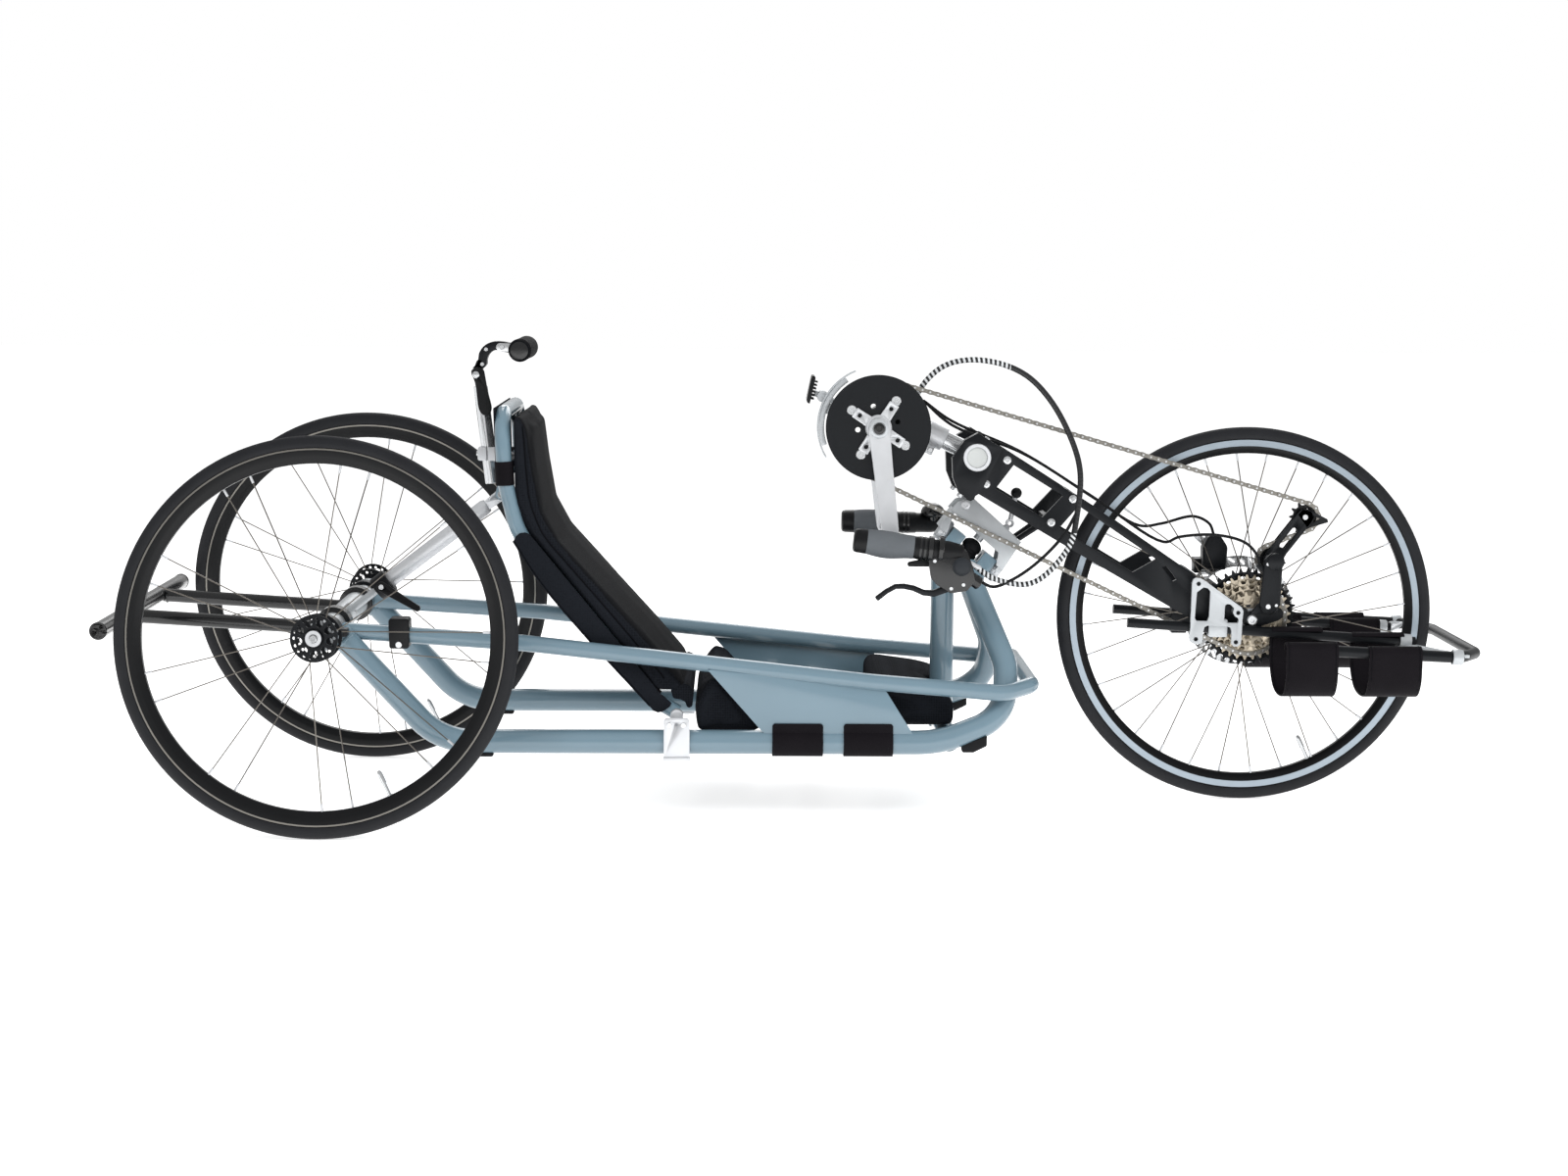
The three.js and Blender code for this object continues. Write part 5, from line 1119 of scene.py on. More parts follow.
@dataclass
class MainFrame:
    """The painted frame: low tubes, side rails, side panels, post and the head's knuckles."""

    low: tuple = ((12, 200, AXLE_HEIGHT), (172, *LOW_TUBE), (950, *LOW_TUBE), (1052, 186, 164), (1058, 140, 240),
                  (1000, 30, 384))
    low_bends: tuple = (110, 180, 70, 90)
    feet: tuple = (
        (((234, 104), (235, 102.6), (253, 102.6), (255, 104), (255, 109), (233, 109)), 191),
        (((985, 113), (987, 111.2), (1003, 111.2), (1023, 121), (1024, 123), (1024, 137), (1004, 130), (985, 122)),
         188))
    rail: tuple = ((24, 186, 296.794), (300, 190, 279), (842, 206, 222), (1050, 206, 205), (1097, 160, 211))
    rail_bends: tuple = (600, 600, 35, 35)
    panel: tuple = ((588, 241), (862, 214), (908, 141), (676, 141))

    def build(self) -> None:
        """Makes every painted piece."""
        self.tubes()
        self.rails()
        self.post()
        self.head()
        self.rear_axle()
        self.guard()

    def tubes(self) -> None:
        """Two low tubes with their skid feet and a weld bead near each tube's rear end."""
        for name, side in SIDES:
            corners = [spot(x, side * y, z) for x, y, z in self.low]
            line = rounded(corners, self.low_bends)
            tube = Bench.tube(f"low_tube_{name}", line, 19.0, 36)
            finish(tube, Body.FRAME, Finish.FRAME, "frame_paint", f"lower_tube_{name}")
            feet = [Bench.plate("foot", outline, side * inner, side * (inner + 18), 0.8)
                    for outline, inner in self.feet]
            joined(f"skid_feet_{name}", feet, Body.FRAME, Finish.RUBBER, "rubber")
            bead = Bench.lathe(f"tube_bead_{name}", [(-4, 18.6), (-2, 20.6), (1, 20.9), (3, 18.6)], line[0],
                               line[1] - line[0], 36)
            bead.data.transform(Matrix.Translation((line[1] - line[0]).normalized() * 0.022))
            finish(bead, Body.FRAME, Finish.FRAME, "frame_paint")

    def rails(self) -> None:
        """The loop of thinner tube and the two flat side panels."""
        half = [spot(x, -y, z) for x, y, z in self.rail]
        other = [spot(x, y, z) for x, y, z in reversed(self.rail)]
        bends = [*self.rail_bends, *reversed(self.rail_bends)]
        loop = Bench.tube("rail_loop", rounded(half + other, bends), 13.0, 28)
        panels = [Bench.plate("panel", self.panel, side * 208.5, side * 211.5, 0.5) for side in BOTH]
        beads = []
        for side in BOTH:
            top = [spot(592 + (858 - 592) * t / 10, side * 208.6, 239.5 - 26 * t / 10) for t in range(11)]
            beads.append(Bench.tube("bead", top, 2.4, 10))
            beads.append(Bench.tube("bead", [spot(678, side * 209.4, 143.2), spot(905, side * 209.4, 143.2)], 2.0, 10))
        joined("side_rail_loop", [loop, *panels, *beads], Body.FRAME, Finish.FRAME, "frame_paint", "side_rails")

    def post(self) -> None:
        """The upright post, its cross tube and the weld bead at its foot."""
        upright = Bench.rod("upright", spot(966, 0, 118), spot(966, 0, 377), 19, 36)
        cross = Bench.peg("cross", 966, 126, -186, 186, 17, 32)
        bead = Bench.lathe("bead", [(-3, 18.6), (-1, 21), (2, 21), (4, 18.6)], spot(966, 0, 145), Vector((0, 0, 1)), 36)
        joined("post_and_cross_tube", [upright, cross, bead], Body.FRAME, Finish.FRAME, "frame_paint", "steering_post")

    def head(self) -> None:
        """The head between the bracket's arms, and a rubber block domed to clear the bracket's pin."""
        head = Bench.refined("steering_head", "head_knuckles", 1.6, 3)
        finish(head, Body.FRAME, Finish.FRAME, "frame_paint", "steering_head")
        heading = Vector((0.791, 0, -0.612))
        normal = Vector((0.612, 0, 0.791))
        centre = spot(967, 0, 440) + heading * 0.053
        rows = [(-15.1, 0), (-15.1, 15), (-13, 16.2), (-4, 16.2), (-2, 14.6), (1, 14.6), (3, 16.2), (10.5, 16.2),
                (13, 14.6), (15.6, 12), (18, 8), (19.3, 4), (19.7, 0)]
        finish(Bench.lathe("rubber_block", rows, centre, normal, 32), Body.FRAME, Finish.RUBBER, "rubber",
               "steering_damper")

    def rear_axle(self) -> None:
        """The axle bar, the tilted sockets with their screws, and the brace's inner bar."""
        pieces = [Bench.peg("bar", 0, AXLE_HEIGHT, -257, 257, 20, 36)]
        clamps = []
        for side in BOTH:
            lean = math.radians(5)
            axis = Vector((0, side * math.cos(lean), math.sin(lean)))
            hub = spot(0, side * 320, HUB_HEIGHT)
            rows = [(-72, 0), (-72, 23), (-71, 24), (-44, 24), (-42.5, 22.5), (-42, 15), (-30.4, 14.6), (-30.4, 0)]
            pieces.append(Bench.lathe("socket", rows, hub, axis, 36))
            for inboard, angle in ((-64, 40), (-52, 40)):
                base = hub + axis * inboard * MILLI
                way = Vector((math.cos(math.radians(angle)), 0, math.sin(math.radians(angle))))
                clamps.append(Bench.rod("screw", base + way * 0.0225, base + way * 0.0262, 3.2, 12))
        joined("axle_and_sockets", [*pieces, *self.brace_bar()], Body.FRAME, Finish.SATIN, "silver", "rear_axle")
        joined("socket_screws", clamps, Body.FRAME, Finish.BRIGHT, "silver")
        for name, side in SIDES:
            band = Bench.lathe(f"axle_clamp_{name}", [(-13, 20.2), (-13, 25), (-12, 26), (12, 26), (13, 25),
                                                      (13, 20.2)], spot(0, side * 226, AXLE_HEIGHT), ACROSS, 32)
            ear = Bench.plate("ear", [(18, AXLE_HEIGHT - 6), (33, AXLE_HEIGHT - 6), (35, AXLE_HEIGHT - 4),
                                      (35, AXLE_HEIGHT + 4), (33, AXLE_HEIGHT + 6), (18, AXLE_HEIGHT + 6)], side * 214,
                              side * 238, 1.0)
            joined(f"axle_clamp_{name}", [band, ear], Body.FRAME, Finish.BLACK, "black_anodised")

    def brace_bar(self) -> list[bpy.types.Object]:
        """The bar that the seat's brace slides on, and its foot on the axle."""
        way = Vector((259, 0, 500 - AXLE_HEIGHT)).normalized()
        foot = spot(0, -60, AXLE_HEIGHT)
        return [Bench.rod("bar", foot, foot + way * 0.2, 6, 20), Bench.rod("foot", foot, foot + way * 0.026, 12, 24)]

    def guard(self) -> None:
        """The black guard behind the wheels, clamped to the axle."""
        pieces = [Bench.tube("bar", [spot(-328, -318, 312), spot(-328, 318, 312)], 13, 28)]
        for side in BOTH:
            y = side * 130
            rows = [(-15, 20.3), (-15, 27), (-14, 28), (14, 28), (15, 27), (15, 20.3)]
            pieces.append(Bench.lathe("clamp", rows, spot(0, y, AXLE_HEIGHT), ACROSS, 36))
            pieces.append(Bench.tube("leg", [spot(-24, y, AXLE_HEIGHT - 6), spot(-328, y, 312)], 11, 28))
            pieces.append(Bench.lathe("bead", [(-3, 10.6), (0, 13), (4, 10.6)], spot(-314, y, 311.2),
                                      Vector((-1, 0, 0)), 28))
            pieces.append(Bench.lathe("cap", [(-2, 0), (-2, 13.4), (4, 13.6), (6, 12), (6, 0)],
                                      spot(-328, side * 312, 312), ACROSS * side, 28))
        joined("guard_tubes", pieces, Body.FRAME, Finish.GLOSS, "black_anodised", "rear_guard")
        block = Bench.plate("rail_clamp", [(95, 273), (98, 271), (123, 271), (126, 274), (126, 315), (123, 318),
                                           (97, 318), (94, 315)], -170, -205.6, 2.0, 3)
        hold = Bench.lathe("hole", [(-40, 0), (-40, 13.2), (40, 13.2), (40, 0)], spot(110, -187, 291.3),
                           Vector((1, 0, -0.065)), 28)
        finish(Bench.drill(block, [hold]), Body.FRAME, Finish.PLASTIC, "plastic")
        screw = Bench.peg("rail_clamp_screw", 110, 277.5, -205, -209, 5, 16)
        finish(screw, Body.FRAME, Finish.BRIGHT, "silver")


# ---------------------------------------------------------------- fork and steering


@dataclass
class Fork:
    """The two ladder arms, their clamp, the steering bracket and the parking handle."""

    bolts: tuple = ((43, 22), (35, -28), (165, 26), (156, -24))
    head_angle: float = -37.7
    pivot: Flat = (967.0, 440.0)

    @staticmethod
    def arm_place(point: Point) -> Point:
        """A place given along and across the arm, in millimetres of the side plane."""
        turn = math.radians(ARM_ANGLE)
        u, w, y = point
        return (CARRIER[0] + u * math.cos(turn) - w * math.sin(turn), y,
                CARRIER[1] + u * math.sin(turn) + w * math.cos(turn))

    def steer_place(self, along: float, up: float, across: float = 0.0) -> Vector:
        """A place given along and above the steering pivot."""
        turn = math.radians(self.head_angle)
        return spot(self.pivot[0] + along * math.cos(turn) - up * math.sin(turn), across,
                    self.pivot[1] + along * math.sin(turn) + up * math.cos(turn))

    def build(self) -> None:
        """Makes the fork and the bracket."""
        finish(Bench.refined("fork_frame", "fork_ladder", 1.1, 2), Body.STEERING, Finish.BLACK, "black_anodised",
               "fork_frame")
        self.fastenings()
        finish(Bench.refined("steering_bracket", "steering_yoke", 1.2, 3), Body.STEERING, Finish.SATIN, "light_grey",
               "steering_bracket")
        self.rings()
        self.handle()

    def bolt(self, centre: Vector, way: Vector, radius: float, tall: float = 3.2) -> bpy.types.Object:
        """A round bolt head with a socket in it."""
        rows = [(0, 0), (0, radius), (tall * 0.7, radius), (tall, radius * 0.78), (tall, radius * 0.45),
                (tall * 0.4, radius * 0.4), (tall * 0.4, 0)]
        return Bench.lathe("bolt", rows, centre, way, 18)

    def fastenings(self) -> None:
        """Silver bolts on the ladder's bars, the clamp's screws and the axle's nuts."""
        pieces = []
        for u, w in self.bolts:
            for side in BOTH:
                x, y, z = self.arm_place((u, w, side * 75.6))
                pieces.append(self.bolt(spot(x, y, z), ACROSS * side, 6.4, 3.6))
        for u, w in ((10, -63), (-2, 30)):
            for side in BOTH:
                x, y, z = self.arm_place((u, w, side * 71))
                way = Vector((math.sin(math.radians(32)), 0, math.cos(math.radians(32)))) * (1 if w > 0 else -1)
                pieces.append(self.bolt(spot(x, y, z), way, 4.6, 6.0))
        for side in BOTH:
            pieces.append(self.bolt(spot(HUB[0], side * 75.8, HUB[1]), ACROSS * side, 8.5, 5.0))
        joined("fork_bolts", pieces, Body.STEERING, Finish.BRIGHT, "silver")

    def rings(self) -> None:
        """Turned bearing rings at both ends of the pivot and the bracket's side bolts."""
        pieces = []
        axis = self.steer_place(1, 0) - self.steer_place(0, 0)
        for along, width in ((-6.5, 13), (99.5, 13)):
            rows = [(0, 17), (0, 18.6), (1, 19.2), (width * 0.45, 19.2), (width * 0.5, 18.5), (width * 0.55, 19.2),
                    (width - 1, 19.2), (width, 18.6), (width, 17)]
            pieces.append(Bench.lathe("ring", rows, self.steer_place(along, 0), axis, 40))
        for side in BOTH:
            pieces.append(self.bolt(self.steer_place(-1, 54, side * 32.2), ACROSS * side, 7.6, 2.4))
        joined("bearing_rings", pieces, Body.STEERING, Finish.SILVER, "silver")

    def handle(self) -> None:
        """The parking brake's handle: a pale stem and a black knob."""
        foot = self.steer_place(78, 74)
        tip = spot(1084, 0, 500)
        way = (tip - foot).normalized()
        hub = Bench.rod("hub", foot + Vector((0, -0.004, 0)), foot + Vector((0, 0.004, 0)), 7, 20)
        drill = Bench.rod("hole", foot + Vector((0, -0.006, 0)), foot + Vector((0, 0.006, 0)), 3.2, 14)
        hub = Bench.drill(hub, [drill])
        stem = Bench.rod("stem", foot + way * 0.006, tip - way * 0.004, 4, 18)
        joined("parking_stem", [hub, stem], Body.PARKING, Finish.SILVER, "silver", "parking_lever")
        finish(Bench.ball("parking_knob", tip, 9), Body.PARKING, Finish.PLASTIC, "plastic")


@dataclass
class CrankSet:
    """Carrier, stem, bearing shell, finger guard, display, cranks and the chain guard disc."""

    bolt_circle: float = 51.0
    turn: float = 57.0

    def at(self, radius: float, angle: float) -> Flat:
        """A place round the crank's spindle."""
        return turned_about(*SPINDLE, radius, angle)

    def build(self) -> None:
        """Makes the crank set."""
        self.carrier()
        self.finger_guard()
        self.display()
        self.disc()
        self.cranks()

    def carrier(self) -> None:
        """The cross tube with its pale plugs, the bright stem and the bearing shell."""
        x, z = SPINDLE
        tube = Bench.turned("tube", [(-83, 16.5), (-83, 21.2), (-82, 22), (82, 22), (83, 21.2), (83, 16.5)],
                            CARRIER[0], CARRIER[1], 48)
        finish(tube, Body.STEERING, Finish.SILVER, "silver", "crank_stem")
        tube.name = "carrier_tube"
        plugs = [Bench.lathe("plug", [(79, 0), (79, 16.2), (80.8, 16.2), (81.2, 15), (80.4, 12), (80.2, 0)],
                             spot(CARRIER[0], 0, CARRIER[1]), ACROSS * side, 40) for side in BOTH]
        joined("carrier_plugs", plugs, Body.STEERING, Plastic("pale_plug", "b4b7b6", 0.5).make(), "light_grey")
        way = (spot(878, 0, 628) - spot(CARRIER[0], 0, CARRIER[1])).normalized()
        start = spot(CARRIER[0], 0, CARRIER[1])
        stem = Bench.rod("stem", start + way * 0.018, start + way * 0.140, 15, 40)
        finish(stem, Body.STEERING, Finish.BRIGHT, "silver")
        stem.name = "stem_tube"
        block = Bench.plate("stem_block", [(902, 640), (866, 646), (843, 632), (838, 604), (858, 584), (884, 596),
                                           (907, 610)], -17, 17, 3.0, 3)
        shell = Bench.turned("shell", [(-34, 12), (-34, 19.4), (-33, 20), (33, 20), (34, 19.4), (34, 12)], x, z, 40)
        joined("stem_block", [block, shell], Body.STEERING, Finish.BLACK, "black_anodised")
        clamp = Bench.lathe("stem_clamp", [(52, 15.1), (52, 18.4), (53, 19.2), (83, 19.2), (84, 18.4), (84, 15.1)],
                            start, way, 36)
        ear = Bench.slab("ear", [(951, -6, 574), (925, -6, 586.5), (919, -6, 573), (945, -6, 560.5)], (0, 12, 0), 1.5)
        joined("stem_clamp", [clamp, ear], Body.STEERING, Finish.SILVER, "silver")
        screws = [Bench.peg("screw", px, pz, -6, -9.4, 4.0, 16) for px, pz in ((943, 569), (929, 575.5))]
        joined("stem_clamp_screws", screws, Body.STEERING, Finish.BRIGHT, "silver")

    def finger_guard(self) -> None:
        """The pale arc ahead of the disc's edge and its thin wire hoop."""
        outline = [self.at(94, 123.5 + 75.5 * t / 24) for t in range(25)]
        outline += [self.at(86, 199 - 75.5 * t / 24) for t in range(25)]
        arc = Bench.plate("arc", outline, -40, -22, 1.0)
        hoop_line = [self.at(97.5, 112 + 99 * t / 30) for t in range(31)]
        hoop_line += [self.at(94.6, 211 - 99 * t / 30) for t in range(31)]
        hoop = Bench.plate("hoop", hoop_line, -34.5, -29.5, 0.4)
        foot = self.at(87, 160)
        arm = Bench.plate("arm", stadium(*SPINDLE, *foot, 9), -34, -30, 0.8)
        joined("finger_guard", [arc, hoop, arm], Body.STEERING, Finish.SATIN, "light_grey")

    def display(self) -> None:
        """A small finned display on a short arm."""
        arm = Bench.rod("display_arm", spot(845, 0, 622), spot(756, 0, 660), 5, 20)
        knob = Bench.peg("knob", 769, 655, -17, 17, 9, 24)
        joined("display_arm", [arm, knob], Body.STEERING, Finish.SATIN, "light_grey")
        face = [(743.4, 646), (748, 643.5), (757.5, 686), (754.5, 689), (751.5, 688)]
        body = [Bench.plate("slab", face, -29, 29, 1.4, 3)]
        for k in range(6):
            z = 651 + k * 5.4
            x = 749.4 + k * 1.25
            body.append(Bench.plate("fin", [(x - 1, z), (x + 5.5, z - 1.2), (x + 5.8, z + 1.2), (x - 0.5, z + 2.6)],
                                    -22 + k, 22 - k, 0.4))
        joined("display_case", body, Body.STEERING, Finish.PLASTIC, "plastic")
        glass = Bench.plate("display_glass", [(744.0, 650), (745.2, 649.6), (752.4, 684), (751.4, 684.4)], -25, 25, 0.3)
        glass.data.transform(Matrix.Translation((-0.0012, 0, 0)))
        finish(glass, Body.STEERING, Finish.GLOSS, "plastic")

    def disc(self) -> None:
        """The black disc over the chain ring, the ring itself and its bolts."""
        x, z = SPINDLE
        plate = Bench.turned("disc", [(-57, 13), (-57, 83.2), (-56.2, 84), (-54.8, 84), (-54, 83.2), (-54, 13)], x, z,
                             96)
        holes = []
        for radius, angle, wide in ((32, 17, 4.2), (33, 186, 4.2), (35, 104, 4.2), (34, 275, 4.2)):
            hx, hz = self.at(radius, angle)
            holes.append(Bench.peg("hole", hx, hz, -60, -50, wide, 18, 0.1))
        plate = Bench.soften(Bench.drill(plate, holes), 0.3, 1, 50)
        teeth = []
        for i in range(76):
            radius = 80.0 if i % 2 else 72.6
            for way in (-0.6, 0.6):
                teeth.append(self.at(radius, (i * 360 / 76) + way))
        ring = Bench.plate("ring", teeth, -47.4, -44.6, 0.3, 1)
        bore = Bench.peg("bore", x, z, -60, -40, 44, 48)
        ring = Bench.drill(ring, [bore])
        joined("chain_guard_disc", [plate], Body.CRANKS, Finish.BLACK, "black_anodised", "chainring")
        joined("chain_ring", [ring], Body.CRANKS, Finish.STEEL, "steel")
        bolts = []
        for i in range(4):
            bx, bz = self.at(self.bolt_circle, self.turn + 90 * i)
            rows = [(-45, 0), (-45, 4.8), (-57, 4.8), (-57, 7.8), (-59.4, 7.8), (-60.2, 6.8), (-60.2, 4.6),
                    (-59, 4.0), (-59, 2.2), (-60, 1.8), (-60, 0)]
            bolts.append(Bench.turned("bolt", rows, bx, bz, 24))
        joined("ring_bolts", bolts, Body.CRANKS, Finish.BRIGHT, "silver")

    def cranks(self) -> None:
        """Silver arms that flare out to the grips, and the spider in front of the disc."""
        x, z = SPINDLE
        left = Bench.refined("crank_left", "crank_arm_left", 2.2, 3)
        right = Bench.mirrored(left, "crank_arm_right")
        finish(left, Body.CRANKS, Finish.SILVER, "silver", "crank_left")
        spindle = Bench.turned("spindle", [(-80, 0), (-80, 8), (-66, 8), (-66, 11), (60, 11), (60, 8), (80, 8),
                                           (80, 0)], x, z, 32)
        joined("crank_arm_right", [right, spindle], Body.CRANKS, Finish.SILVER, "silver", "crank_right")
        pieces = []
        for i in range(4):
            angle = self.turn + 90 * i
            corners = [self.at(math.hypot(r, w), angle + math.degrees(math.atan2(w, r)))
                       for r, w in ((10, -9.5), (30, -8.6), (45, -8.6), (46, -7.6), (46, 7.6), (45, 8.6), (30, 8.6),
                                    (10, 9.5))]
            arm = Bench.plate("arm", corners, -58, -64, 1.0)
            hx, hz = self.at(36, angle)
            arm = Bench.drill(arm, [Bench.peg("hole", hx, hz, -70, -55, 3.6, 18, 0.1)])
            pieces.append(arm)
        hub = Bench.turned("hub", [(-57.6, 0), (-57.6, 21), (-64, 21), (-66, 19), (-66, 0)], x, z, 40)
        joined("crank_spider", [*pieces, hub], Body.CRANKS, Finish.SILVER, "silver")
        rows = [(80, 0), (80, 15.5), (81.2, 15.5), (82.6, 13), (82.6, 10.4), (81, 9.6), (81, 0)]
        caps = [Bench.lathe("cap", rows, spot(x, 0, z), ACROSS * side, 36) for side in BOTH]
        joined("crank_caps", caps, Body.CRANKS, Finish.SATIN, "light_grey")
        rows = [(80.6, 0), (80.6, 9), (83.6, 9), (84.6, 7.6), (84.6, 4.4), (82, 4), (82, 0)]
        bolts = [Bench.lathe("bolt", rows, spot(x, 0, z), ACROSS * side, 28) for side in BOTH]
        joined("crank_bolts", bolts, Body.CRANKS, Finish.GLOSS, "black_anodised")


@dataclass
class HandGrip:
    """One hand grip: a shaped palm, its black ends and what is clamped to it."""

    name: str
    side: int
    body: Body
    start: Flat
    end: Flat
    node: str

    def line(self, along: float) -> Vector:
        """A place on the grip's middle line."""
        a, b = spot(self.start[0], self.side * 178, self.start[1]), spot(self.end[0], self.side * 178, self.end[1])
        return a + (b - a).normalized() * along * MILLI

    def build(self) -> None:
        """Makes the palm, the ends and the bar."""
        way = self.line(1) - self.line(0)
        core = Bench.lathe(f"grip_core_{self.name}", [(0, 0), (0, 14.5), (2, 17.5), (6, 18.6), (20, 19.2), (24, 17.8),
                                                      (70, 17.4), (98, 17.6), (102, 18.2), (124, 17.6), (126, 16.4),
                                                      (150, 16.2), (170, 13), (172, 11), (172,
                                                                                          0)], self.line(0), way, 40)
        finish(core, self.body, Finish.PLASTIC, "plastic", self.node)
        rows = [(11, 17)]
        for step in range(13):
            share = step / 12
            rows.append((12 + 82 * share, 18.2 + 2.4 * math.sin(math.pi * min(1, share * 1.15)) ** 1.2))
        rows += [(95, 17), (11, 17)]
        palm = Bench.lathe(f"grip_palm_{self.name}", rows[:-1], self.line(0), way, 40)
        for vertex in palm.data.vertices:
            along = (vertex.co - self.line(0)).dot(way.normalized()) / MILLI
            out = vertex.co - self.line(along)
            under = max(0.0, -out.normalized().z)
            vertex.co = self.line(along) + out * (1 + 0.10 * under * math.sin(math.pi * max(0,
                                                                                            min(1, (along - 20) / 70))))
        finish(palm, self.body, Finish.PALM, "plastic")
        ring = [Bench.lathe("ring", [(a, 16), (a, 18.9), (a + 3.4, 18.9), (a + 3.4, 16)], self.line(0), way, 36)
                for a in (103, 110)]
        joined(f"grip_rings_{self.name}", ring, self.body, Finish.GLOSS, "plastic")
        x, z = 876.5, 437.0
        pin = Bench.peg(f"grip_pin_{self.name}", x, z, self.side * 88.4, self.side * 168, 8, 28)
        finish(pin, self.body, Finish.BRIGHT, "silver")


@dataclass
class RightControls:
    """Brake lever, its body, the shifter and the clamp bands on the right grip."""

    y: float = -178.0

    def build(self) -> None:
        """Makes the controls."""
        y = self.y
        outline = [(927, 429), (960, 431), (990, 426), (1000, 400), (1004, 379), (991, 363), (966, 359), (944, 372),
                   (935, 382)]
        cheeks = [Bench.plate("cheek", outline, y + near, y + near + 6.5, 1.6, 3) for near in (-12, 5.5)]
        cheeks.append(Bench.peg("pin", 985, 373, y - 12.6, y + 12.6, 3, 20))
        cheeks.append(Bench.rod("tank", spot(1012, y + 4, 372), spot(966, y - 2, 404), 10.5, 28, 2.0))
        for along in (934, 950):
            cheeks.append(Bench.lathe("band", [(-4, 16), (-4, 19.5), (-3, 20.5), (3, 20.5), (4, 19.5), (4, 16)],
                                      spot(along, y, 427.6), Vector((1, 0, -0.117)), 36))
        joined("brake_body", cheeks, Body.GRIP_RIGHT, Finish.GLOSS, "plastic")
        dial = [Bench.ball("dial", spot(982, y - 13, 401), 13, (1, 0.45, 1)),
                Bench.peg("dial_rim", 982, 401, y - 14, y - 9, 14.5, 32, 1.2)]
        joined("shifter_case", dial, Body.GRIP_RIGHT, Finish.GREY, "plastic")
        ends = [Bench.rod("ferrule", spot(996, y + 6, 405), spot(1012, y + 8, 396), 4.2, 18),
                Bench.rod("ferrule", spot(999, y + 6, 384), spot(1016, y + 7, 376), 4.6, 18)]
        joined("cable_ferrules", ends, Body.GRIP_RIGHT, Finish.SILVER, "silver")
        screws = [Bench.peg("screw", px, pz, y - 11.5, y - 14, 3.0, 14)
                  for px, pz in ((940, 410), (985, 373), (966, 367))]
        joined("brake_screws", screws, Body.GRIP_RIGHT, Finish.BRIGHT, "silver")
        self.blade()
        shift = Bench.plate("shift_paddle", stadium(932, 405, 903, 402, 7, 4), y + 12.3, y + 17, 1.2, 3)
        finish(shift, Body.SHIFT, Finish.PLASTIC, "plastic", "shift_lever")

    def blade(self) -> None:
        """The long brake blade with its hooked end."""
        line = [(988, 372), (962, 366), (940, 358), (924, 359), (908, 366), (893, 369), (880, 368.6), (866, 361),
                (850, 348.5)]
        thick = [5.2, 5.6, 5.4, 4.6, 4.4, 4.2, 4.0, 3.9, 4.2]
        upper, lower = both_sides(line, thick)
        blade = Bench.plate("brake_blade", upper + lower[::-1], self.y - 5, self.y + 5, 2.6, 4)
        finish(blade, Body.BRAKE, Finish.BLACK, "black_anodised", "brake_lever")


@dataclass
class Bell:
    """The round bell on the left grip and its little lever."""

    centre: Point = (961.0, 172.0, 446.0)

    def build(self) -> None:
        """Makes the dome and the lever."""
        rows = [(-10, 0), (-10, 9), (-2, 10), (0, 19.6), (2, 20.6), (8, 20.2), (14, 17.2), (19, 11.5), (21.6, 5),
                (22, 0)]
        dome = Bench.lathe("bell_dome", rows, spot(*self.centre), Vector((0, 0, 1)), 40)
        finish(dome, Body.GRIP_LEFT, Finish.GLOSS, "plastic")
        band = Bench.lathe("bell_band", [(-5, 11), (-5, 13.4), (5, 13.4), (5, 11)], spot(961, 178, 434), AHEAD, 32)
        post = Bench.rod("post", spot(986, 172, 434), spot(986, 172, 450), 2.5, 16)
        joined("bell_band", [band, post], Body.GRIP_LEFT, Finish.BLACK, "plastic")
        lever = Bench.slab("bell_finger", [(x, y, 444.8) for x, y in stadium(986, 172, 992, 146, 4.7, 4)], (0, 0, 4),
                           0.8)
        drill = Bench.rod("hole", spot(986, 172, 440), spot(986, 172, 455), 2.8, 16, 0.1)
        finish(Bench.drill(lever, [drill]), Body.BELL, Finish.SILVER, "silver", "bell_lever")


# ---------------------------------------------------------------- seat


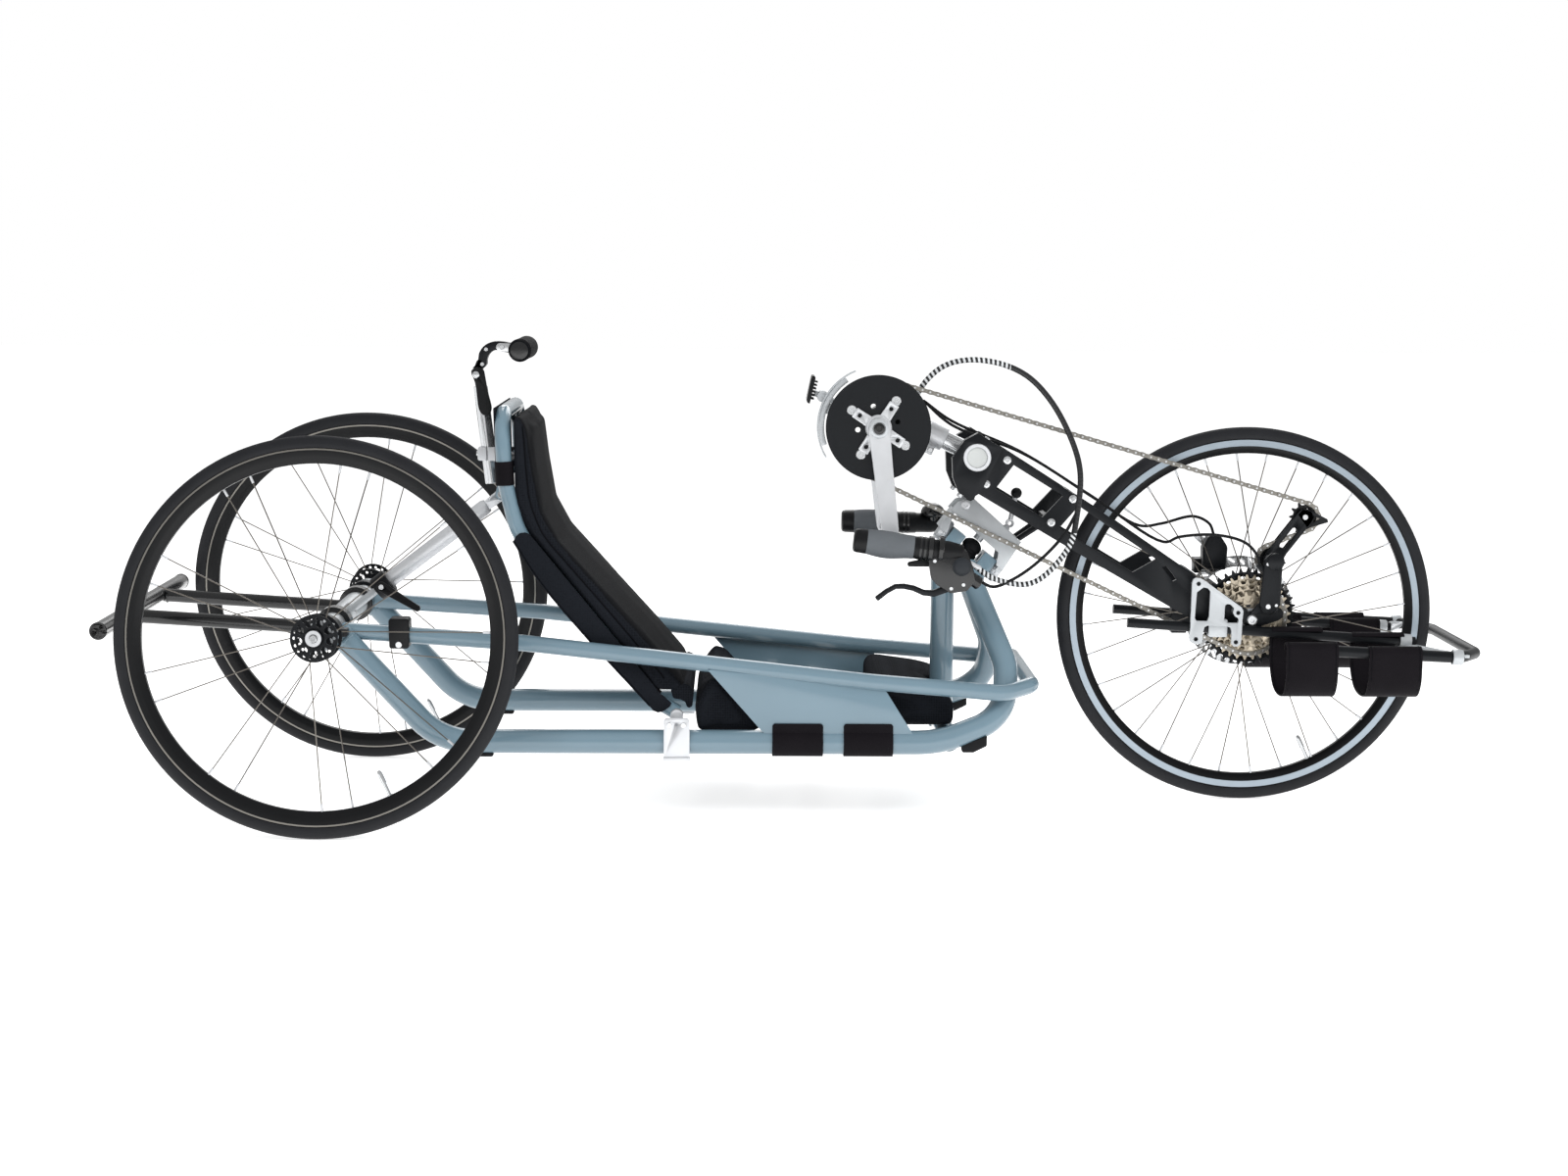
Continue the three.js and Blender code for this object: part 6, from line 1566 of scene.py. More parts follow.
class Soft:
    """Steps shared by the padded pieces."""

    CLOTH = {"quality": 5, "mass": 0.2, "use_pressure": True, "tension_stiffness": 12, "compression_stiffness": 12,
             "shear_stiffness": 6, "bending_stiffness": 0.6}
    STEPS = 20

    @staticmethod
    def swell(obj: bpy.types.Object, cap: float, pressure: float = 4.0) -> bpy.types.Object:
        """Blows a pad up a little with a cloth simulation and applies the result.

        Args:
            obj: the pad's closed mesh.
            cap: how far a place may move, in millimetres.
            pressure: the push from inside.

        Returns:
            The pad.
        """
        before = [v.co.copy() for v in obj.data.vertices]
        Bench.take(obj)
        modifier = obj.modifiers.new("swell", "CLOTH")
        settings = modifier.settings
        for key, value in Soft.CLOTH.items():
            setattr(settings, key, value)
        settings.uniform_pressure_force = pressure
        settings.effector_weights.gravity = 0.0
        modifier.collision_settings.use_collision = False
        scene = bpy.context.scene
        for step in range(1, Soft.STEPS + 1):
            scene.frame_set(step)
        bpy.ops.object.modifier_apply(modifier=modifier.name)
        scene.frame_set(1)
        limit = cap * MILLI
        for vertex, was in zip(obj.data.vertices, before):
            step = vertex.co - was
            if step.length > limit:
                vertex.co = was + step.normalized() * limit
        return obj

    @staticmethod
    def relax(obj: bpy.types.Object, rounds: int) -> bpy.types.Object:
        """Smooths a remeshed pad's faces."""
        return Bench.apply(obj, "SMOOTH", factor=0.5, iterations=rounds)

    @staticmethod
    def pressed(obj: bpy.types.Object, lines: Sequence[Sequence[Vector]], depth: float, width: float,
                way: Vector | None = None) -> None:
        """Draws a sewn line into a pad: places near a line sink along their normals.

        Args:
            obj: the pad.
            lines: the sewn lines' places in metres.
            depth: how far they sink, in millimetres.
            width: how far the dent reaches, in millimetres.
            way: the direction of the dent, or none for the surface's own.
        """
        places = [p for line in lines for p in line]
        reach = width * MILLI
        mesh = obj.data
        normals = [v.normal.copy() for v in mesh.vertices]
        low = Vector([min(p[i] for p in places) - reach for i in range(3)])
        high = Vector([max(p[i] for p in places) + reach for i in range(3)])
        tree = KDTree(len(places))
        for i, place in enumerate(places):
            tree.insert(place, i)
        tree.balance()
        for vertex, normal in zip(mesh.vertices, normals):
            if any(vertex.co[i] < low[i] or vertex.co[i] > high[i] for i in range(3)):
                continue
            distance = tree.find(vertex.co)[2]
            if distance < reach:
                share = math.cos(distance / reach * math.pi / 2) ** 2
                vertex.co += (way or -normal) * depth * MILLI * share

    @staticmethod
    def stitched(name: str, line: Sequence[Vector], radius: float = 1.4) -> bpy.types.Object:
        """A thin cord of piping along a line."""
        return Bench.tube(name, line, radius, 10)

    @staticmethod
    def face_looks(obj: bpy.types.Object, looks: Sequence[Finish], pick: Callable[[Vector, Vector], int]) -> None:
        """Gives each face one of several finishes by its middle and normal."""
        for look in looks:
            obj.data.materials.append(look.material())
        for face in obj.data.polygons:
            face.material_index = pick(face.center, face.normal)


@dataclass
class SeatFrame:
    """The painted seat frame, its clamps on the low tubes, and the telescoping brace."""

    line: tuple = ((540, 166), (511, 183), (292, 448), (272, 530), (267, 632))
    bends: tuple = (20, 110, 160, 55)
    half: float = 164.0
    lug: Flat = (259.0, 500.0)

    def build(self) -> None:
        """Makes the frame, the clamps and the brace."""
        corners = [spot(x, -self.half, z) for x, z in self.line]
        corners += [spot(x, self.half, z) for x, z in reversed(self.line)]
        bends = [*self.bends[:3], self.bends[3], self.bends[3], *reversed(self.bends[:3])]
        pieces = [Bench.tube("loop", rounded(corners, bends), 12.5, 28)]
        pieces.append(Bench.peg("bar", 271, 548, -self.half, self.half, 10, 28))
        for side in BOTH:
            pieces.append(Bench.peg("pin", 540, 166, side * 197.5, side * 163, 5, 20))
            pieces.append(Bench.lathe("bead", [(-3, 9.8), (0, 12.4), (3, 9.8)], spot(271, side * 152.5, 548),
                                      ACROSS, 28))
            near = -60 + side * 8
            pieces.append(Bench.plate("lug", stadium(*self.lug, 271, 548, 10, 10), near, near + side * 4, 0.8))
        joined("seat_tubes", pieces, Body.SEAT, Finish.FRAME, "frame_paint", "seat_frame")
        bolt = [Bench.peg("bolt", self.lug[0], self.lug[1], -74.2, -45.8, 3.0, 16),
                Bench.peg("head", self.lug[0], self.lug[1], -76.6, -72.2, 6.0, 18),
                Bench.peg("nut", self.lug[0], self.lug[1], -48.0, -44.0, 6.0, 6)]
        joined("brace_bolt", bolt, Body.SEAT, Finish.BRIGHT, "silver")
        self.split_clamp()
        self.wraps()
        self.clamps()
        self.brace()

    def split_clamp(self) -> None:
        """The silver clamp on the crossbar that holds the head rest's post."""
        block = Bench.plate("headrest_clamp", [(279, 557), (248, 570.6), (218, 571), (216, 569), (216, 551), (218, 549),
                                               (248, 548.6), (279, 540)], -15, 15, 1.4, 3)
        way = (spot(POST_FOOT[0], 0, POST_FOOT[1]) - spot(POST_TOP[0], 0, POST_TOP[1])).normalized()
        middle = spot(232.8, 0, 560)
        slot = Bench.rod("bore", middle - way * 0.04, middle + way * 0.04, 11.8, 32)
        cut = Bench.plate("slot", [(230.6, 540), (233.2, 540), (232.2, 580), (229.6, 580)], -20, 0, 0)
        finish(Bench.soften(Bench.drill(block, [slot, cut]), 0.4, 1, 50), Body.SEAT, Finish.SILVER, "silver")
        screws = [Bench.rod("screw", spot(217, y, 560), spot(213.6, y, 560), 3.4, 16) for y in (-8, 8)]
        joined("headrest_clamp_screws", screws, Body.SEAT, Finish.BRIGHT, "silver")

    def wraps(self) -> None:
        """Black straps round the uprights at the crossbar, which hold the pad."""
        way = (spot(267, 0, 632) - spot(272, 0, 530)).normalized()
        for name, side in SIDES:
            start = spot(271.5, side * self.half, 541)
            rows = [(-18.5, 12.6), (-18.5, 14.2), (-17.5, 14.8), (17.5, 14.8), (18.5, 14.2), (18.5, 12.6)]
            band = Bench.lathe(f"frame_wrap_{name}", rows, start, way, 32)
            lower_way = (spot(292, 0, 448) - spot(511, 0, 183)).normalized()
            low = Bench.lathe("band", [(-8, 12.6), (-8, 14.2), (8, 14.2), (8, 12.6)],
                              spot(500, side * self.half, 196.3),
                              lower_way, 32)
            joined(f"frame_wrap_{name}", [band, low], Body.SEAT, Finish.WEB, "webbing")

    def clamps(self) -> None:
        """Silver plates bent over the low tubes, each with its barrel, screws and slotted lip."""
        for name, side in SIDES:
            shell = [(184, 145.6), (184, 149.3), (220.3, 149.3), (223.3, 146.6), (223.3, 103.6), (221.8, 102.2),
                     (206, 102.2), (206, 105.8), (219.4, 105.8), (219.4, 145.6)]
            plate = Bench.slab("plate", [(523, side * y, z) for y, z in shell], (35, 0, 0), 0.8)
            face = [(520.4, 103), (522, 101), (559, 101), (560.6, 103), (560.6, 163), (557, 167), (524, 167),
                    (520.4, 163)]
            front = Bench.plate("face", face, side * 220.2, side * 223.6, 0.8)
            lip = Bench.plate("lip", [(519.6, 99.6), (561.4, 99.6), (561.4, 105.4), (519.6, 105.4)], side * 216,
                              side * 226, 1.0)
            front = Bench.drill(front, [Bench.peg("hole", 540, 156.5, side * 215, side * 228, 2.8, 16,
                                                  0.1)])
            plate = Bench.join("plate", [plate, front, lip])
            saddle = Bench.plate("saddle", [(530, 147.5), (550, 147.5), (549.4, 164), (545, 174), (535, 174),
                                            (530.6, 164)], side * 184.4, side * 197.6, 1.0)
            barrel = Bench.lathe("barrel", [(184, 5.3), (184, 9.4), (184.6, 10), (197.4, 10), (198, 9.4), (198, 5.3)],
                                 spot(540, 0, 166), ACROSS * side, 32)
            joined(f"seat_clamp_{name}_plate", [plate, saddle, barrel], Body.FRAME, Finish.SILVER, "silver",
                   f"seat_clamp_{name}")
            screws = [Bench.peg("screw", x, z, side * 222.6, side * 225.8, 4.3, 18)
                      for x, z in ((529, 155.6), (551, 155.6))]
            screws.append(Bench.rod("screw", spot(549, side * 212, 102.6), spot(549, side * 212, 100.2), 4.2, 18))
            joined(f"seat_clamp_{name}_screws", screws, Body.FRAME, Finish.BRIGHT, "silver")

    def brace(self) -> None:
        """The silver sleeve of the brace with its black clamp and lever."""
        way = Vector((self.lug[0], 0, self.lug[1] - AXLE_HEIGHT)).normalized()
        foot = spot(0, -60, AXLE_HEIGHT)
        heading = math.degrees(math.atan2(way.z, way.x))
        rows = [(100, 6.6), (100, 12.1), (100.6, 12.5), (292, 12.5), (297, 10.6), (297.4, 6.6)]
        sleeve = Bench.lathe("sleeve", rows, foot, way, 36)
        neck = [turned_about(self.lug[0], self.lug[1], r, heading + 180 + a)
                for r, a in ((34, 13), (34, -13), (20, -26), (9.5, -70))]
        ring = [turned_about(*self.lug, 9.5, heading + 180 - 70 - 220 * t / 14) for t in range(1, 15)]
        eye = Bench.plate("eye", neck + ring, -67.6, -52.4, 0.8)
        eye = Bench.drill(eye, [Bench.peg("hole", self.lug[0], self.lug[1], -80, -40, 6.5, 20, 0.1)])
        joined("brace_sleeve", [sleeve, eye], Body.BRACE, Finish.SILVER, "silver", "brace_tube")
        collar = Bench.lathe("brace_collar", [(74, 6.6), (74, 18.8), (75, 19.5), (99, 19.5), (100, 18.8), (100, 12.6)],
                             foot, way, 36)
        at = foot + way * 0.087
        pin = Bench.rod("pin", at + Vector((0, -0.012, 0)), at + Vector((0, -0.0285, 0)), 3, 16)
        joined("brace_collar", [collar, pin], Body.BRACE, Finish.BLACK, "black_anodised")
        nut = Bench.rod("brace_pin_nut", at + Vector((0, -0.0275, 0)), at + Vector((0, -0.0305, 0)), 4.4, 6)
        finish(nut, Body.BRACE, Finish.BRIGHT, "silver")
        px, pz = at.x / MILLI + MIDDLE, at.z / MILLI
        ex, ez = px + 66 * math.cos(-0.55), pz + 66 * math.sin(-0.55)
        lever = Bench.plate("brace_handle", stadium(px, pz, ex, ez, 8, 5), -80.6, -87.4, 1.6, 3)
        lever = Bench.drill(lever, [Bench.peg("hole", px, pz, -95, -75, 3.2, 16, 0.1)])
        finish(lever, Body.BRACE_CATCH, Finish.PLASTIC, "black_anodised", "brace_lever")


@dataclass
class SeatPad:
    """The padded seat: mesh sides with a long seam, a smooth front, and the sleeve behind it."""

    back: tuple = ((285, 634), (286, 564), (287, 503), (308, 446), (399, 334.5), (506, 203))
    front: tuple = ((561, 207), (500, 285), (440, 352), (360, 438), (337, 481), (325, 550), (317, 614), (306, 636))

    def build(self) -> None:
        """Makes the pad, its seams and the sleeve."""
        self.pad()
        self.sleeve()

    def middle_line(self, share: float) -> list[Flat]:
        """A line between the back and the front, from the pad's top to its foot."""
        back = self.even(self.back, 24)
        front = self.even(self.front[::-1], 24)
        return [(a[0] + (b[0] - a[0]) * share, a[1] + (b[1] - a[1]) * share) for a, b in zip(back, front)]

    @staticmethod
    def even(line: Sequence[Flat], count: int) -> list[Flat]:
        """Evenly spaced places along a line."""
        lengths = [math.dist(a, b) for a, b in zip(line, line[1:])]
        total = sum(lengths)
        places = []
        for k in range(count + 1):
            want = total * k / count
            i = 0
            while i < len(lengths) - 1 and want > lengths[i]:
                want -= lengths[i]
                i += 1
            share = min(1.0, want / lengths[i])
            a, b = line[i], line[i + 1]
            places.append((a[0] + (b[0] - a[0]) * share, a[1] + (b[1] - a[1]) * share))
        return places

    def pad(self) -> None:
        """The pad itself."""
        slab = Bench.refined("seat_pad", "pad_cover", 0.2, 1)
        Bench.apply(slab, "REMESH", mode="VOXEL", voxel_size=0.005)
        Soft.relax(slab, 8)
        Soft.swell(slab, 3.0)
        Bench.apply(slab, "SUBSURF", levels=1, render_levels=1)
        Bench.take(slab)
        bpy.ops.object.shade_smooth()
        seams = [[spot(x, side * 179, z) for x, z in self.middle_line(0.5)[1:-1]] for side in BOTH]
        edges = [[spot(x - 1.5, side * 171, z - 1.0) for x, z in self.even(self.front[::-1], 40)[1:-1]]
                 for side in BOTH]
        Soft.pressed(slab, [self.dense(s) for s in seams], 2.2, 9)
        Soft.pressed(slab, [self.dense(s) for s in edges], 1.4, 8)
        slab.data.materials.clear()
        Soft.face_looks(slab, (Finish.MESH, Finish.SMOOTH), lambda centre, normal: 1 if abs(normal.y) < 0.5 and
                        (normal.x > 0.05 or normal.z > 0.6) else 0)
        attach(slab, Body.SEAT.value)
        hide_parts("seat_pad")
        piping = []
        for side in BOTH:
            line = [self.land(slab, p, ACROSS * side) for p in self.dense(seams[(side + 1) // 2], 0.006)]
            piping.append(Soft.stitched("piping", [p for p in line if p], 1.3))
        joined("pad_piping", piping, Body.SEAT, Finish.SMOOTH, "seat_fabric")
        tail = [(534, 190), (530, 204), (552, 214), (561, 210), (564.6, 202), (565.2, 190), (564, 178),
                (559.5, 174.5), (555, 177), (553.4, 184), (546, 188)]
        finish(Bench.plate("pad_tail", tail, -176, 176, 3.0, 3), Body.SEAT, Finish.MESH, "seat_fabric")

    @staticmethod
    def land(obj: bpy.types.Object, place: Vector, way: Vector) -> Vector | None:
        """The surface's place under a point, seen along a direction."""
        hit, where, _, _ = obj.ray_cast(place + way * 0.03, -way, distance=0.06)
        return where + way * 0.0004 if hit else None

    @staticmethod
    def dense(line: Sequence[Vector], step: float = 0.003) -> list[Vector]:
        """Places along a line, close together."""
        places = []
        for a, b in zip(line, line[1:]):
            count = max(1, math.ceil((b - a).length / step))
            places += [a.lerp(b, k / count) for k in range(count)]
        return [*places, line[-1]]

    def sleeve(self) -> None:
        """The sleeve between the pad and the frame, with its edge rolled over a cord, and the back panel."""
        rear = smooth_flat([(285, 436), (325, 374), (400, 284), (474, 203), (497, 178)], 30)
        foot = [(503, 171), (510, 168), (517, 169.4), (523, 173), (529, 178), (532, 183)]
        pad_side = [(508, 204), (401.4, 335.4), (310, 447)]
        head = [(304, 449.4), (296, 448), (289, 442.5)]
        inner, outer = 176.9, 178.8
        steps = [Bench.plate("back", rear + [(x + 2.6, z + 2.2) for x, z in rear[::-1]], -outer, outer, 0.8, 2)]
        for side in BOTH:
            steps.append(Bench.plate("wall", rear + foot + pad_side + head, side * inner, side * outer, 0.7, 2))
            hem = [spot(x, side * 177.7, z) for x, z in (*head[::-1], *pad_side[::-1])]
            steps.append(Bench.tube("hem", hem, 1.2, 10))
            steps.append(Bench.tube("roll", [spot(x + 1, side * 176.5, z + 1) for x, z in rear], 2.4, 12))
        joined("pad_sleeve", steps, Body.SEAT, Finish.MESH, "seat_fabric", "seat_sling")
        panel = [(256, 548), (253, 641), (255.4, 642), (258.4, 549)]
        finish(Bench.plate("seat_back_panel", panel, -150, 150, 0.8, 2), Body.SEAT, Finish.MESH, "seat_fabric")


@dataclass
class HeadRest:
    """Post, clamp lever, riveted arm and the roll with its end caps."""

    pivot: Flat = (215.0, 687.0)

    def build(self) -> None:
        """Makes the head rest."""
        px, pz = self.pivot
        way = (spot(POST_FOOT[0], 0, POST_FOOT[1]) - spot(POST_TOP[0], 0, POST_TOP[1])).normalized()
        post = Bench.lathe("post", [(0, 0), (0, 10.7), (0.7, 11.5), (156.4, 11.5), (157, 10.8), (157, 0)],
                           spot(POST_TOP[0], 0, POST_TOP[1]), way, 40)
        tongue = Bench.plate("tongue", stadium(px, pz, px + 5, pz - 22, 7, 7), -4.5, 4.5, 0.6)
        pin = Bench.peg("pin", px, pz, -23, 16, 3, 18)
        joined("headrest_stalk", [post, tongue, pin], Body.STALK, Finish.BRIGHT, "silver", "headrest_post")
        nut = Bench.turned("headrest_nut", [(14.2, 0), (14.2, 6.4), (18.5, 6.4), (19.5, 5.4), (19.5, 0)], px, pz, 24)
        cap = Bench.lathe("cap", [(22.6, 0), (22.6, 5.6), (25.4, 5.6), (26, 4.6), (26, 0)], spot(px, 0, pz),
                          -ACROSS, 24)
        joined("headrest_nut", [nut, cap], Body.STALK, Finish.BRIGHT, "silver")
        self.arm()
        self.lever()
        self.roll()

    def arm(self) -> None:
        """The curved arm between the pivot and the roll, with its rivets."""
        px, pz = self.pivot
        outer = [(208, 697), (214, 703), (217.5, 711), (219, 721), (225.5, 731), (234, 737), (246, 740), (261, 739),
                 (275, 736)]
        inner = [(272, 721), (254.5, 724), (246, 726), (239, 723), (234, 717), (231.5, 710), (231, 703), (226, 697)]
        arm = Bench.plate("arm", smooth_flat(outer, 24) + smooth_flat(inner, 24), -12, 12, 0.9, 2)
        ears = [Bench.plate("ear", stadium(px, pz, px + 5, pz + 18, 7.5, 6), side * 5.2, side * 12, 1.0,
                            2) for side in BOTH]
        joined("headrest_bracket", [arm, *ears], Body.HEADREST, Finish.BLACK, "black_anodised", "headrest_arm")
        rivets = []
        for x, z in ((224.2, 703.4), (230.4, 727)):
            for side in BOTH:
                rivets.append(Bench.peg("rivet", x, z, side * 11.6, side * 13.4, 3.2, 18, 0.6))
        for side in BOTH:
            rivets.append(Bench.plate("tab", stadium(253, 730.8, 276, 729.6, 6.6, 6.6), side * 11.8, side * 13.2, 0.4))
            rivets.append(Bench.peg("tab_bolt", 255.8, 730.6, side * 13, side * 15.4, 3.8, 18, 0.6))
        joined("headrest_rivets", rivets, Body.HEADREST, Finish.BRIGHT, "silver")

    def lever(self) -> None:
        """The short, broad clamp lever."""
        px, pz = self.pivot
        edge = ((228, 693), (231, 676), (234, 659), (237.4, 646), (239.5, 636), (239, 629.6), (236.4, 624.4),
                (231, 621.6), (225.6, 623), (221, 628), (218.5, 634), (216, 654), (213.5, 674), (207, 692), (213, 698),
                (223, 698), (228, 693))
        blade = Bench.plate("headrest_handle", smooth_flat(edge, 48)[:-1], -17.1, -22.3, 1.4, 3)
        blade = Bench.drill(blade, [Bench.peg("hole", px, pz, -28, -12, 3.2, 16, 0.1)])
        finish(blade, Body.HEAD_CATCH, Finish.PLASTIC, "black_anodised", "headrest_lever")

    def roll(self) -> None:
        """The padded roll, gathered at its capped ends."""
        rows = [(2.5, 0), (2.5, 8), (4, 12.4), (9, 16.4), (16, 17.6), (60, 17.9), (88, 18), (116, 17.9), (160, 17.6),
                (167, 16.4), (172, 12.4), (173.5, 8), (173.5, 0)]
        body = Bench.lathe("headrest_padding", rows, spot(ROLL[0], -88, ROLL[1]), ACROSS, 64)
        notch = Bench.plate("notch", [(262, 718), (276, 718), (276, 739), (262, 741)], -12.4, 12.4, 0)
        body = Bench.drill(body, [notch])
        finish(body, Body.HEADREST, Finish.SMOOTH, "seat_fabric", "headrest_roll")
        rows = [(84.6, 0), (84.6, 13.8), (86, 14), (87.2, 11.5), (88, 6), (88, 0)]
        caps = [Bench.lathe("cap", rows, spot(ROLL[0], 0, ROLL[1]), ACROSS * side, 40) for side in BOTH]
        joined("headrest_caps", caps, Body.HEADREST, Finish.GLOSS, "plastic")
        ring = [Bench.turned("ring", [(y, 15), (y, 18.0), (y + 1.2, 18.3), (y + 2.4, 18.0), (y + 2.4, 15)], 289, 728,
                             48) for y in (-74, 71.6)]
        joined("headrest_seams", ring, Body.HEADREST, Finish.WEB, "seat_fabric")


@dataclass
class Cushion:
    """A padded block across the two low tubes."""

    name: str
    node: str
    profile: tuple
    half: float
    cap: float
    notch: bool = False

    def build(self) -> None:
        """Makes the block, rounds and swells it, and presses sewn lines along its upper edges and across it near each
        end.
        """
        pad = Bench.plate(self.name, self.profile, -self.half + 4, self.half - 4, 8.0, 4)
        cutters = [Bench.rod("tube", spot(520, side * LOW_TUBE[0], LOW_TUBE[1]),
                             spot(1000, side * LOW_TUBE[0], LOW_TUBE[1]), 20.4,
                             32) for side in BOTH]
        if self.notch:
            cutters.append(Bench.rod("post", spot(966, 0, 110), spot(966, 0, 377), 23.0, 32))
        Bench.drill(pad, cutters)
        Bench.apply(pad, "REMESH", mode="VOXEL", voxel_size=0.005)
        Soft.relax(pad, 3)
        Soft.swell(pad, self.cap)
        Bench.apply(pad, "SUBSURF", levels=1, render_levels=1)
        Bench.take(pad)
        bpy.ops.object.shade_smooth()
        Soft.pressed(pad, [SeatPad.dense(line) for line in self.seams()], 1.6, 7)
        pad.data.materials.clear()
        finish(pad, Body.FRAME, Finish.MESH, "seat_fabric", self.node)

    def seams(self) -> list[list[Vector]]:
        """The sewn lines along both upper edges and round each end."""
        top = [p for p in self.profile if p[1] > 160]
        lines = [[spot(x, side * (self.half - 12), z) for x, z in top] for side in BOTH]
        for x, z in (top[1], top[-2]):
            lines.append([spot(x, -self.half + 14, z), spot(x, self.half - 14, z)])
        return lines


@dataclass
class Straps:
    """Two wide bands that cross between the low tubes, each wrapped round both."""

    def build(self) -> None:
        """Makes both straps with their sewn hems."""
        for name, first, last in (("front", 800, 877), ("rear", 689, 768)):
            bands = []
            for side in BOTH:
                rows = [(first, 19.4), (first, 22.0), (first + 1, 22.2), (last - 1, 22.2), (last, 22.0), (last, 19.4)]
                start = spot(0, side * LOW_TUBE[0], LOW_TUBE[1])
                bands.append(Bench.lathe("wrap", rows, start, AHEAD, 40))
            for side in BOTH:
                lap = [(first, 122), (last, 122), (last, 154), (last - 3, 157), (first + 3, 157), (first, 154)]
                bands.append(Bench.plate("lap", lap, side * 211.4, side * 214.2, 0.9, 2))
                bands.append(Bench.plate("lap", [(first, 122), (last, 122), (last, 130), (first, 130)], side * 212,
                                         side * 221.4, 0.9, 2))
            top = [(first, 145.5), (first, 148), (first + 1, 148.2), (last - 1, 148.2), (last, 148), (last, 145.5)]
            bands.append(Bench.plate("band", top, -200, 200, 0.4))
            web = Bench.join(f"lap_strap_{name}", bands)
            finish(web, Body.FRAME, Finish.WEB, "webbing", f"strap_{name}")
            hems = []
            for x in (first + 5, last - 5):
                line = [spot(x, -198 + 396 * t / 20, 148.3) for t in range(21)]
                hems.append(Bench.tube("hem", line, 0.7, 8))
            joined(f"lap_strap_hems_{name}", hems, Body.FRAME, Finish.SMOOTH, "webbing")


# ---------------------------------------------------------------- drive


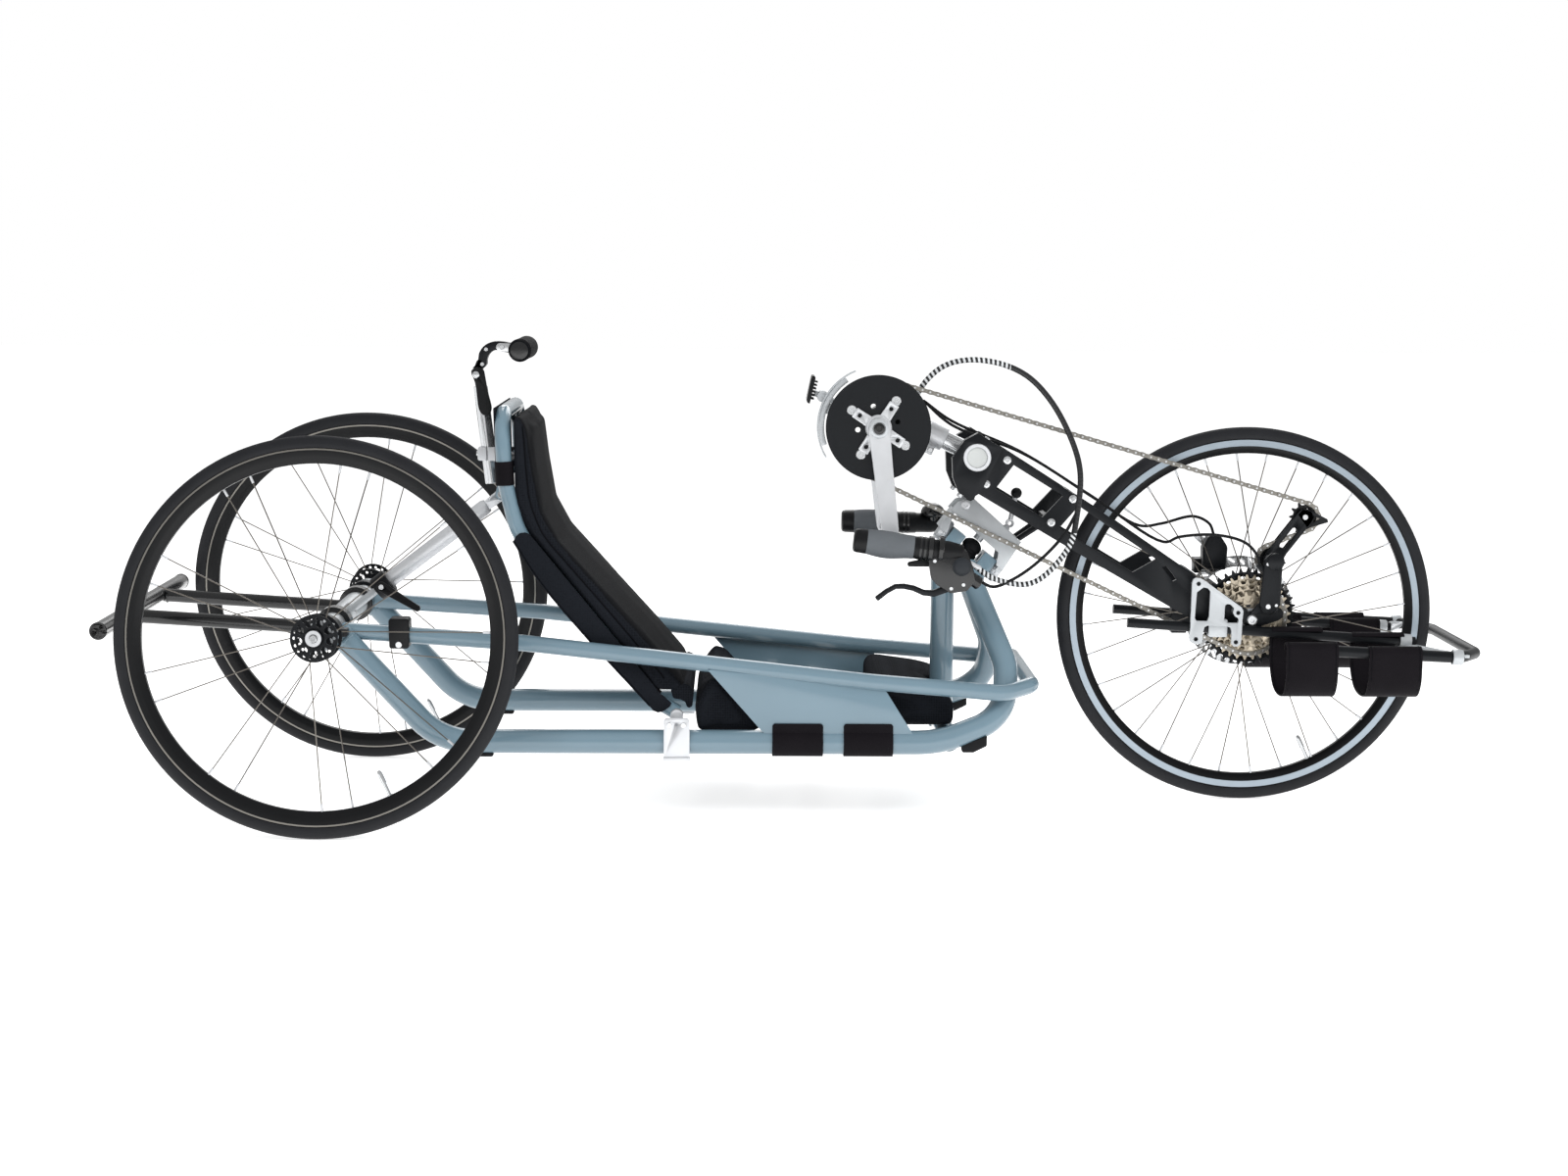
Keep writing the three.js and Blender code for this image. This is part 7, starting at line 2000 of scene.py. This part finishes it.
@dataclass
class Drive:
    """Chain, sprockets, the changer with its cage, and the two small pulleys."""

    guide: Flat = (1491.0, 400.0)
    tension: Flat = (1543.0, 468.0)
    y: float = -46.0
    pitch: float = 12.7

    def build(self) -> None:
        """Makes the drive."""
        self.chain()
        self.cassette()
        self.pulleys()
        self.changer()
        self.cage()

    def reach(self, teeth: int) -> float:
        """A sprocket's pitch radius in millimetres."""
        return self.pitch / 2 / math.sin(math.pi / teeth)

    def run(self) -> list[Vector]:
        """The chain's pins in order round its four wheels."""
        wheels = [(*SPINDLE, 38, 1), (*self.tension, 11, 1), (*self.guide, 11, -1), (*HUB, 29, 1)]
        legs = []
        for i, (x, z, teeth, sense) in enumerate(wheels):
            tx, tz, to_teeth, to_sense = wheels[(i + 1) % 4]
            length = math.hypot(tx - x, tz - z)
            ux, uz = (tx - x) / length, (tz - z) / length
            q = to_sense * self.reach(to_teeth) - sense * self.reach(teeth)
            straight = math.sqrt(length ** 2 - q ** 2)
            dx = ux * straight / length - uz * q / length
            dz = uz * straight / length + ux * q / length
            nx, nz = dz, -dx
            start = (x - nx * sense * self.reach(teeth), z - nz * sense * self.reach(teeth))
            end = (tx - nx * to_sense * self.reach(to_teeth), tz - nz * to_sense * self.reach(to_teeth))
            legs.append((start, end, (dx, dz), straight, (tx, tz, to_teeth, to_sense)))
        places: list[tuple[float, Callable[[float], Flat]]] = []
        for i, (start, end, way, straight, wheel) in enumerate(legs):
            after = legs[(i + 1) % 4][2]
            radius = self.reach(wheel[2])
            turn = (math.atan2(way[1], way[0]) - math.atan2(after[1], after[0])) * wheel[3] % (2 * math.pi)
            places.append((straight, lambda s, a=start, w=way: (a[0] + w[0] * s, a[1] + w[1] * s)))
            places.append((turn * radius, lambda s, e=end, c=wheel, r=radius: self.swing(e, c, s / r)))
        total = sum(length for length, _ in places)
        count = 2 * round(total / self.pitch / 2)
        pins = []
        for k in range(count):
            s, i = total * k / count, 0
            while s > places[i][0]:
                s -= places[i][0]
                i += 1
            x, z = places[i][1](s)
            pins.append(spot(x, self.y, z))
        return pins

    @staticmethod
    def swing(end: Flat, wheel: tuple, turn: float) -> Flat:
        """A place carried round a wheel from where the chain meets it."""
        angle = -wheel[3] * turn
        dx, dz = end[0] - wheel[0], end[1] - wheel[1]
        return (wheel[0] + dx * math.cos(angle) - dz * math.sin(angle),
                wheel[1] + dx * math.sin(angle) + dz * math.cos(angle))

    def chain(self) -> None:
        """Rollers, pins and waisted side plates, link by link."""
        pins = self.run()
        half = self.pitch / 2
        outline = [*(turned_about(half, 0, 3.9, -90 + 180 * k / 6) for k in range(7)), (0, 3.0),
                   *(turned_about(-half, 0, 3.9, 90 + 180 * k / 6) for k in range(7)), (0, -3.0)]
        plates, rollers = [], []
        template = Bench.slab("plate", [(MIDDLE + x, 0, z) for x, z in outline], (0, 0.9, 0), 0.2, 1)
        roller = Bench.rod("roller", Vector((0, -0.00285, 0)), Vector((0, 0.00285, 0)), 3.75, 12, 0.3)
        stub = Bench.rod("stub", Vector((0, -0.0044, 0)), Vector((0, 0.0044, 0)), 1.7, 10, 0.2)
        link_roller = Bench.join("roller", [roller, stub])
        for i, (a, b) in enumerate(zip(pins, pins[1:] + pins[:1])):
            middle = (a + b) / 2
            turn = Matrix.Rotation(-math.atan2(b.z - a.z, b.x - a.x), 4, "Y")
            for offset in ((-4.25, 3.35) if i % 2 else (-3.2, 2.3)):
                plates.append(Bench.copy(template, Matrix.Translation(middle + Vector((0, offset * MILLI, 0))) @ turn))
            rollers.append(Bench.copy(link_roller, Matrix.Translation(a)))
        bpy.data.objects.remove(template)
        bpy.data.objects.remove(link_roller)
        joined("chain_plates", plates, Body.STEERING, Finish.STEEL, "steel", "chain")
        joined("chain_rollers", rollers, Body.STEERING, Finish.BRIGHT, "steel")

    def teeth(self, centre: Flat, count: int, root: float, tip: float, gap: float) -> list[Flat]:
        """A toothed outline.

        Args:
            centre: the wheel's middle in the side plane.
            count: how many teeth.
            root: the gap's depth from the pitch radius, in millimetres.
            tip: the tooth's height from the pitch radius, in millimetres.
            gap: half the gap's width, as a share of a tooth.

        Returns:
            The corners, four for each tooth.
        """
        radius, step = self.reach(count), 360.0 / count
        return [turned_about(*centre, radius + out, 360.0 * i / count + step * share) for i in range(count)
                for out, share in ((root, -gap), (root, gap), (tip, 0.42), (tip, 0.58))]

    def cog(self, teeth: int, y: float, bore: float, thick: float, holes: int = 0,
            ring: float = 0.0) -> bpy.types.Object:
        """One toothed wheel about the front hub."""
        cog = Bench.plate("cog", self.teeth(HUB, teeth, -3.6, 2.6, 0.22), y - thick / 2, y + thick / 2, 0.2, 1)
        cutters = [Bench.peg("bore", HUB[0], HUB[1], y - 5, y + 5, bore, 36, 0.1)]
        for i in range(holes):
            x, z = turned_about(*HUB, ring, 360 / holes * i + 8)
            cutters.append(Bench.peg("hole", x, z, y - 5, y + 5, 4.6, 14, 0.1))
        return Bench.drill(cog, cutters)

    def cassette(self) -> None:
        """Sprockets from the largest, nearest the wheel, to the smallest, with a core between them."""
        gold = [self.cog(33, -41.0, 30, 1.8, 12, 52), self.cog(29, -46.0, 28, 1.8, 10, 45),
                self.cog(25, -49.8, 26, 1.8, 10, 38), self.cog(20, -54.0, 22, 1.8), self.cog(15, -57.6, 18, 1.8),
                self.cog(11, -61.0, 12, 1.8)]
        dark = self.cog(38, -36.0, 36, 2.0, 16, 62)
        finish(dark, Body.SPROCKETS, Finish.BLACK, "black_anodised")
        dark.name = "largest_sprocket"
        core = Bench.turned("core", [(-63, 12.6), (-63, 16.5), (-61, 17), (-60, 22), (-55, 24), (-54.6, 27), (-46, 30),
                                     (-45, 34), (-40, 36), (-36, 44), (-35, 44), (-35, 12.6)], HUB[0], HUB[1], 36)
        joined("sprocket_cluster", gold, Body.SPROCKETS, Finish.GOLD, "champagne", "cassette")
        finish(core, Body.SPROCKETS, Finish.GREY, "champagne")
        core.name = "sprocket_carrier"
        lock = Bench.turned("lock_ring", [(-66, 12.7), (-66, 16.6), (-65, 17.4), (-63, 17.4), (-63, 12.7)], HUB[0],
                            HUB[1], 30)
        finish(lock, Body.SPROCKETS, Finish.SATIN, "silver")

    def pulleys(self) -> None:
        """Two small toothed wheels with their bearings."""
        for name, (x, z), body in (("guide", self.guide, Body.GUIDE), ("tension", self.tension, Body.TENSION)):
            wheel = Bench.plate(f"pulley_wheel_{name}", self.teeth((x, z), 11, -3.4, 2.2, 0.2), self.y - 1.1,
                                self.y + 1.1, 0.25, 1)
            holes = []
            for i in range(5):
                hx, hz = turned_about(x, z, 11.4, 72 * i)
                holes.append(Bench.peg("hole", hx, hz, -55, -40, 2.6, 14, 0.1))
            holes.append(Bench.peg("bore", x, z, -55, -40, 3.4, 18, 0.1))
            finish(Bench.drill(wheel, holes), body, Finish.PLASTIC, "plastic", f"pulley_{name}")
            boss = Bench.turned(f"pulley_bearing_{name}", [(-48.6, 3.4), (-48.6, 6.6), (-43.4, 6.6), (-43.4, 3.4)], x,
                                z, 28)
            finish(boss, body, Finish.BRIGHT, "silver")

    def changer(self) -> None:
        """The changer: knuckle, outer plate with its link pins, and the pivot over the guide pulley."""
        outer = Bench.plate("outer", [(1466, 330), (1478, 318), (1492, 318), (1500, 330), (1502, 392), (1496, 408),
                                      (1484, 414), (1473, 404), (1468, 350)], -89.6, -82, 2.6, 4)
        inner = Bench.plate("inner", [(1470, 322), (1484, 313), (1498, 318), (1500, 400), (1490, 413), (1476, 408),
                                      (1472, 350)], -81, -76.6, 1.6, 3)
        knuckle = Bench.peg("knuckle", 1480, 328, -88, -74, 12, 28, 1.4)
        gusset = Bench.plate("gusset", [(1452, 312), (1480, 316), (1484, 338), (1464, 330)], -80, -74, 1.2)
        pivot = Bench.lathe("pivot", [(-93.6, 0), (-93.6, 11), (-92, 13.4), (-82, 13.4), (-80, 8), (-53.4, 8),
                                      (-53.4, 0)], spot(*(self.guide[0], 0, self.guide[1])), ACROSS, 32)
        arm = Bench.plate("arm", stadium(1465, 392, 1484, 380, 4, 6), -84.5, -80, 0.8)
        joined("changer_body", [outer, inner, knuckle, gusset, pivot, arm], Body.STEERING, Finish.BLACK,
               "black_anodised", "derailleur")
        pins = [Bench.peg("pin", x, z, -89, -91.6, r, 16) for x, z, r in ((1480, 328, 4.0), (1489, 400, 3.4),
                                                                          (1478, 396, 2.8), (1493, 330, 2.6))]
        joined("changer_pins", pins, Body.STEERING, Finish.BRIGHT, "silver")

    def cage(self) -> None:
        """The long cage: two plates with a triangular tail, and the pulleys' bolts."""
        gx, gz = self.guide
        tx, tz = self.tension
        plates = []
        for near, far in ((-53, -51.2), (-40.8, -39)):
            bar = Bench.plate("bar", stadium(gx, gz, tx, tz, 13.4), near, far, 0.4, 1)
            slot = [Bench.plate("slot", stadium(gx + 17, gz + 22, tx - 17, tz - 22, 5), near - 2, far + 2, 0)]
            plates.append(Bench.drill(bar, slot))
            tail = Bench.plate("tail", [(tx - 12, tz + 4), (tx - 4, tz + 13), (tx + 12, tz + 9), (1579, 465),
                                        (1580, 460), (tx + 4, tz - 18)], near, far, 0.4, 1)
            hole = Bench.plate("hole", [(tx + 13, tz + 2), (tx + 25, tz - 3), (tx + 13, tz - 8)], near - 2, far + 2, 0)
            plates.append(Bench.drill(tail, [hole]))
        bolts = []
        for x, z in (self.guide, self.tension):
            plates.append(Bench.peg("axle", x, z, -53, -39, 3.2, 18))
            bolts.append(Bench.peg("bolt", x, z, -52.8, -54.6, 4.4, 20))
        joined("changer_cage", plates, Body.CAGE, Finish.BLACK, "black_anodised", "derailleur_cage")
        joined("cage_bolts", bolts, Body.CAGE, Finish.BRIGHT, "silver")


# ---------------------------------------------------------------- front end


@dataclass
class FrontEnd:
    """Tip plates, both calipers, the rotor, the foot rest and its four slings."""

    foot_from: Flat = (1256.0, 301.0)
    foot_to: Flat = (1718.0, 272.0)

    def build(self) -> None:
        """Makes the front end."""
        self.plates()
        self.calipers()
        self.rotor()
        self.foot_rest()
        self.slings()

    def plates(self) -> None:
        """Silver windowed plates with bolts, one on each tip."""
        outline = [(1356, 367), (1358, 372), (1363, 374.6), (1370, 374), (1375.5, 371), (1436, 328), (1439, 322),
                   (1437.6, 306), (1437, 281), (1436, 269), (1431, 265), (1425, 265), (1421, 269), (1420.6, 290),
                   (1418.6, 295.6), (1413.6, 297.4), (1382, 298.6), (1377.4, 296), (1375.6, 289), (1374.6, 271.5),
                   (1371, 269), (1361, 269), (1354.6, 272.6), (1353.4, 279), (1355, 295)]
        windows = (((1364, 352), (1374.5, 360), (1381.5, 358.3), (1385.6, 353.4), (1384.4, 313), (1381.6, 305.6),
                    (1364, 306), (1361.6, 310.6)), ((1409.3, 331), (1412.8, 333.4), (1418, 332.6), (1424, 326.6),
                                                    (1422.4, 320), (1425.4, 313.6), (1430.6, 310.8), (1432, 307),
                                                    (1430, 302.8), (1413, 303), (1408.4, 307)))
        for name, side in SIDES:
            plate = Bench.plate("plate", outline, side * 95, side * 101, 0)
            cutters = [Bench.plate("window", w, side * 90, side * 106, 1.0, 3) for w in windows]
            plate = Bench.soften(Bench.drill(plate, cutters), 0.9, 2, 50)
            grip = Bench.plate("grip", [(1385, 281), (1387, 279.4), (1413, 279.4), (1415, 281), (1415, 306),
                                        (1413, 308), (1387, 308), (1385, 306)], side * 77, side * 96, 1.0)
            hold = Bench.rod("hole", self.foot(1360, side), self.foot(1440, side), 8.25, 28, 0.1)
            bosses = [Bench.peg("boss", x, z, side * 76.4, side * 96, 7, 24)
                      for x, z in ((1366.4, 365.5), (1430.6, 319.2))]
            joined(f"tip_plate_{name}", [plate, Bench.drill(grip, [hold]), *bosses], Body.STEERING, Finish.SATIN,
                   "silver", f"dropout_plate_{name}")
            bolts = []
            for x, z in ((1366.4, 365.5), (1430.6, 319.2), (1364, 276.7), (1428, 272)):
                rows = [(100.4, 0), (100.4, 3.4), (101.6, 3.4), (102.2, 3.0), (102.2, 1.6), (101, 1.5), (101, 0)]
                bolts.append(Bench.lathe("bolt", rows, spot(x, 0, z), ACROSS * side, 22))
            joined(f"tip_bolts_{name}", bolts, Body.STEERING, Finish.BLACK, "black_anodised")

    def foot(self, x: float, side: float) -> Vector:
        """A place on the inner foot rail's middle line."""
        (x0, z0), (x1, z1) = self.foot_from, self.foot_to
        return spot(x, side * 86, z0 + (x - x0) * (z1 - z0) / (x1 - x0))

    def calipers(self) -> None:
        """Two black calipers that straddle the rotor, the second with the parking arm."""
        bodies = (((1340, 286), (1352, 275), (1385, 276), (1385, 318), (1350, 318)),
                  ((1395, 372), (1434, 372), (1436, 410), (1424, 428), (1404, 428), (1395, 408)))
        links = ((1350, 264, 1375, 281), (1386, 364, 1406, 388))
        pieces = []
        slot = Bench.turned("slot", [(48.6, 0), (48.6, 93), (53.4, 93), (53.4, 0)], HUB[0], HUB[1], 48)
        for outline in bodies:
            pieces.append(Bench.plate("body", outline, 36, 67, 4.0, 4))
        made = Bench.drill(Bench.join("caliper_bodies", pieces), [slot])
        arms = [Bench.plate("link", [(x0, z0), (x1, z0), (x1, z1), (x0, z1)], 62, 96.5, 1.2)
                for x0, z0, x1, z1 in links]
        arms.append(Bench.peg("pin", 1416, 404, 64, 74, 3, 18))
        joined("caliper_bodies", [made, *arms], Body.STEERING, Finish.BLACK, "black_anodised")
        bolts = [Bench.peg("bolt", x, z, 66, 69.6, 3.6, 18) for x, z in ((1358, 292), (1377, 306), (1404, 384),
                                                                         (1428, 398), (1363, 272), (1396, 376))]
        joined("caliper_bolts", bolts, Body.STEERING, Finish.BRIGHT, "silver")
        arm = Bench.plate("caliper_swing", stadium(1416, 404, 1390, 424, 7, 5), 67.4, 72, 0.9)
        arm = Bench.drill(arm, [Bench.peg("hole", 1416, 404, 60, 80, 3.2, 16, 0.1)])
        finish(arm, Body.PARKING_ARM, Finish.SILVER, "silver", "caliper_arm")

    def rotor(self) -> None:
        """A thin silver brake disc with slanted slots, on a five-armed carrier."""
        x, z = HUB
        disc = Bench.turned("disc", [(50.1, 72), (50.1, 90), (51.9, 90), (51.9, 72)], x, z, 90)
        cutters = []
        for i in range(30):
            angle = i * 12
            a = turned_about(x, z, 77 if i % 2 else 80, angle)
            b = turned_about(x, z, 83 if i % 2 else 86, angle + 5)
            cutters.append(Bench.plate("slot", stadium(*a, *b, 1.9, 1.9, 4), 46, 56, 0))
        disc = Bench.drill(disc, cutters)
        inner = Bench.turned("carrier", [(50.2, 14), (50.2, 26), (51.8, 26), (51.8, 14)], x, z, 48)
        arms = []
        for i in range(6):
            foot, tip = turned_about(x, z, 22, i * 60), turned_about(x, z, 74.5, i * 60 + 16)
            arms.append(Bench.plate("arm", stadium(*foot, *tip, 5.2, 3.4), 50.2, 51.8, 0.3, 1))
        joined("rotor_disc", [disc, inner, *arms], Body.FRONT_WHEEL, Finish.BRIGHT, "silver", "brake_rotor")

    def foot_rest(self) -> None:
        """The black loop, its two inner rails and the silver bridge plates."""
        loop = [(1500, 205, 276), (1762, 205, 264), (1802, 140, 262)]
        corners = [spot(x, -y, z) for x, y, z in loop] + [spot(x, y, z) for x, y, z in reversed(loop)]
        pieces = [Bench.tube("loop", rounded(corners, [45, 45, 45, 45]), 9, 26)]
        for side in BOTH:
            pieces.append(Bench.tube("rail", [self.foot(1256, side), self.foot(1718, side)], 8, 24))
            pieces.append(Bench.lathe("plug", [(-1, 0), (-1, 8.6), (3, 9.2), (5, 8), (5, 0)],
                                      spot(1500, side * 205, 276), Vector((-1, 0, 0.046)), 24))
        joined("foot_rest_tubes", pieces, Body.STEERING, Finish.BLACK, "black_anodised", "footrest")
        bridges = []
        rings = []
        for side in BOTH:
            corners = [(1688, side * 80, 263), (1716, side * 80, 263), (1776, side * 204, 263), (1748, side * 204, 263)]
            plate = Bench.slab("bridge", corners, (0, 0, 5), 0.9)
            holes = [Bench.rod("hole", spot(x, side * y, 255), spot(x, side * y, 275), 4.0, 16, 0.1)
                     for x, y in ((1714, 110), (1732, 142), (1750, 174))]
            bridges.append(Bench.drill(plate, holes))
            heading = self.foot(1718, side) - self.foot(1256, side)
            rings.append(Bench.lathe("ring", [(-9, 8.1), (-9, 11), (-8, 11.6), (8, 11.6), (9, 11), (9, 8.1)],
                                     self.foot(1702, side), heading, 28))
            rings.append(Bench.lathe("ring", [(-8, 9.1), (-8, 11.6), (-7, 12.2), (7, 12.2), (8, 11.6), (8, 9.1)],
                                     spot(1756, side * 205, 264.3), Vector((262, 0, -12)), 28))
        joined("foot_rest_bridges", [*bridges, *rings], Body.STEERING, Finish.SATIN, "silver")
        screws = []
        for side in BOTH:
            for x, y in ((1702, 86), (1759, 198)):
                screws.append(Bench.rod("screw", spot(x, side * y, 266), spot(x, side * y, 270.4), 4.2, 18))
        joined("foot_rest_screws", screws, Body.STEERING, Finish.BRIGHT, "silver")

    def slings(self) -> None:
        """Four wide webbing slings between the outer loop and the inner rails."""
        drop = [(216.5, 250), (213, 225), (195, 204), (150, 197), (105, 206), (78, 235), (74.6, 262)]
        for row, (first, last) in (("rear", (1487, 1568)), ("front", (1616, 1699))):
            middle = (first + last) / 2
            outer_z = 276 + (middle - 1500) * (264 - 276) / 262
            inner_z = 301 + (middle - 1256) * (272 - 301) / 462
            for name, side in SIDES:
                line = [turned_about(205, outer_z, 11.2, a) for a in (190, 165, 140, 115, 90, 65, 40, 15, 0)]
                line += drop
                line += [turned_about(86, inner_z, 10.2, a) for a in (180, 155, 130, 105, 80, 55, 30)]
                smooth = smooth_line([(0.0, y, z) for y, z in line], 90)
                curve = [(p.y / MILLI, p.z / MILLI) for p in smooth]
                up, down = both_sides(curve, [1.3] * len(curve))
                corners = [(first, side * y, z) for y, z in up + down[::-1]]
                web = Bench.slab(f"sling_{row}_{name}_web", corners, (last - first, 0, 0), 0.5, 2)
                finish(web, Body.STEERING, Finish.WEB, "webbing", f"sling_{row}_{name}")
                hems = []
                for x in (first + 4, last - 4):
                    for edge in (up, down):
                        hems.append(Bench.tube("hem", [spot(x, side * y, z) for y, z in edge[4:-4:3]], 0.6, 6))
                joined(f"sling_{row}_{name}_hems", hems, Body.STEERING, Finish.SMOOTH, "webbing")


def wheels() -> list[Wheel]:
    """The machine's three wheels."""
    return [
        Wheel("right", Body.WHEEL_RIGHT, (0.0, -320.0, HUB_HEIGHT), -5.0, -1, False),
        Wheel("left", Body.WHEEL_LEFT, (0.0, 320.0, HUB_HEIGHT), 5.0, 1, False),
        Wheel("front", Body.FRONT_WHEEL, (HUB[0], 0.0, HUB[1]), 0.0, -1, True),
    ]


def main() -> None:
    """Builds the studio and dresses the whole machine."""
    logging.basicConfig(level=logging.WARNING)
    Studio().build()
    Cables().build()
    for wheel in wheels():
        wheel.build()
    MainFrame().build()
    Fork().build()
    CrankSet().build()
    HandGrip("right", -1, Body.GRIP_RIGHT, (814, 441), (985, 421), "grip_right").build()
    HandGrip("left", 1, Body.GRIP_LEFT, (808, 436), (990, 433), "grip_left").build()
    RightControls().build()
    Bell().build()
    SeatFrame().build()
    SeatPad().build()
    HeadRest().build()
    Cushion("seat_block", "seat_cushion", ((572, 141), (571.5, 170), (574, 188), (584, 211), (595, 227), (604, 226),
                                           (640, 187), (674, 141)), 190, 4.0).build()
    Cushion("leg_block", "leg_cushion", ((842, 149), (842, 200), (850, 214), (880, 209), (930, 203), (962, 196),
                                         (973, 185), (973, 149)), 180, 4.0, True).build()
    Straps().build()
    Drive().build()
    FrontEnd().build()


if __name__ == "__main__":
    main()
